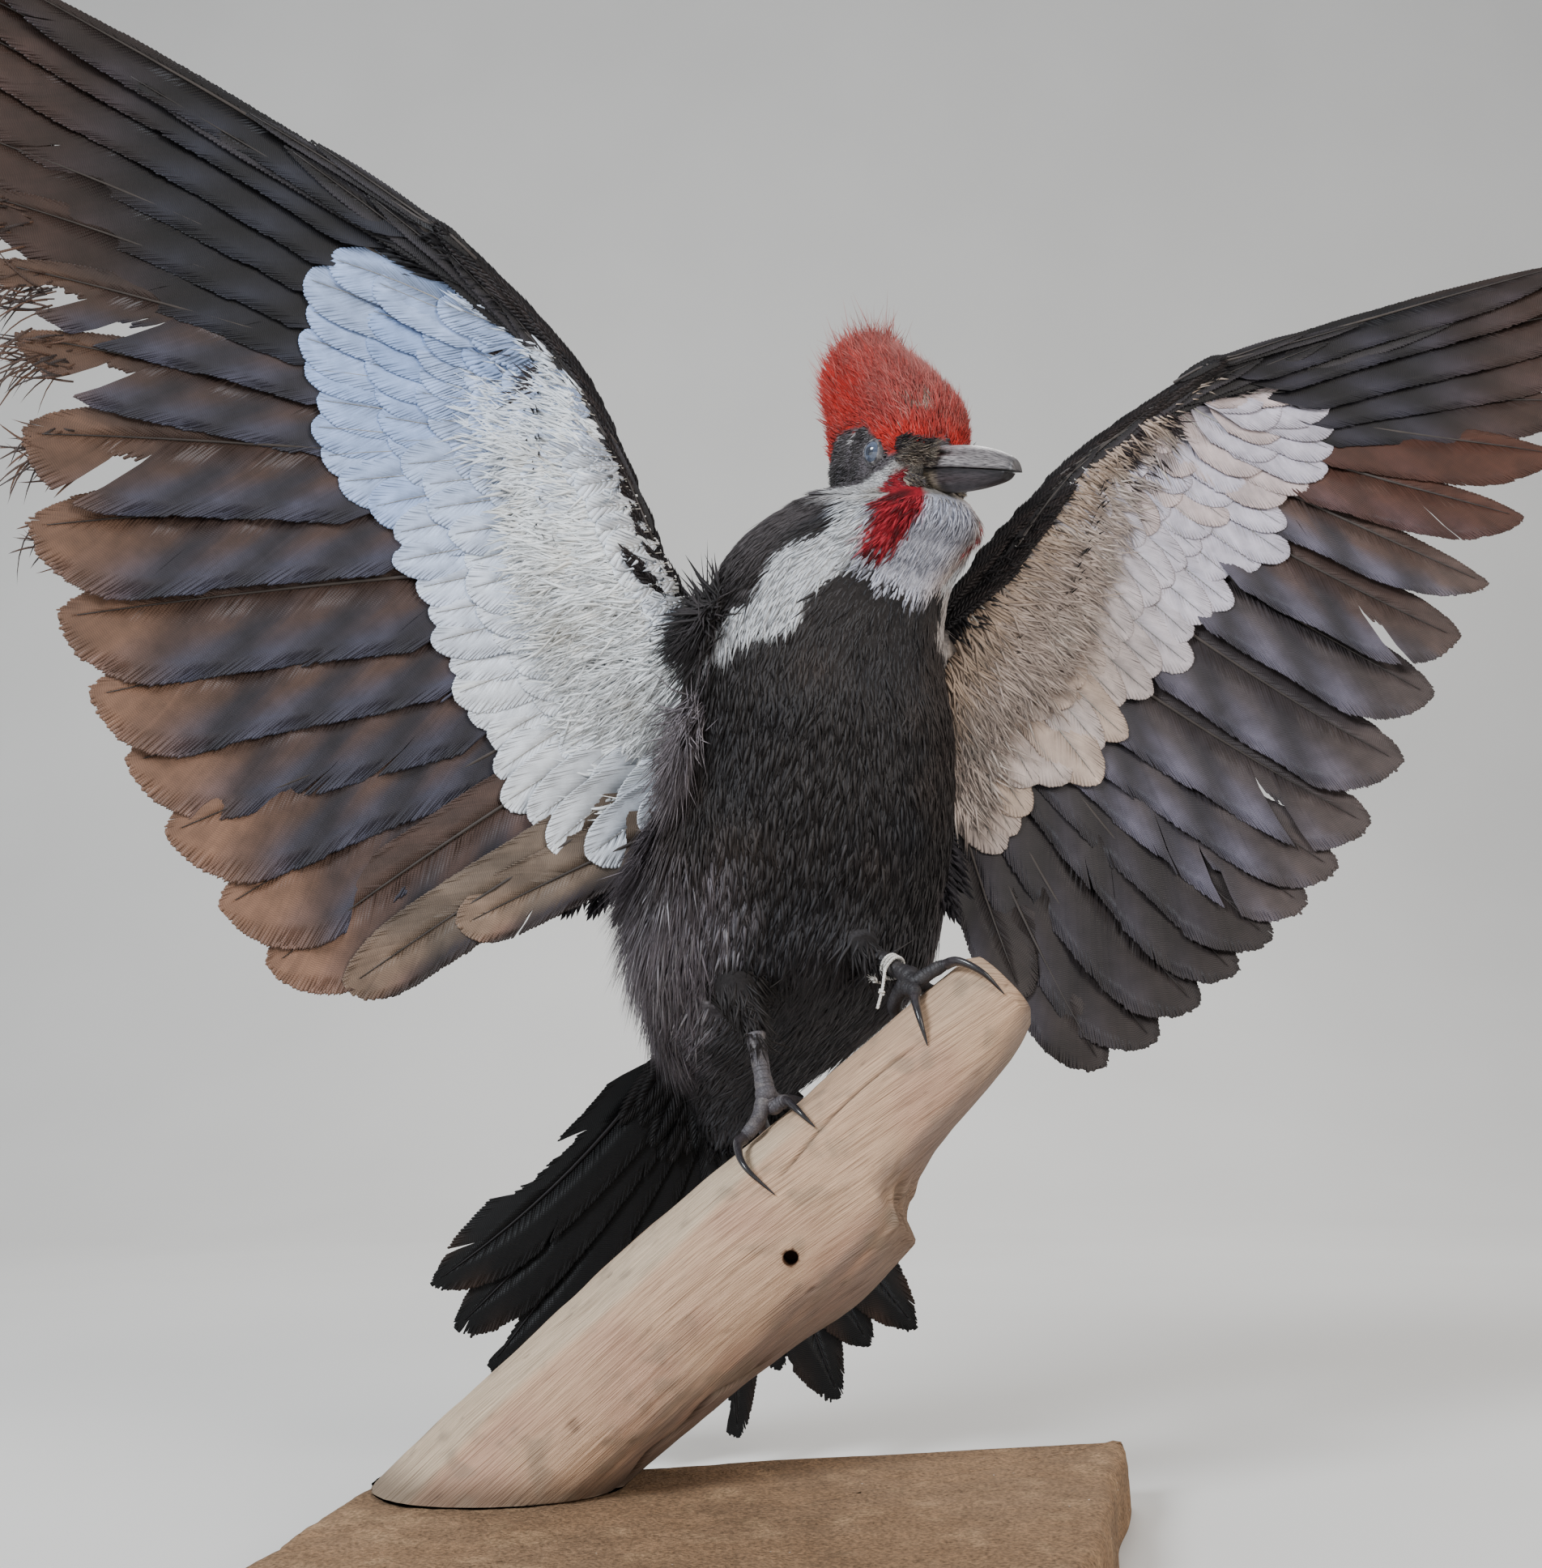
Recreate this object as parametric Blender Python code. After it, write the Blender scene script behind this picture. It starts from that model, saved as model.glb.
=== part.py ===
"""Pileated woodpecker, cock bird, mounted with raised wings on a cut driftwood
limb that stands on a rough slab.  Life size.

Metres, +Z up.  The origin is the middle of the slab's flat underside.  The bird
faces -Y and a little to +X; its right wing lies towards -X.  Lengths named
*_MM, and the numbers in the tables, are millimetres.
"""
import math

import bmesh
import bpy
from mathutils import Matrix, Vector

MM = 0.001
GAP_MM = 0.3            # clearance between neighbouring pieces

# --------------------------------------------------------------------------
# scene
# --------------------------------------------------------------------------
for old in list(bpy.data.objects):
    bpy.data.objects.remove(old, do_unlink=True)

PARTS = bpy.data.collections.new("pileated_woodpecker_mount")
CUTTERS = bpy.data.collections.new("cutters")
bpy.context.scene.collection.children.link(PARTS)
bpy.context.scene.collection.children.link(CUTTERS)


def finish_of(name, colour, roughness, metallic=0.0):
    m = bpy.data.materials.new(name)
    m.use_nodes = True
    b = m.node_tree.nodes["Principled BSDF"]
    b.inputs["Base Color"].default_value = (colour[0], colour[1], colour[2], 1.0)
    b.inputs["Roughness"].default_value = roughness
    b.inputs["Metallic"].default_value = metallic
    m.diffuse_color = (colour[0], colour[1], colour[2], 1.0)
    return m


def add(name, mesh, colour, roughness, smooth=True, metallic=0.0):
    obj = bpy.data.objects.new(name, mesh)
    PARTS.objects.link(obj)
    mesh.materials.clear()
    mesh.materials.append(finish_of(name + "_finish", colour, roughness, metallic))
    for p in mesh.polygons:
        p.use_smooth = smooth
        p.material_index = 0
    return obj


def as_cutter(name, mesh):
    obj = bpy.data.objects.new(name, mesh)
    CUTTERS.objects.link(obj)
    obj.hide_render = True
    obj.display_type = "WIRE"
    return obj


def boolean(obj, other, operation, label):
    m = obj.modifiers.new(label, "BOOLEAN")
    m.operation = operation
    m.solver = "EXACT"
    m.object = other
    return m


# --------------------------------------------------------------------------
# small geometry helpers
# --------------------------------------------------------------------------
def through(keys, t):
    """Smooth value at t through (t, value) keys; a value may be a tuple."""
    if not isinstance(keys[0][1], tuple):
        return through([(k, (v,)) for k, v in keys], t)[0]
    if t <= keys[0][0]:
        return keys[0][1]
    if t >= keys[-1][0]:
        return keys[-1][1]
    i = 0
    while t > keys[i + 1][0]:
        i += 1
    t0, a = keys[i]
    t1, b = keys[i + 1]
    h = t1 - t0
    x = (t - t0) / h
    out = []
    for c in range(len(a)):
        def slope(j):
            if j == 0 or j == len(keys) - 1:
                j0, j1 = (0, 1) if j == 0 else (j - 1, j)
            else:
                j0, j1 = j - 1, j + 1
            return (keys[j1][1][c] - keys[j0][1][c]) / (keys[j1][0] - keys[j0][0])
        m0, m1 = slope(i) * h, slope(i + 1) * h
        out.append((2 * x**3 - 3 * x**2 + 1) * a[c] + (x**3 - 2 * x**2 + x) * m0
                   + (-2 * x**3 + 3 * x**2) * b[c] + (x**3 - x**2) * m1)
    return tuple(out)


def spread(a, b, n):
    return [a + (b - a) * i / (n - 1) for i in range(n)]


def loft(name, rings):
    """Closed skin over rings of equal length, capped by a fan at each end."""
    bm = bmesh.new()
    rows = [[bm.verts.new(p) for p in ring] for ring in rings]
    n = len(rows[0])
    for a, b in zip(rows, rows[1:]):
        for i in range(n):
            j = (i + 1) % n
            bm.faces.new((a[i], a[j], b[j], b[i]))
    for row, flip in ((rows[0], True), (rows[-1], False)):
        mid = bm.verts.new(sum((v.co for v in row), Vector()) / n)
        for i in range(n):
            j = (i + 1) % n
            bm.faces.new((row[j], row[i], mid) if flip else (row[i], row[j], mid))
    bmesh.ops.recalc_face_normals(bm, faces=bm.faces)
    me = bpy.data.meshes.new(name)
    bm.to_mesh(me)
    bm.free()
    return me


def tube(name, points, radii_mm, resolution=2):
    """Round bar along points (metres), with a radius at each, caps welded."""
    cu = bpy.data.curves.new(name + "_path", "CURVE")
    cu.dimensions = "3D"
    cu.bevel_depth = MM
    cu.bevel_resolution = resolution
    cu.use_fill_caps = True
    sp = cu.splines.new("POLY")
    sp.points.add(len(points) - 1)
    for q, p, r in zip(sp.points, points, radii_mm):
        q.co = (p[0], p[1], p[2], 1.0)
        q.radius = r
    ob = bpy.data.objects.new(name + "_path", cu)
    CUTTERS.objects.link(ob)
    dg = bpy.context.evaluated_depsgraph_get()
    me = bpy.data.meshes.new_from_object(ob.evaluated_get(dg))
    bpy.data.objects.remove(ob, do_unlink=True)
    bm = bmesh.new()
    bm.from_mesh(me)
    bmesh.ops.remove_doubles(bm, verts=bm.verts, dist=1e-6)
    bmesh.ops.recalc_face_normals(bm, faces=bm.faces)
    bm.to_mesh(me)
    bm.free()
    me.name = name
    return me


def smooth_path(points, n):
    """n points on a smooth curve through a few route points."""
    keys = [(float(i), tuple(p)) for i, p in enumerate(points)]
    return [Vector(through(keys, t)) for t in spread(0.0, len(points) - 1.0, n)]


# --------------------------------------------------------------------------
# trunk and neck: one body of rings, parted at the base of the neck
# --------------------------------------------------------------------------
# station: (t, (x, y, z, half width, depth to breast, depth to back, yaw, lean))
BODY = [
    (0.00, (-9.0, 137.0, 121.0, 7.0, 6.0, 6.0, 12.0, -25.0)),
    (0.06, (-7.5, 134.0, 133.0, 15.5, 14.0, 12.0, 14.0, -18.0)),
    (0.14, (-1.0, 129.0, 149.0, 28.0, 26.0, 22.0, 17.0, -8.0)),
    (0.24, (7.5, 121.0, 167.0, 43.0, 37.0, 32.0, 20.0, 0.0)),
    (0.38, (18.5, 111.0, 192.0, 52.0, 48.0, 40.0, 20.0, 8.0)),
    (0.55, (24.0, 103.0, 222.0, 55.5, 50.0, 44.0, 20.0, 13.0)),
    (0.72, (27.0, 97.0, 256.0, 56.5, 51.0, 45.0, 20.0, 17.0)),
    (0.86, (28.5, 93.5, 290.0, 56.0, 49.0, 46.0, 20.0, 21.0)),
    (0.95, (29.5, 92.0, 315.0, 52.5, 46.0, 46.0, 20.0, 25.0)),
    (1.02, (34.0, 91.0, 334.0, 49.5, 44.0, 44.0, 22.0, 27.0)),
    (1.10, (42.0, 89.0, 350.0, 46.0, 42.0, 41.0, 26.0, 27.0)),
    (1.18, (54.0, 85.0, 363.0, 39.0, 43.0, 37.0, 30.0, 25.0)),
    (1.25, (61.0, 82.0, 371.0, 27.0, 40.0, 24.0, 31.0, 21.0)),
    (1.30, (63.0, 80.0, 377.0, 13.0, 18.0, 10.0, 31.0, 14.0)),
]
T_TRUNK = (0.0, 0.985)
T_NECK = (0.985, 1.30)
FLANK_PUFF_MM = 25.0      # loose flank feathers standing off the right side
BODY_SIDES = 24


def body_axes(yaw, lean):
    y, l = math.radians(yaw), math.radians(lean)
    fwd = Vector((math.sin(y), -math.cos(y), 0.0))
    left = Vector((math.cos(y), math.sin(y), 0.0))
    return fwd * math.cos(l) - Vector((0, 0, 1)) * math.sin(l), left


def body_point(t, ang, grow=0.0):
    """Point of the body's surface: ang 0 is the breast, 90 deg the bird's left."""
    x, y, z, w, df, db, yaw, lean = through(BODY, t)
    fwd, left = body_axes(yaw, lean)
    c, s = math.cos(ang), math.sin(ang)
    k = 2.0 / 2.25
    cc = math.copysign(abs(c) ** k, c)
    ss = math.copysign(abs(s) ** k, s)
    puff = FLANK_PUFF_MM * math.exp(-((z - 212.0) / 36.0) ** 2) * max(0.0, -s) ** 3.0
    rim = Vector((x, y, z)) + fwd * cc * ((df if c > 0 else db) + grow) \
        + left * (ss * (w + grow) - puff) \
        + fwd * (puff * 0.25)
    return rim * MM


def body_rings(t0, t1, n, grow=0.0):
    return [[body_point(t, 2 * math.pi * i / BODY_SIDES, grow) for i in range(BODY_SIDES)]
            for t in spread(t0, t1, n)]


CHARCOAL = (0.036, 0.030, 0.030)
half_gap_t = GAP_MM / 2 / 260.0
trunk_mesh = loft("trunk", body_rings(T_TRUNK[0], T_TRUNK[1] - half_gap_t, 17))
trunk = add("trunk", trunk_mesh, CHARCOAL, 0.85)
neck_mesh = loft("neck", body_rings(T_NECK[0] + half_gap_t, T_NECK[1], 7))
neck = add("neck", neck_mesh, (0.55, 0.55, 0.60), 0.85)
fat_trunk = as_cutter("fat_trunk", loft("fat_trunk", body_rings(T_TRUNK[0], T_TRUNK[1] + 0.004, 17, GAP_MM + 0.15)))
fat_neck = as_cutter("fat_neck", loft("fat_neck", body_rings(T_NECK[0] - 0.004, T_NECK[1], 7, GAP_MM + 0.15)))

# --------------------------------------------------------------------------
# head: sections square to the bill's axis, the red crown parted off above
# --------------------------------------------------------------------------
HEAD_YAW, HEAD_PITCH = 30.0, 19.0
BILL_ROOT = Vector((75.6, 60.0, 374.0))       # middle of the bill's base
_y, _p = math.radians(HEAD_YAW), math.radians(HEAD_PITCH)
H_FWD = Vector((math.sin(_y) * math.cos(_p), -math.cos(_y) * math.cos(_p), -math.sin(_p)))
H_LEFT = Vector((math.cos(_y), math.sin(_y), 0.0))
H_UP = H_LEFT.cross(H_FWD) * -1.0


def head_pt(along, left, up):
    return (BILL_ROOT + H_FWD * along + H_LEFT * left + H_UP * up) * MM


# along: (half width, depth of throat, height of the eye line, crown height)
HEAD = [
    (-58.0, (16.0, 9.0, 7.0, 50.0)),
    (-54.0, (21.5, 13.0, 8.0, 54.5)),
    (-48.0, (24.2, 19.0, 8.5, 55.0)),
    (-40.0, (24.6, 22.5, 9.0, 52.5)),
    (-31.0, (23.8, 24.0, 9.2, 48.5)),
    (-22.0, (22.8, 24.0, 9.2, 44.0)),
    (-14.0, (21.2, 22.5, 9.0, 38.5)),
    (-8.0, (18.8, 19.5, 8.6, 32.5)),
    (-3.0, (14.6, 15.0, 8.0, 22.0)),
    (0.0, (9.6, 11.0, 7.4, 12.5)),
]


def head_width(along, up, grow=0.0):
    w, throat, brow, crown = through(HEAD, along)
    w, throat, crown = w + grow, throat + grow, crown + grow
    mid = -2.0
    if up < mid:
        q = min(1.0, (mid - up) / (throat + mid))
        return w * math.sqrt(max(0.0, 1 - q ** 2.2))
    q = min(1.0, (up - mid) / (crown - mid))
    return w * max(0.0, 1 - q ** 3.8) ** 0.5


def head_ring(along, low, high, steps, grow=0.0, at=None):
    """Closed outline of the head between two heights, at one station."""
    where = along if at is None else at
    left_side, right_side = [], []
    for i in range(steps):
        e = 0.5 - 0.5 * math.cos(math.pi * i / (steps - 1))
        up = low + (high - low) * e
        w = max(0.25, head_width(along, up, grow))
        left_side.append(head_pt(where, w, up))
        right_side.append(head_pt(where, -w, up))
    return left_side + right_side[::-1]


def head_rings(kind, n, grow=0.0):
    rings = []
    for along in spread(HEAD[0][0], HEAD[-1][0], n):
        w, throat, brow, crown = through(HEAD, along)
        ends = along
        if grow:
            ends = -24.5 + (along + 24.5) * (1 + grow / 24.5)
        if kind == "head":
            rings.append(head_ring(along, -throat - grow, brow, 8, grow, ends))
        elif kind == "crest":
            rings.append(head_ring(along, brow + GAP_MM, max(crown, brow + 2.5), 7, 0.0))
    return rings


RED = (0.42, 0.022, 0.018)
head = add("head", loft("head", head_rings("head", 14)), (0.10, 0.09, 0.10), 0.85)
crest = add("crest", loft("crest", head_rings("crest", 13)), RED, 0.85)
fat_head = as_cutter("fat_head", loft("fat_head", head_rings("head", 14, GAP_MM + 0.15)))
boolean(neck, fat_head, "DIFFERENCE", "head_seat")

# eyes: glass balls sunk into sockets
EYE_RADIUS_MM = 5.4
EYE_AT = (-17.0, 17.7, 3.4)     # along, outward, up
SIDES = (("left", 1.0), ("right", -1.0))


def ball(name, centre, radius_mm, segments, rings):
    bm = bmesh.new()
    bmesh.ops.create_uvsphere(bm, u_segments=segments, v_segments=rings, radius=radius_mm * MM)
    # the poles lie along the line of sight of the eye
    rot = H_LEFT.to_track_quat("Z", "Y").to_matrix().to_4x4()
    bmesh.ops.transform(bm, matrix=Matrix.Translation(centre) @ rot, verts=bm.verts)
    me = bpy.data.meshes.new(name)
    bm.to_mesh(me)
    bm.free()
    return me


for side, sign in SIDES:
    at = head_pt(EYE_AT[0], sign * EYE_AT[1], EYE_AT[2])
    add("eye_" + side, ball("eye_" + side, at, EYE_RADIUS_MM, 11, 6), (0.05, 0.07, 0.10), 0.1)
    socket = as_cutter("socket_" + side, ball("socket_" + side, at, EYE_RADIUS_MM + GAP_MM + 0.1, 11, 6))
    boolean(head, socket, "DIFFERENCE", "socket_" + side)
    boolean(crest, socket, "DIFFERENCE", "socket_" + side)

# bill: chisel shaped, upper and lower halves meeting along the gape
BILL_LENGTH_MM = 49.0
LOWER_BILL_MM = 45.0
BILL_W_MM, BILL_UP_MM, BILL_DOWN_MM = 7.4, 9.2, 8.2     # at the base
GAPE_UP_MM = -0.6


def bill_rings(upper, grow=0.0):
    length = BILL_LENGTH_MM if upper else LOWER_BILL_MM
    rings = []
    for q in (0.0, 0.12, 0.28, 0.46, 0.64, 0.8, 0.92, 1.0):
        w = BILL_W_MM * (1 - 0.66 * q ** 1.8)
        h = (BILL_UP_MM * (1 - 0.60 * q ** 3.0)) if upper else (BILL_DOWN_MM * (1 - 0.70 * q ** 2.4))
        sag = -1.4 * q * q
        ring = []
        for i in range(9):
            a = math.pi * i / 8
            ridge = abs(math.sin(a)) ** (1.15 if upper else 0.9)
            h_here = (h + grow) * ridge + GAP_MM / 2
            up = GAPE_UP_MM + sag + (h_here if upper else -h_here)
            ring.append(head_pt(GAP_MM - grow + q * length, (w + grow) * math.cos(a), up))
        rings.append(ring)
    return rings


HORN = (0.10, 0.10, 0.11)
add("bill_upper", loft("bill_upper", bill_rings(True)), HORN, 0.45)
add("bill_lower", loft("bill_lower", bill_rings(False)), HORN, 0.45)
fat_bill = as_cutter("fat_bill", loft("fat_bill", bill_rings(False, GAP_MM + 0.2)))
boolean(neck, fat_bill, "DIFFERENCE", "chin_seat")

# --------------------------------------------------------------------------
# wings
# --------------------------------------------------------------------------
# Each wing lies near a plane set by three points: shoulder, wing tip and a
# point on its hind edge.  Inside that plane a place is (out, back): out runs
# from the shoulder to the tip, back runs from the front edge to the hind edge.
# u counts the flight feathers from the outermost primary, 0 to 8 primaries,
# 9 to 18 secondaries, and above that the small feathers against the body.
HAND_SPLIT_U = 8.5
WINGS = {
    "right": {
        "shoulder": (-27.4, 90.0, 341.2), "tip": (-281.5, -10.0, 530.9), "hind": (-171.5, 70.0, 187.3),
        "u_end": 21.0,
        "lead": [(-0.5, (150, -51)), (4, (124, -51)), (8.5, (93, -48)), (11, (69, -41.5)), (14, (45, -29)),
                 (17, (18, -12)), (19, (2, -3)), (21, (-22, 10))],
        "root": [(-0.5, (155, -49.5)), (0, (151, -46)), (4, (124, -42)), (8.5, (94, -36)), (12, (80, -12)),
                 (16, (60, 16)), (18, (46, 26)), (19.5, (10, 28)), (21, (-22, 32))],
        "tips": [(-0.5, (319, -21)), (0, (323, -14)), (1, (331, -3)), (3, (318, 24)), (5, (279, 51)),
                 (7, (236, 80)), (9, (190, 133)), (11, (139, 168)), (13, (87, 193)), (15, (30, 210)),
                 (16, (2, 197)), (17, (-12, 164)), (19, (-34, 110)), (21, (-50, 86))],
    },
    "left": {
        "shoulder": (87.45, 110.0, 339.25), "tip": (381.9, 160.0, 499.6), "hind": (122.9, 85.0, 147.7),
        "u_end": 21.0,
        "lead": [(-0.5, (160, -42)), (4, (130, -40.5)), (8.5, (96, -37)), (11, (72, -32)), (14, (48, -24)),
                 (17, (20, -14.5)), (19, (4, -6)), (21, (-22, 8))],
        "root": [(-0.5, (165, -40.5)), (0, (160, -37)), (4, (128, -32)), (8.5, (96, -26)), (12, (76, -4)),
                 (16, (50, 20)), (18, (34, 30)), (19.5, (0, 34)), (21, (-24, 34))],
        "tips": [(-0.5, (326, -14)), (0, (331, -8)), (1, (339, 2)), (3, (317, 32)), (5, (266, 66)),
                 (7, (198, 99)), (9, (147, 131)), (11, (90, 161)), (13, (45, 174)), (15, (5, 183)),
                 (17, (-33, 189)), (18.4, (-64, 186)), (20, (-84, 130)), (21, (-64, 95))],
    },
}
ARM_THICK_MM = 17.0


def wing_axes(w):
    s, t, h = Vector(w["shoulder"]), Vector(w["tip"]), Vector(w["hind"])
    out = (t - s).normalized()
    under = (t - s).cross(h - s).normalized()
    if under.y > 0:
        under = -under                      # the underside faces -Y
    back = (h - s) - out * (h - s).dot(out)
    return s, out, back.normalized(), under


def notch(u):
    """How far the hind edge is drawn in at u: 1 on a feather's tip."""
    if u > 18.6:
        return 1.0
    f = abs(u - round(u)) * 2.0
    depth = through([(-0.5, 0.02), (4, 0.05), (9, 0.085), (14, 0.08), (18, 0.05)], u)
    return 1.0 - depth * f ** 2.2


def rib(w, u, s):
    """(out, back) at share s of the rib at u: 0 front edge, 1 feather tip."""
    lead = Vector(through(w["lead"], u))
    root = Vector(through(w["root"], u))
    tip = Vector(through(w["tips"], u))
    vane = tip - root
    side = Vector((-vane.y, vane.x)).normalized()
    if side.y > 0:
        side = -side
    bow = through([(-0.5, 0.135), (0, 0.12), (4, 0.10), (9, 0.06), (16, 0.05), (21, 0.0)], u)
    ctrl = root + vane * 0.52 + side * bow * vane.length
    first = 0.22
    if s < first:
        return lead.lerp(root, s / first)
    q = (s - first) / (1 - first) * notch(u)
    return root * (1 - q) ** 2 + ctrl * 2 * q * (1 - q) + tip * q * q


def wing_thick(u, s):
    """Full thickness in millimetres."""
    arm = through([(-0.5, 2.2), (4, 5.5), (9, 9.5), (14, 13.0), (21, ARM_THICK_MM)], u)
    vane = through([(-0.5, 1.2), (4, 1.6), (9, 1.8), (21, 2.0)], u)
    return through([(0.0, arm * 0.35), (0.07, arm * 0.9), (0.22, arm), (0.42, arm * 0.35 + vane * 0.65),
                    (0.62, vane), (1.0, 1.0)], s)


def wing_camber(u, s):
    """Lift of the middle surface towards the underside, millimetres."""
    hollow = -9.0 * math.sin(math.pi * min(1.0, s * 1.05)) ** 1.0
    curl = 7.0 * max(0.0, s - 0.6) ** 2 / 0.16
    span = through([(-0.5, 5.0), (4, -1.0), (9, -5.0), (14, -3.0), (21, 0.0)], u)
    return hollow + curl + span


def wing_place(side, u, s, lift=0.0):
    w = WINGS[side]
    o, out, back, under = wing_axes(w)
    p = rib(w, u, s)
    return (o + out * p[0] + back * p[1] + under * (wing_camber(u, s) + lift)) * MM


def wing_rings(side, stations):
    rings = []
    shares = [0.0, 0.08, 0.22, 0.42, 0.7, 1.0]
    for u in stations:
        below = [wing_place(side, u, s, wing_thick(u, s) / 2) for s in shares]
        above = [wing_place(side, u, s, -wing_thick(u, s) / 2) for s in shares]
        rings.append(below + above[::-1])
    return rings


def stations(a, b):
    """Rib places from a to b: each feather's tip, sides and the gaps between."""
    out = [a]
    for k in range(0, 19):
        out += [u for u in (k - 0.22, k + 0.22, k + 0.5) if a + 0.05 < u < b - 0.05]
    out += [u for u in (19.1, 19.8, 20.4) if a < u < b - 0.05]
    return out + [b]


SLATE = (0.035, 0.030, 0.034)
split_gap_u = 0.012
for side, sign in SIDES:
    outer = loft("wing_outer_" + side, wing_rings(side, stations(-0.5, HAND_SPLIT_U - split_gap_u)))
    inner = loft("wing_inner_" + side, wing_rings(side, stations(HAND_SPLIT_U + split_gap_u, WINGS[side]["u_end"])))
    add("wing_outer_" + side, outer, SLATE, 0.7)
    inner_obj = add("wing_inner_" + side, inner, (0.60, 0.62, 0.68), 0.8)
    boolean(inner_obj, fat_trunk, "DIFFERENCE", "body_seat")
    boolean(inner_obj, fat_neck, "DIFFERENCE", "neck_seat")

# --------------------------------------------------------------------------
# tail: twelve pointed quills fanned in one plane
# --------------------------------------------------------------------------
TAIL_ROOT = Vector((-16.0, 150.0, 171.0))
TAIL_DOWN = Vector((-0.02, 0.030, -1.0)).normalized()
TAIL_SIDE = Vector((1.0, 0.06, 0.0)).normalized()
TAIL_NORMAL = TAIL_SIDE.cross(TAIL_DOWN).normalized()
if TAIL_NORMAL.y > 0:
    TAIL_NORMAL = -TAIL_NORMAL               # towards the front
TAIL_FEATHERS = 12
TAIL_FROM_DEG, TAIL_TO_DEG = -45.0, 31.0
TAIL_LENGTH_MM = 160.0


def tail_length(k):
    edge = abs(k - 5.5) / 5.5
    return TAIL_LENGTH_MM * (1 - 0.14 * edge ** 2.2)


def tail_place(k, s, lift=0.0):
    """Place in the tail at feather number k (0 to 11, halves between), share s."""
    f = abs(k - round(k)) * 2.0
    reach = tail_length(k) * (1 - 0.13 * f ** 1.1) * s
    ang = math.radians(TAIL_FROM_DEG + (TAIL_TO_DEG - TAIL_FROM_DEG) * k / (TAIL_FEATHERS - 1))
    bend = ang * (0.72 + 0.28 * s)
    base = TAIL_ROOT + TAIL_SIDE * (k - 5.5) * 2.1
    arch = 6.0 * (1 - ((k - 5.5) / 6.0) ** 2) * math.sin(math.pi * s * 0.8)
    return (base + TAIL_DOWN * math.cos(bend) * reach + TAIL_SIDE * math.sin(bend) * reach
            + TAIL_NORMAL * (lift - arch)) * MM


def tail_rings():
    rings = []
    for k in [j + o for j in range(TAIL_FEATHERS) for o in ((-0.28, 0.0, 0.28) if j else (-0.4, 0.0, 0.28))] + [11.42]:
        thick = [(0.0, 10.0), (0.2, 8.5), (0.45, 3.0), (0.75, 1.6), (1.0, 1.0)]
        low = [tail_place(k, s, through(thick, s) / 2) for s in (0.0, 0.25, 0.6, 1.0)]
        top = [tail_place(k, s, -through(thick, s) / 2) for s in (0.0, 0.25, 0.6, 1.0)]
        rings.append(low + top[::-1])
    return rings


tail = add("tail", loft("tail", tail_rings()), (0.012, 0.011, 0.012), 0.6)
boolean(tail, fat_trunk, "DIFFERENCE", "rump_seat")

# --------------------------------------------------------------------------
# limb: cut driftwood, leaning up to the right, with an oval section
# --------------------------------------------------------------------------
LIMB_FOOT = Vector((-80.0, 47.0, 22.0))
LIMB_TOP = Vector((88.5, 45.0, 180.0))
LIMB_UP = [(-0.30, 30.0), (0.0, 28.6), (0.3, 26.3), (0.45, 24.6), (0.66, 20.3), (0.88, 16.6), (1.0, 14.6)]
LIMB_LOW = [(-0.30, 27.0), (0.0, 28.0), (0.14, 28.6), (0.28, 32.2), (0.43, 36.2), (0.54, 40.4), (0.62, 39.6),
            (0.66, 33.0), (0.69, 27.5), (0.75, 24.3), (0.86, 22.0), (0.93, 20.4), (1.0, 15.5)]
LIMB_FRONT = [(-0.30, 38.0), (0.0, 37.0), (0.4, 33.0), (0.7, 25.0), (1.0, 14.5)]
LIMB_REAR = [(-0.30, 26.0), (0.0, 26.0), (0.4, 24.0), (0.7, 20.0), (1.0, 13.0)]
_axis = LIMB_TOP - LIMB_FOOT
LIMB_N = Vector((-_axis.z, 0.0, _axis.x)).normalized()     # up and to the left
LIMB_F = _axis.normalized().cross(LIMB_N)
if LIMB_F.y > 0:
    LIMB_F = -LIMB_F                                       # to the front


def limb_point(s, ang, grow=0.0):
    """Surface of the limb: ang 0 is its upper edge, 90 deg its front."""
    c, q = math.cos(ang), math.sin(ang)
    a = (through(LIMB_UP, s) if c > 0 else through(LIMB_LOW, s)) + grow
    b = (through(LIMB_FRONT, s) if q > 0 else through(LIMB_REAR, s)) + grow
    k = 2.0 / 2.2
    wave = 1 + 0.012 * math.sin(3 * ang + 9 * s) + 0.01 * math.sin(5 * ang - 14 * s)
    mid = LIMB_FOOT + _axis * s
    return (mid + LIMB_N * math.copysign(abs(c) ** k, c) * a * wave
            + LIMB_F * math.copysign(abs(q) ** k, q) * b * wave) * MM


LIMB_SIDES = 24
limb_s = [-0.26, -0.06, 0.08, 0.2, 0.32, 0.44, 0.55, 0.63, 0.66, 0.69, 0.76, 0.88, 0.985]
limb_rings = [[limb_point(s, 2 * math.pi * i / LIMB_SIDES) for i in range(LIMB_SIDES)] for s in limb_s]
limb_rings.append([limb_point(1.0, 2 * math.pi * i / LIMB_SIDES, -2.2) for i in range(LIMB_SIDES)])
SLAB_THICK_MM = 22.0
limb = add("branch", loft("branch", limb_rings), (0.44, 0.35, 0.26), 0.8)

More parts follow.
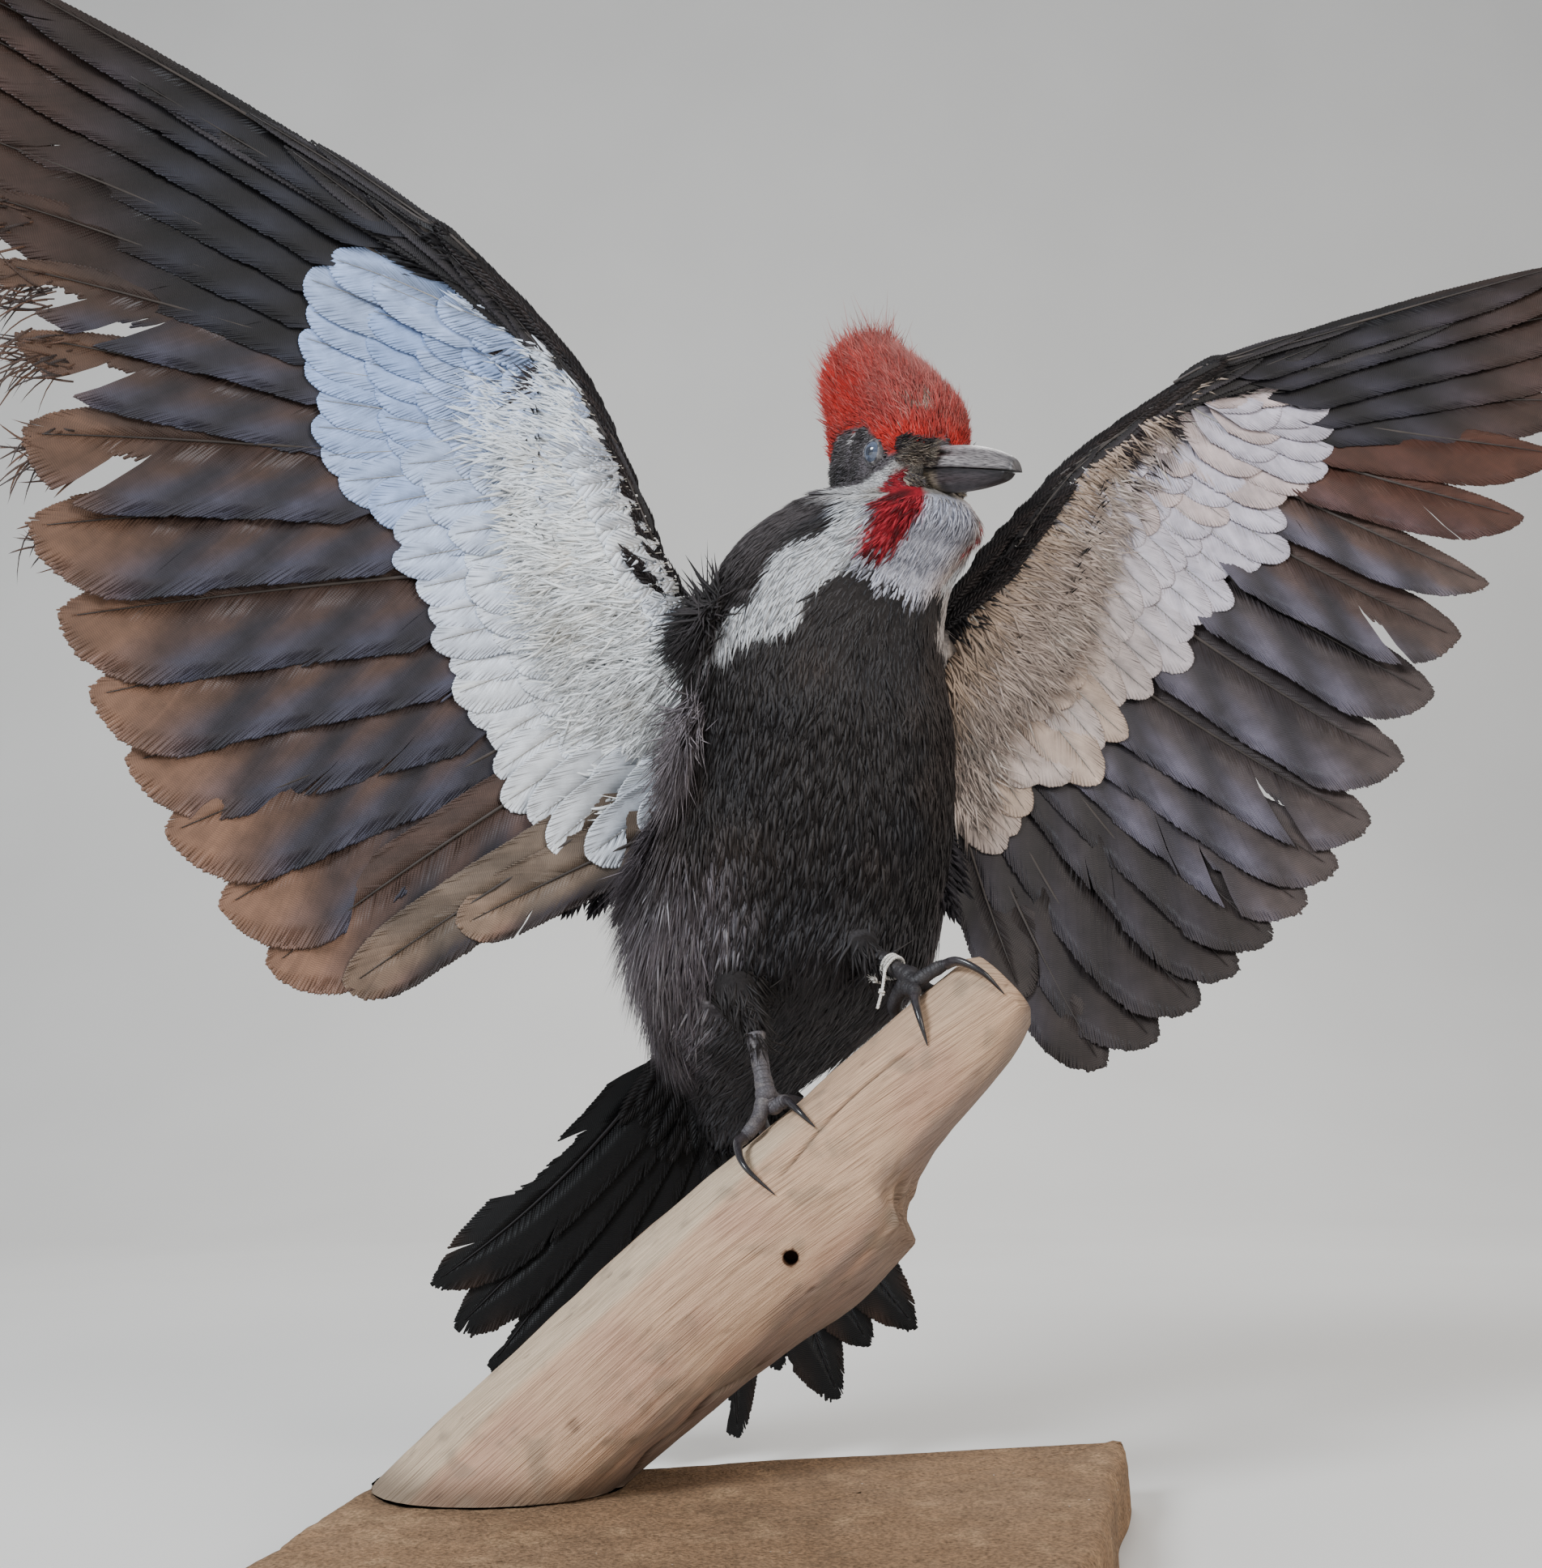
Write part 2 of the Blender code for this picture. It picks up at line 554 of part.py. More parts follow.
bm = bmesh.new()
bmesh.ops.create_cube(bm, size=1.0)
bmesh.ops.transform(bm, matrix=Matrix.Translation((0, 0.05, SLAB_THICK_MM * MM + GAP_MM * MM - 0.05))
                    @ Matrix.Diagonal((0.6, 0.4, 0.1, 1.0)), verts=bm.verts)
me = bpy.data.meshes.new("below_slab")
bm.to_mesh(me)
bm.free()
boolean(limb, as_cutter("below_slab", me), "DIFFERENCE", "foot_cut")

# screw hole through which the limb was once fixed
HOLE_AT = Vector((13.4, 10.0, 91.9))
HOLE_RADIUS_MM, HOLE_DEPTH_MM = 2.4, 16.0
bm = bmesh.new()
bmesh.ops.create_cone(bm, cap_ends=True, segments=14, radius1=HOLE_RADIUS_MM * MM,
                      radius2=HOLE_RADIUS_MM * MM, depth=2 * HOLE_DEPTH_MM * MM)
aim = Vector((0.05, 1.0, 0.10)).to_track_quat("Z", "Y").to_matrix().to_4x4()
bmesh.ops.transform(bm, matrix=Matrix.Translation(HOLE_AT * MM) @ aim, verts=bm.verts)
me = bpy.data.meshes.new("screw_hole")
bm.to_mesh(me)
bm.free()
boolean(limb, as_cutter("screw_hole", me), "DIFFERENCE", "screw_hole")

# --------------------------------------------------------------------------
# slab: rough sanded block with four uneven edges
# --------------------------------------------------------------------------
SLAB_CORNERS = ((134.0, 99.0), (-124.0, 51.5), (-142.0, -97.0), (78.0, -104.0))


def slab_edge():
    pts = []
    per_side = 9
    for i in range(4):
        a, b = Vector(SLAB_CORNERS[i]), Vector(SLAB_CORNERS[(i + 1) % 4])
        d = (b - a)
        nrm = Vector((-d.y, d.x)).normalized()
        for j in range(per_side):
            q = j / per_side
            rough = 0.9 * math.sin(11.0 * q + 2.1 * i) + 0.6 * math.sin(23.0 * q + 1.3 * i)
            inset = 2.5 if j == 0 else 0.0
            p = a + d * q + nrm * (rough * math.sin(math.pi * q))
            p = p * (1 - inset / max(p.length, 1.0))
            pts.append(p)
    return pts


cu = bpy.data.curves.new("slab_outline", "CURVE")
cu.dimensions = "2D"
cu.fill_mode = "BOTH"
cu.extrude = SLAB_THICK_MM / 2 * MM
sp = cu.splines.new("POLY")
outline = slab_edge()
sp.points.add(len(outline) - 1)
for q, p in zip(sp.points, outline):
    q.co = (p.x * MM, p.y * MM, 0.0, 1.0)
sp.use_cyclic_u = True
ob = bpy.data.objects.new("slab_outline", cu)
CUTTERS.objects.link(ob)
dg = bpy.context.evaluated_depsgraph_get()
me = bpy.data.meshes.new_from_object(ob.evaluated_get(dg))
bpy.data.objects.remove(ob, do_unlink=True)
bm = bmesh.new()
bm.from_mesh(me)
bmesh.ops.remove_doubles(bm, verts=bm.verts, dist=1e-6)
bmesh.ops.translate(bm, vec=(0, 0, SLAB_THICK_MM / 2 * MM), verts=bm.verts)
bmesh.ops.recalc_face_normals(bm, faces=bm.faces)
bm.to_mesh(me)
bm.free()
me.name = "base"
add("base", me, (0.27, 0.20, 0.14), 0.95, smooth=False)

# --------------------------------------------------------------------------
# legs: feathered thighs, scaled feet with two toes forward and two back
# --------------------------------------------------------------------------
# A toe's route is given over the limb as (place along it, angle round it in
# degrees, height above it): joint first, then the toe, then its claw.
FEET = {
    "right": {
        "thigh": [((-8, 92, 200), 15.0), ((-5, 74, 186), 11.0), ((0.5, 57, 172), 6.8), ((3.2, 48.5, 164.5), 4.3)],
        "tarsus": [((3.4, 48.0, 163.8), 3.3), ((5.0, 44.0, 153.0), 2.9), ((6.6, 40.5, 143.5), 3.0)],
        "toes": {
            "outer": [(0.604, 13, 5.0), (0.588, 19, 4.2), (0.570, 20, 3.4), (0.556, 31, 4.2), (0.545, 52, 3.4), (0.549, 80, 0.7)],
            "inner": [(0.628, 10, 4.6), (0.640, 12, 4.0), (0.648, 16, 3.6), (0.650, 30, 3.6), (0.651, 46, 2.6), (0.652, 62, 0.7)],
            "rear": [(0.640, -12, 4.6), (0.656, -32, 3.8), (0.668, -56, 3.6), (0.674, -74, 4.0), (0.676, -92, 3.0), (0.672, -112, 0.7)],
            "hind": [(0.604, -10, 4.8), (0.596, -34, 3.8), (0.590, -58, 3.6), (0.584, -78, 4.0), (0.578, -98, 3.0), (0.574, -116, 0.7)],
        },
    },
    "left": {
        "thigh": [((28, 98, 214), 17.0), ((36, 80, 201), 12.5), ((42.5, 64, 193), 8.0), ((46.6, 57.0, 189.8), 5.0)],
        "tarsus": [((47.1, 56.3, 189.4), 3.3), ((52.0, 50.2, 185.8), 2.9), ((56.6, 44.6, 182.4), 3.0)],
        "toes": {
            "outer": [(0.905, 12, 5.0), (0.930, 15, 4.4), (0.953, 20, 3.6), (0.968, 40, 4.2), (0.978, 68, 3.2), (0.979, 96, 0.8)],
            "inner": [(0.890, 12, 5.0), (0.893, 20, 4.2), (0.888, 28, 3.6), (0.878, 42, 4.0), (0.863, 60, 3.2), (0.846, 80, 0.7)],
            "rear": [(0.905, -12, 4.6), (0.918, -36, 3.8), (0.926, -60, 3.6), (0.930, -82, 4.0), (0.930, -102, 3.0), (0.926, -120, 0.7)],
            "hind": [(0.868, -10, 4.6), (0.858, -34, 3.8), (0.850, -58, 3.6), (0.844, -80, 4.0), (0.838, -100, 3.0), (0.832, -118, 0.7)],
        },
    },
}
TOE_RADII_MM = (2.7, 2.5, 2.1)
CLAW_RADII_MM = (1.75, 1.6, 1.1, 0.35)
SCALE_GREY = (0.11, 0.10, 0.11)
CLAW_GREY = (0.04, 0.037, 0.042)


def foot_route(joint, toe):
    """Route points of a toe and its claw, and the place where they meet."""
    keys = [tuple(joint)] + [tuple(limb_point(s, math.radians(a), h)) for s, a, h in toe]
    return smooth_path(keys, 19), 9


for side, spec in FEET.items():
    tarsus = [Vector(p) * MM for p, r in spec["tarsus"]]
    joint = tarsus[-1]
    foot = add("foot_" + side, tube("foot_" + side, smooth_path(tarsus, 5),
                                    [spec["tarsus"][0][1], 3.0, 2.9, 2.95, 3.0], 1), SCALE_GREY, 0.6)
    bm = bmesh.new()
    bmesh.ops.create_icosphere(bm, subdivisions=1, radius=3.7 * MM)
    bmesh.ops.translate(bm, vec=joint, verts=bm.verts)
    me = bpy.data.meshes.new("knuckle_" + side)
    bm.to_mesh(me)
    bm.free()
    boolean(foot, as_cutter("knuckle_" + side, me), "UNION", "knuckle")
    for toe, route in spec["toes"].items():
        path, cut = foot_route(joint, route)
        turn = (path[cut + 1] - path[cut]).normalized()
        meet = path[cut]
        radii = [2.5, 2.5, 2.4, 2.35, 2.3, 2.25, 2.2, 2.1, 1.9]
        toe_path = path[:cut] + [meet]
        toe_mesh = tube("toe_%s_%s" % (toe, side), [p for p in toe_path[::2]] + [meet + turn * 0.0006],
                        [2.5, 2.5, 2.35, 2.25, 2.1, 1.9][:len(toe_path[::2]) + 1], 1)
        boolean(foot, as_cutter("toe_%s_%s" % (toe, side), toe_mesh), "UNION", toe)
        start = meet + turn * (0.0006 + 2.4 * GAP_MM * MM)
        claw_path = [start, start + turn * 0.0010] + path[cut + 2:-1:2] + [path[-1]]
        n = len(claw_path)
        claw_r = [through([(0.0, 1.75), (0.35, 1.6), (0.75, 1.0), (1.0, 0.32)], i / (n - 1)) for i in range(n)]
        claw_mesh = tube("claw_%s_%s" % (toe, side), claw_path, claw_r, 1)
        add("claw_%s_%s" % (toe, side), claw_mesh, CLAW_GREY, 0.35)

    thigh_pts = [Vector(p) * MM for p, r in spec["thigh"]]
    thigh_keys = [(float(i), r) for i, (p, r) in enumerate(spec["thigh"])]
    path = smooth_path(thigh_pts, 7)
    radii = [through(thigh_keys, t) for t in spread(0.0, len(thigh_pts) - 1.0, 7)]
    end_dir = (tarsus[1] - tarsus[0]).normalized()
    path[-1] = tarsus[0] - end_dir * (1.5 * GAP_MM * MM)
    path[-2] = path[-1] - end_dir * 0.003
    thigh = add("thigh_" + side, tube("thigh_" + side, path, radii, 2), CHARCOAL, 0.85)
    boolean(thigh, fat_trunk, "DIFFERENCE", "belly_seat")

# --------------------------------------------------------------------------
# string tied round the left ankle: an end, three turns, another end
# --------------------------------------------------------------------------
STRING_RADIUS_MM = 0.55
shank_a = Vector(FEET["left"]["tarsus"][0][0])
shank_b = Vector(FEET["left"]["tarsus"][-1][0])
axis = (shank_b - shank_a).normalized()
turn_mid = shank_a.lerp(shank_b, 0.42)
e1 = (Vector((0, 0, 1)) - axis * axis.z).normalized()
e2 = axis.cross(e1)
loops = []
TURNS, PITCH_MM, LOOP_RADIUS_MM = 2.6, 1.45, 4.15
for i in range(34):
    q = i / 33.0
    a = math.pi * (1.15 + 2 * TURNS * q)
    loops.append(turn_mid + axis * ((q - 0.5) * TURNS * PITCH_MM)
                 + (e1 * math.cos(a) + e2 * math.sin(a)) * LOOP_RADIUS_MM)
first_dir = (loops[0] - loops[1]).normalized()
last_dir = (loops[-1] - loops[-2]).normalized()
frayed_end = [loops[0] + first_dir * 3.0 + Vector((-1.0, -2.0, -1.0)), loops[0] + Vector((-6.0, -6.5, -2.0))]
knot_end = [loops[-1] + last_dir * 2.5 + Vector((0.0, -3.0, -1.0)), loops[-1] + Vector((-3.0, -7.5, -9.0)),
            loops[-1] + Vector((-5.0, -8.0, -16.0))]
tail_a = smooth_path([frayed_end[1], frayed_end[0], loops[0]], 6)[:-1]
tail_b = smooth_path([loops[-1]] + knot_end, 8)[1:]
route = [p * MM for p in tail_a + loops + tail_b]
add("leg_string", tube("leg_string", route, [STRING_RADIUS_MM] * len(route), 0), (0.75, 0.74, 0.70), 0.9)
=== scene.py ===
"""Pileated woodpecker mount: the looks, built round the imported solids.

One skin carries short overlapping tufts on the trunk, neck, head, crest and
legs.  Wings and tail are made feather by feather: a shaft and barbs in strips,
in the order in which real feathers overlap.  Numbers named *_MM and the keyed
tables are millimetres and follow the solids.
"""

import math

import bmesh
import bpy
import numpy as np
from mathutils import Matrix, Vector
from mathutils.bvhtree import BVHTree


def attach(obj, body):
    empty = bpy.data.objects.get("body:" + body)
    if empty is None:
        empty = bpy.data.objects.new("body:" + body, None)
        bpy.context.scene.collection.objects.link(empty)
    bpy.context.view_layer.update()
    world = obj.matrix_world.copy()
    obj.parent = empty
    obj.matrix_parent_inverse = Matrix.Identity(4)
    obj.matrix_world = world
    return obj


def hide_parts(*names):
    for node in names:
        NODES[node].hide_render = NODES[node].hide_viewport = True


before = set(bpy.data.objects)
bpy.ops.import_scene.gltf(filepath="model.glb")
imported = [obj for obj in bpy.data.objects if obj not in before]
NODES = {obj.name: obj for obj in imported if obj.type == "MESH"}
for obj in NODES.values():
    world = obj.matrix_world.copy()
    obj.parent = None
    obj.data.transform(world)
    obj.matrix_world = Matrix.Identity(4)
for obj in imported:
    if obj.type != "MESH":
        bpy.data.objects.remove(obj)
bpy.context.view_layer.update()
MM = 0.001
rng = np.random.RandomState(11)


# --------------------------------------------------------------------------
# small numeric helpers
# --------------------------------------------------------------------------
def srgb(r, g, b):
    c = np.array([r, g, b], float) / 255.0
    return np.where(c <= 0.04045, c / 12.92, ((c + 0.055) / 1.055) ** 2.4)


def unit(a):
    return a / np.maximum(np.linalg.norm(a, axis=-1, keepdims=True), 1e-12)


def smooth01(x, a, b):
    q = np.clip((x - a) / (b - a), 0, 1)
    return q * q * (3 - 2 * q)


def blend(a, b, w):
    w = np.asarray(w, float)
    return a * (1 - w[..., None]) + b * w[..., None]


def through(keys, t):
    """Smooth values at t through (t, value) keys; a value may be a tuple."""
    k = np.array([a for a, _ in keys], float)
    v = np.array([b for _, b in keys], float)
    one = v.ndim == 1
    if one:
        v = v[:, None]
    t = np.asarray(t, float)
    flat = np.clip(t.reshape(-1), k[0], k[-1])
    i = np.clip(np.searchsorted(k, flat, side="right") - 1, 0, len(k) - 2)
    slope = np.empty_like(v)
    slope[0] = (v[1] - v[0]) / (k[1] - k[0])
    slope[-1] = (v[-1] - v[-2]) / (k[-1] - k[-2])
    if len(k) > 2:
        slope[1:-1] = (v[2:] - v[:-2]) / (k[2:] - k[:-2])[:, None]
    h = (k[i + 1] - k[i])[:, None]
    x = (flat - k[i])[:, None] / h
    out = ((2 * x**3 - 3 * x**2 + 1) * v[i] + (x**3 - 2 * x**2 + x) * h * slope[i]
           + (-2 * x**3 + 3 * x**2) * v[i + 1] + (x**3 - x**2) * h * slope[i + 1])
    return out[:, 0].reshape(t.shape) if one else out.reshape(t.shape + (v.shape[1],))


def lattice(i, seed):
    i = i.astype(np.int64).astype(np.uint64)
    h = (i[..., 0] * np.uint64(374761393) + i[..., 1] * np.uint64(668265263)
         + i[..., 2] * np.uint64(1274126177) + np.uint64(seed * 974634777 + 12345)) & np.uint64(0xFFFFFFFF)
    h = ((h ^ (h >> np.uint64(13))) * np.uint64(1103515245)) & np.uint64(0xFFFFFFFF)
    h = ((h ^ (h >> np.uint64(16))) * np.uint64(2246822519)) & np.uint64(0xFFFFFFFF)
    h = h ^ (h >> np.uint64(15))
    return (h & np.uint64(0xFFFFFF)).astype(float) / float(0xFFFFFF)


def noise(p, size, seed=0):
    """Value noise from 0 to 1, with lumps about size across."""
    q = np.asarray(p, float) / size + 1000.0
    i = np.floor(q)
    f = q - i
    f = f * f * (3 - 2 * f)
    out = 0.0
    for dx in (0, 1):
        for dy in (0, 1):
            for dz in (0, 1):
                w = ((f[..., 0] if dx else 1 - f[..., 0]) * (f[..., 1] if dy else 1 - f[..., 1])
                     * (f[..., 2] if dz else 1 - f[..., 2]))
                out = out + w * lattice(i + np.array([dx, dy, dz]), seed)
    return out


def rough(p, size, seed=0, octaves=3):
    total, amp, norm = 0.0, 1.0, 0.0
    for k in range(octaves):
        total = total + amp * noise(p, size / 2**k, seed + 17 * k)
        norm += amp
        amp *= 0.5
    return total / norm


# --------------------------------------------------------------------------
# meshes
# --------------------------------------------------------------------------
class Pile:
    """Many small closed pieces gathered into one mesh."""

    def __init__(self):
        self.parts = []
        self.count = 0
        self.tris = 0

    def add(self, verts, faces, colour, bake, lie, flag):
        """verts (n,3) mm; faces list of (m,3) or (m,4) index arrays; flag 1, 2 on sharp borders."""
        faces = [f + self.count for f in faces if len(f)]
        self.parts.append((verts, faces, colour, bake, lie, flag))
        self.count += len(verts)
        self.tris += sum(len(f) * (f.shape[1] - 2) for f in faces)

    def build(self, name, material, slot):
        verts = np.concatenate([p[0] for p in self.parts]) * MM
        faces = [f for p in self.parts for f in p[1]]
        colour = np.concatenate([p[2] for p in self.parts])
        bake = np.concatenate([p[3] for p in self.parts])
        lie = np.concatenate([p[4] for p in self.parts])
        flag = np.concatenate([p[5] for p in self.parts])
        me = mesh_of(name, verts, faces)
        tint(me, colour)
        corner = np.empty(len(me.loops), np.int32)
        me.loops.foreach_get("vertex_index", corner)
        for label, uv in (("OFBake", bake), ("lie", lie)):
            layer = me.uv_layers.new(name=label)
            layer.data.foreach_set("uv", uv[corner].astype(np.float32).ravel())
        ends = np.empty(len(me.edges) * 2, np.int32)
        me.edges.foreach_get("vertices", ends)
        ends = ends.reshape(-1, 2)
        a, b = flag[ends[:, 0]], flag[ends[:, 1]]
        sharp = (a == b) & (a > 0)
        at = me.attributes.get("sharp_edge") or me.attributes.new("sharp_edge", "BOOLEAN", "EDGE")
        at.data.foreach_set("value", sharp)
        me.materials.append(material)
        obj = bpy.data.objects.new(name, me)
        bpy.context.scene.collection.objects.link(obj)
        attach(obj, "root")
        return obj


def mesh_of(name, verts, faces):
    me = bpy.data.meshes.new(name)
    me.vertices.add(len(verts))
    me.vertices.foreach_set("co", np.asarray(verts, np.float32).ravel())
    loops = np.concatenate([np.asarray(f, np.int32).ravel() for f in faces])
    sizes = np.concatenate([np.full(len(f), f.shape[1], np.int32) for f in faces])
    starts = np.concatenate([[0], np.cumsum(sizes)[:-1]]).astype(np.int32)
    me.loops.add(len(loops))
    me.loops.foreach_set("vertex_index", loops)
    me.polygons.add(len(sizes))
    me.polygons.foreach_set("loop_start", starts)
    me.polygons.foreach_set("use_smooth", np.ones(len(sizes), bool))
    me.update(calc_edges=True)
    return me


def tint(me, colour):
    at = me.color_attributes.new("tint", "FLOAT_COLOR", "POINT")
    rgba = np.ones((len(colour), 4), np.float32)
    rgba[:, :3] = np.clip(colour, 0, 1)
    at.data.foreach_set("color", rgba.ravel())


def grid_faces(rows, cols, wrap=True):
    """Quads over rows of cols points, joined round when wrap."""
    r = np.arange(rows - 1)[:, None] * cols
    c = np.arange(cols if wrap else cols - 1)[None, :]
    n = (c + 1) % cols
    return np.stack([r + c, r + n, r + cols + n, r + cols + c], -1).reshape(-1, 4)


def loft_arrays(rings):
    """rings (r,n,3): closed surface with a fan on each end."""
    rings = np.asarray(rings, float)
    r, n = rings.shape[:2]
    verts = np.concatenate([rings.reshape(-1, 3), rings[0].mean(0)[None], rings[-1].mean(0)[None]])
    quads = grid_faces(r, n)
    i = np.arange(n)
    j = (i + 1) % n
    start = np.stack([j, i, np.full(n, r * n)], -1)
    end = np.stack([(r - 1) * n + i, (r - 1) * n + j, np.full(n, r * n + 1)], -1)
    return verts, [quads, np.concatenate([start, end])]


def object_of(name, verts_mm, faces, material, nodes=(), colour=None, flip=None):
    me = mesh_of(name, np.asarray(verts_mm) * MM, faces)
    bm = bmesh.new()
    bm.from_mesh(me)
    bmesh.ops.recalc_face_normals(bm, faces=bm.faces)
    bm.to_mesh(me)
    bm.free()
    if colour is not None:
        tint(me, colour)
    me.materials.append(material)
    obj = bpy.data.objects.new(name, me)
    bpy.context.scene.collection.objects.link(obj)
    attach(obj, "root")
    if nodes:
        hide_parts(*nodes)
    return obj


# --------------------------------------------------------------------------
# materials
# --------------------------------------------------------------------------
class Nodes:
    """Short hand for a material's node tree."""

    def __init__(self, name):
        self.material = bpy.data.materials.new(name)
        self.material.use_nodes = True
        self.tree = self.material.node_tree
        self.shader = self.tree.nodes["Principled BSDF"]

    def new(self, kind, **values):
        n = self.tree.nodes.new(kind)
        for key, value in values.items():
            if key.startswith("in_"):
                n.inputs[int(key[3:])].default_value = value
            else:
                setattr(n, key, value)
        return n

    def join(self, a, b):
        self.tree.links.new(a, b)

    def set(self, **values):
        for key, value in values.items():
            self.shader.inputs[key.replace("_", " ")].default_value = value
        return self

    def ramp(self, source, stops, interpolation="LINEAR"):
        r = self.new("ShaderNodeValToRGB")
        r.color_ramp.interpolation = interpolation
        while len(r.color_ramp.elements) < len(stops):
            r.color_ramp.elements.new(0.5)
        for e, (pos, col) in zip(r.color_ramp.elements, stops):
            e.position = pos
            e.color = tuple(col) + (1.0,) if len(tuple(col)) == 3 else tuple(col)
        self.join(source, r.inputs["Fac"])
        return r.outputs["Color"]

    def mix(self, mode, factor, a, b):
        m = self.new("ShaderNodeMix", data_type="RGBA", blend_type=mode)
        for socket, value in ((m.inputs[0], factor), (m.inputs[6], a), (m.inputs[7], b)):
            if hasattr(value, "links"):
                self.join(value, socket)
            elif isinstance(value, (int, float)):
                socket.default_value = value
            else:
                socket.default_value = tuple(value) + (1.0,)
        return m.outputs[2]

    def math(self, op, a, b=None):
        m = self.new("ShaderNodeMath", operation=op)
        for socket, value in zip(m.inputs, (a, b)):
            if value is None:
                continue
            if hasattr(value, "links"):
                self.join(value, socket)
            else:
                socket.default_value = value
        return m.outputs[0]

    def bump(self, height, strength, distance):
        b = self.new("ShaderNodeBump")
        b.inputs["Strength"].default_value = strength
        b.inputs["Distance"].default_value = distance
        self.join(height, b.inputs["Height"])
        self.join(b.outputs["Normal"], self.shader.inputs["Normal"])


def plumage_material(name, barbs, roughness, specular, contrast, sheen=0.0, sheen_tint=(1, 1, 1)):
    """Feather finish: the piece's own tint, with fine barb lines across or along it."""
    n = Nodes(name)
    at = n.new("ShaderNodeAttribute", attribute_name="tint")
    uv = n.new("ShaderNodeUVMap", uv_map="lie")
    wave = n.new("ShaderNodeTexWave", wave_type="BANDS", bands_direction="X" if barbs == "along" else "Y")
    n.join(uv.outputs["UV"], wave.inputs["Vector"])
    wave.inputs["Scale"].default_value = 1.0
    wave.inputs["Distortion"].default_value = 0.6
    wave.inputs["Detail"].default_value = 1.0
    lump = n.new("ShaderNodeTexNoise")
    place = n.new("ShaderNodeTexCoord")
    n.join(place.outputs["Object"], lump.inputs["Vector"])
    lump.inputs["Scale"].default_value = 140.0
    lump.inputs["Detail"].default_value = 3.0
    low = n.ramp(wave.outputs["Fac"], [(0.0, (1 - contrast,) * 3), (1.0, (1 + contrast * 0.35,) * 3)])
    spots = n.ramp(lump.outputs["Fac"], [(0.3, (0.80, 0.80, 0.80)), (0.7, (1.15, 1.15, 1.15))])
    c = n.mix("MULTIPLY", 1.0, at.outputs["Color"], low)
    c = n.mix("MULTIPLY", 1.0, c, spots)
    n.join(c, n.shader.inputs["Base Color"])
    n.bump(wave.outputs["Fac"], 0.35, 0.0002)
    n.set(Roughness=roughness, Specular_IOR_Level=specular, Sheen_Weight=sheen)
    n.shader.inputs["Sheen Tint"].default_value = tuple(sheen_tint) + (1.0,)
    n.shader.inputs["Sheen Roughness"].default_value = 0.4
    return n.material


SOFT = plumage_material("soft_plumage", "along", 0.62, 0.30, 0.30)
VANE = plumage_material("vane_plumage", "across", 0.54, 0.30, 0.24)
GLOSSY = plumage_material("black_vane_plumage", "across", 0.52, 0.24, 0.14)


def skin_material():
    n = Nodes("plumed_skin")
    at = n.new("ShaderNodeAttribute", attribute_name="tint")
    place = n.new("ShaderNodeTexCoord")
    fine = n.new("ShaderNodeTexNoise")
    n.join(place.outputs["Object"], fine.inputs["Vector"])
    fine.inputs["Scale"].default_value = 900.0
    fine.inputs["Detail"].default_value = 4.0
    shade = n.ramp(fine.outputs["Fac"], [(0.3, (0.55, 0.55, 0.55)), (0.75, (1.1, 1.1, 1.1))])
    n.join(n.mix("MULTIPLY", 1.0, at.outputs["Color"], shade), n.shader.inputs["Base Color"])
    n.bump(fine.outputs["Fac"], 0.6, 0.0006)
    n.set(Roughness=0.8, Specular_IOR_Level=0.2)
    return n.material


SKIN = skin_material()

# --------------------------------------------------------------------------
# the solids' own shapes, repeated here in millimetres
# --------------------------------------------------------------------------
BODY = [
    (0.00, (-9.0, 137.0, 121.0, 7.0, 6.0, 6.0, 12.0, -25.0)),
    (0.06, (-7.5, 134.0, 133.0, 15.5, 14.0, 12.0, 14.0, -18.0)),
    (0.14, (-1.0, 129.0, 149.0, 28.0, 26.0, 22.0, 17.0, -8.0)),
    (0.24, (7.5, 121.0, 167.0, 43.0, 37.0, 32.0, 20.0, 0.0)),
    (0.38, (18.5, 111.0, 192.0, 52.0, 48.0, 40.0, 20.0, 8.0)),
    (0.55, (24.0, 103.0, 222.0, 55.5, 50.0, 44.0, 20.0, 13.0)),
    (0.72, (27.0, 97.0, 256.0, 56.5, 51.0, 45.0, 20.0, 17.0)),
    (0.86, (28.5, 93.5, 290.0, 56.0, 49.0, 46.0, 20.0, 21.0)),
    (0.95, (29.5, 92.0, 315.0, 52.5, 46.0, 46.0, 20.0, 25.0)),
    (1.02, (34.0, 91.0, 334.0, 49.5, 44.0, 44.0, 22.0, 27.0)),
    (1.10, (42.0, 89.0, 350.0, 46.0, 42.0, 41.0, 26.0, 27.0)),
    (1.18, (54.0, 85.0, 363.0, 39.0, 43.0, 37.0, 30.0, 25.0)),
    (1.25, (61.0, 82.0, 371.0, 27.0, 40.0, 24.0, 31.0, 21.0)),
    (1.30, (63.0, 80.0, 377.0, 13.0, 18.0, 10.0, 31.0, 14.0)),
]
FLANK_PUFF_MM = 25.0
UP = np.array([0.0, 0.0, 1.0])


def body_axes(t):
    s = through(BODY, t)
    yaw, lean = np.radians(s[..., 6]), np.radians(s[..., 7])
    fwd = np.stack([np.sin(yaw), -np.cos(yaw), 0 * yaw], -1)
    left = np.stack([np.cos(yaw), np.sin(yaw), 0 * yaw], -1)
    return s, fwd * np.cos(lean)[..., None] - UP * np.sin(lean)[..., None], left


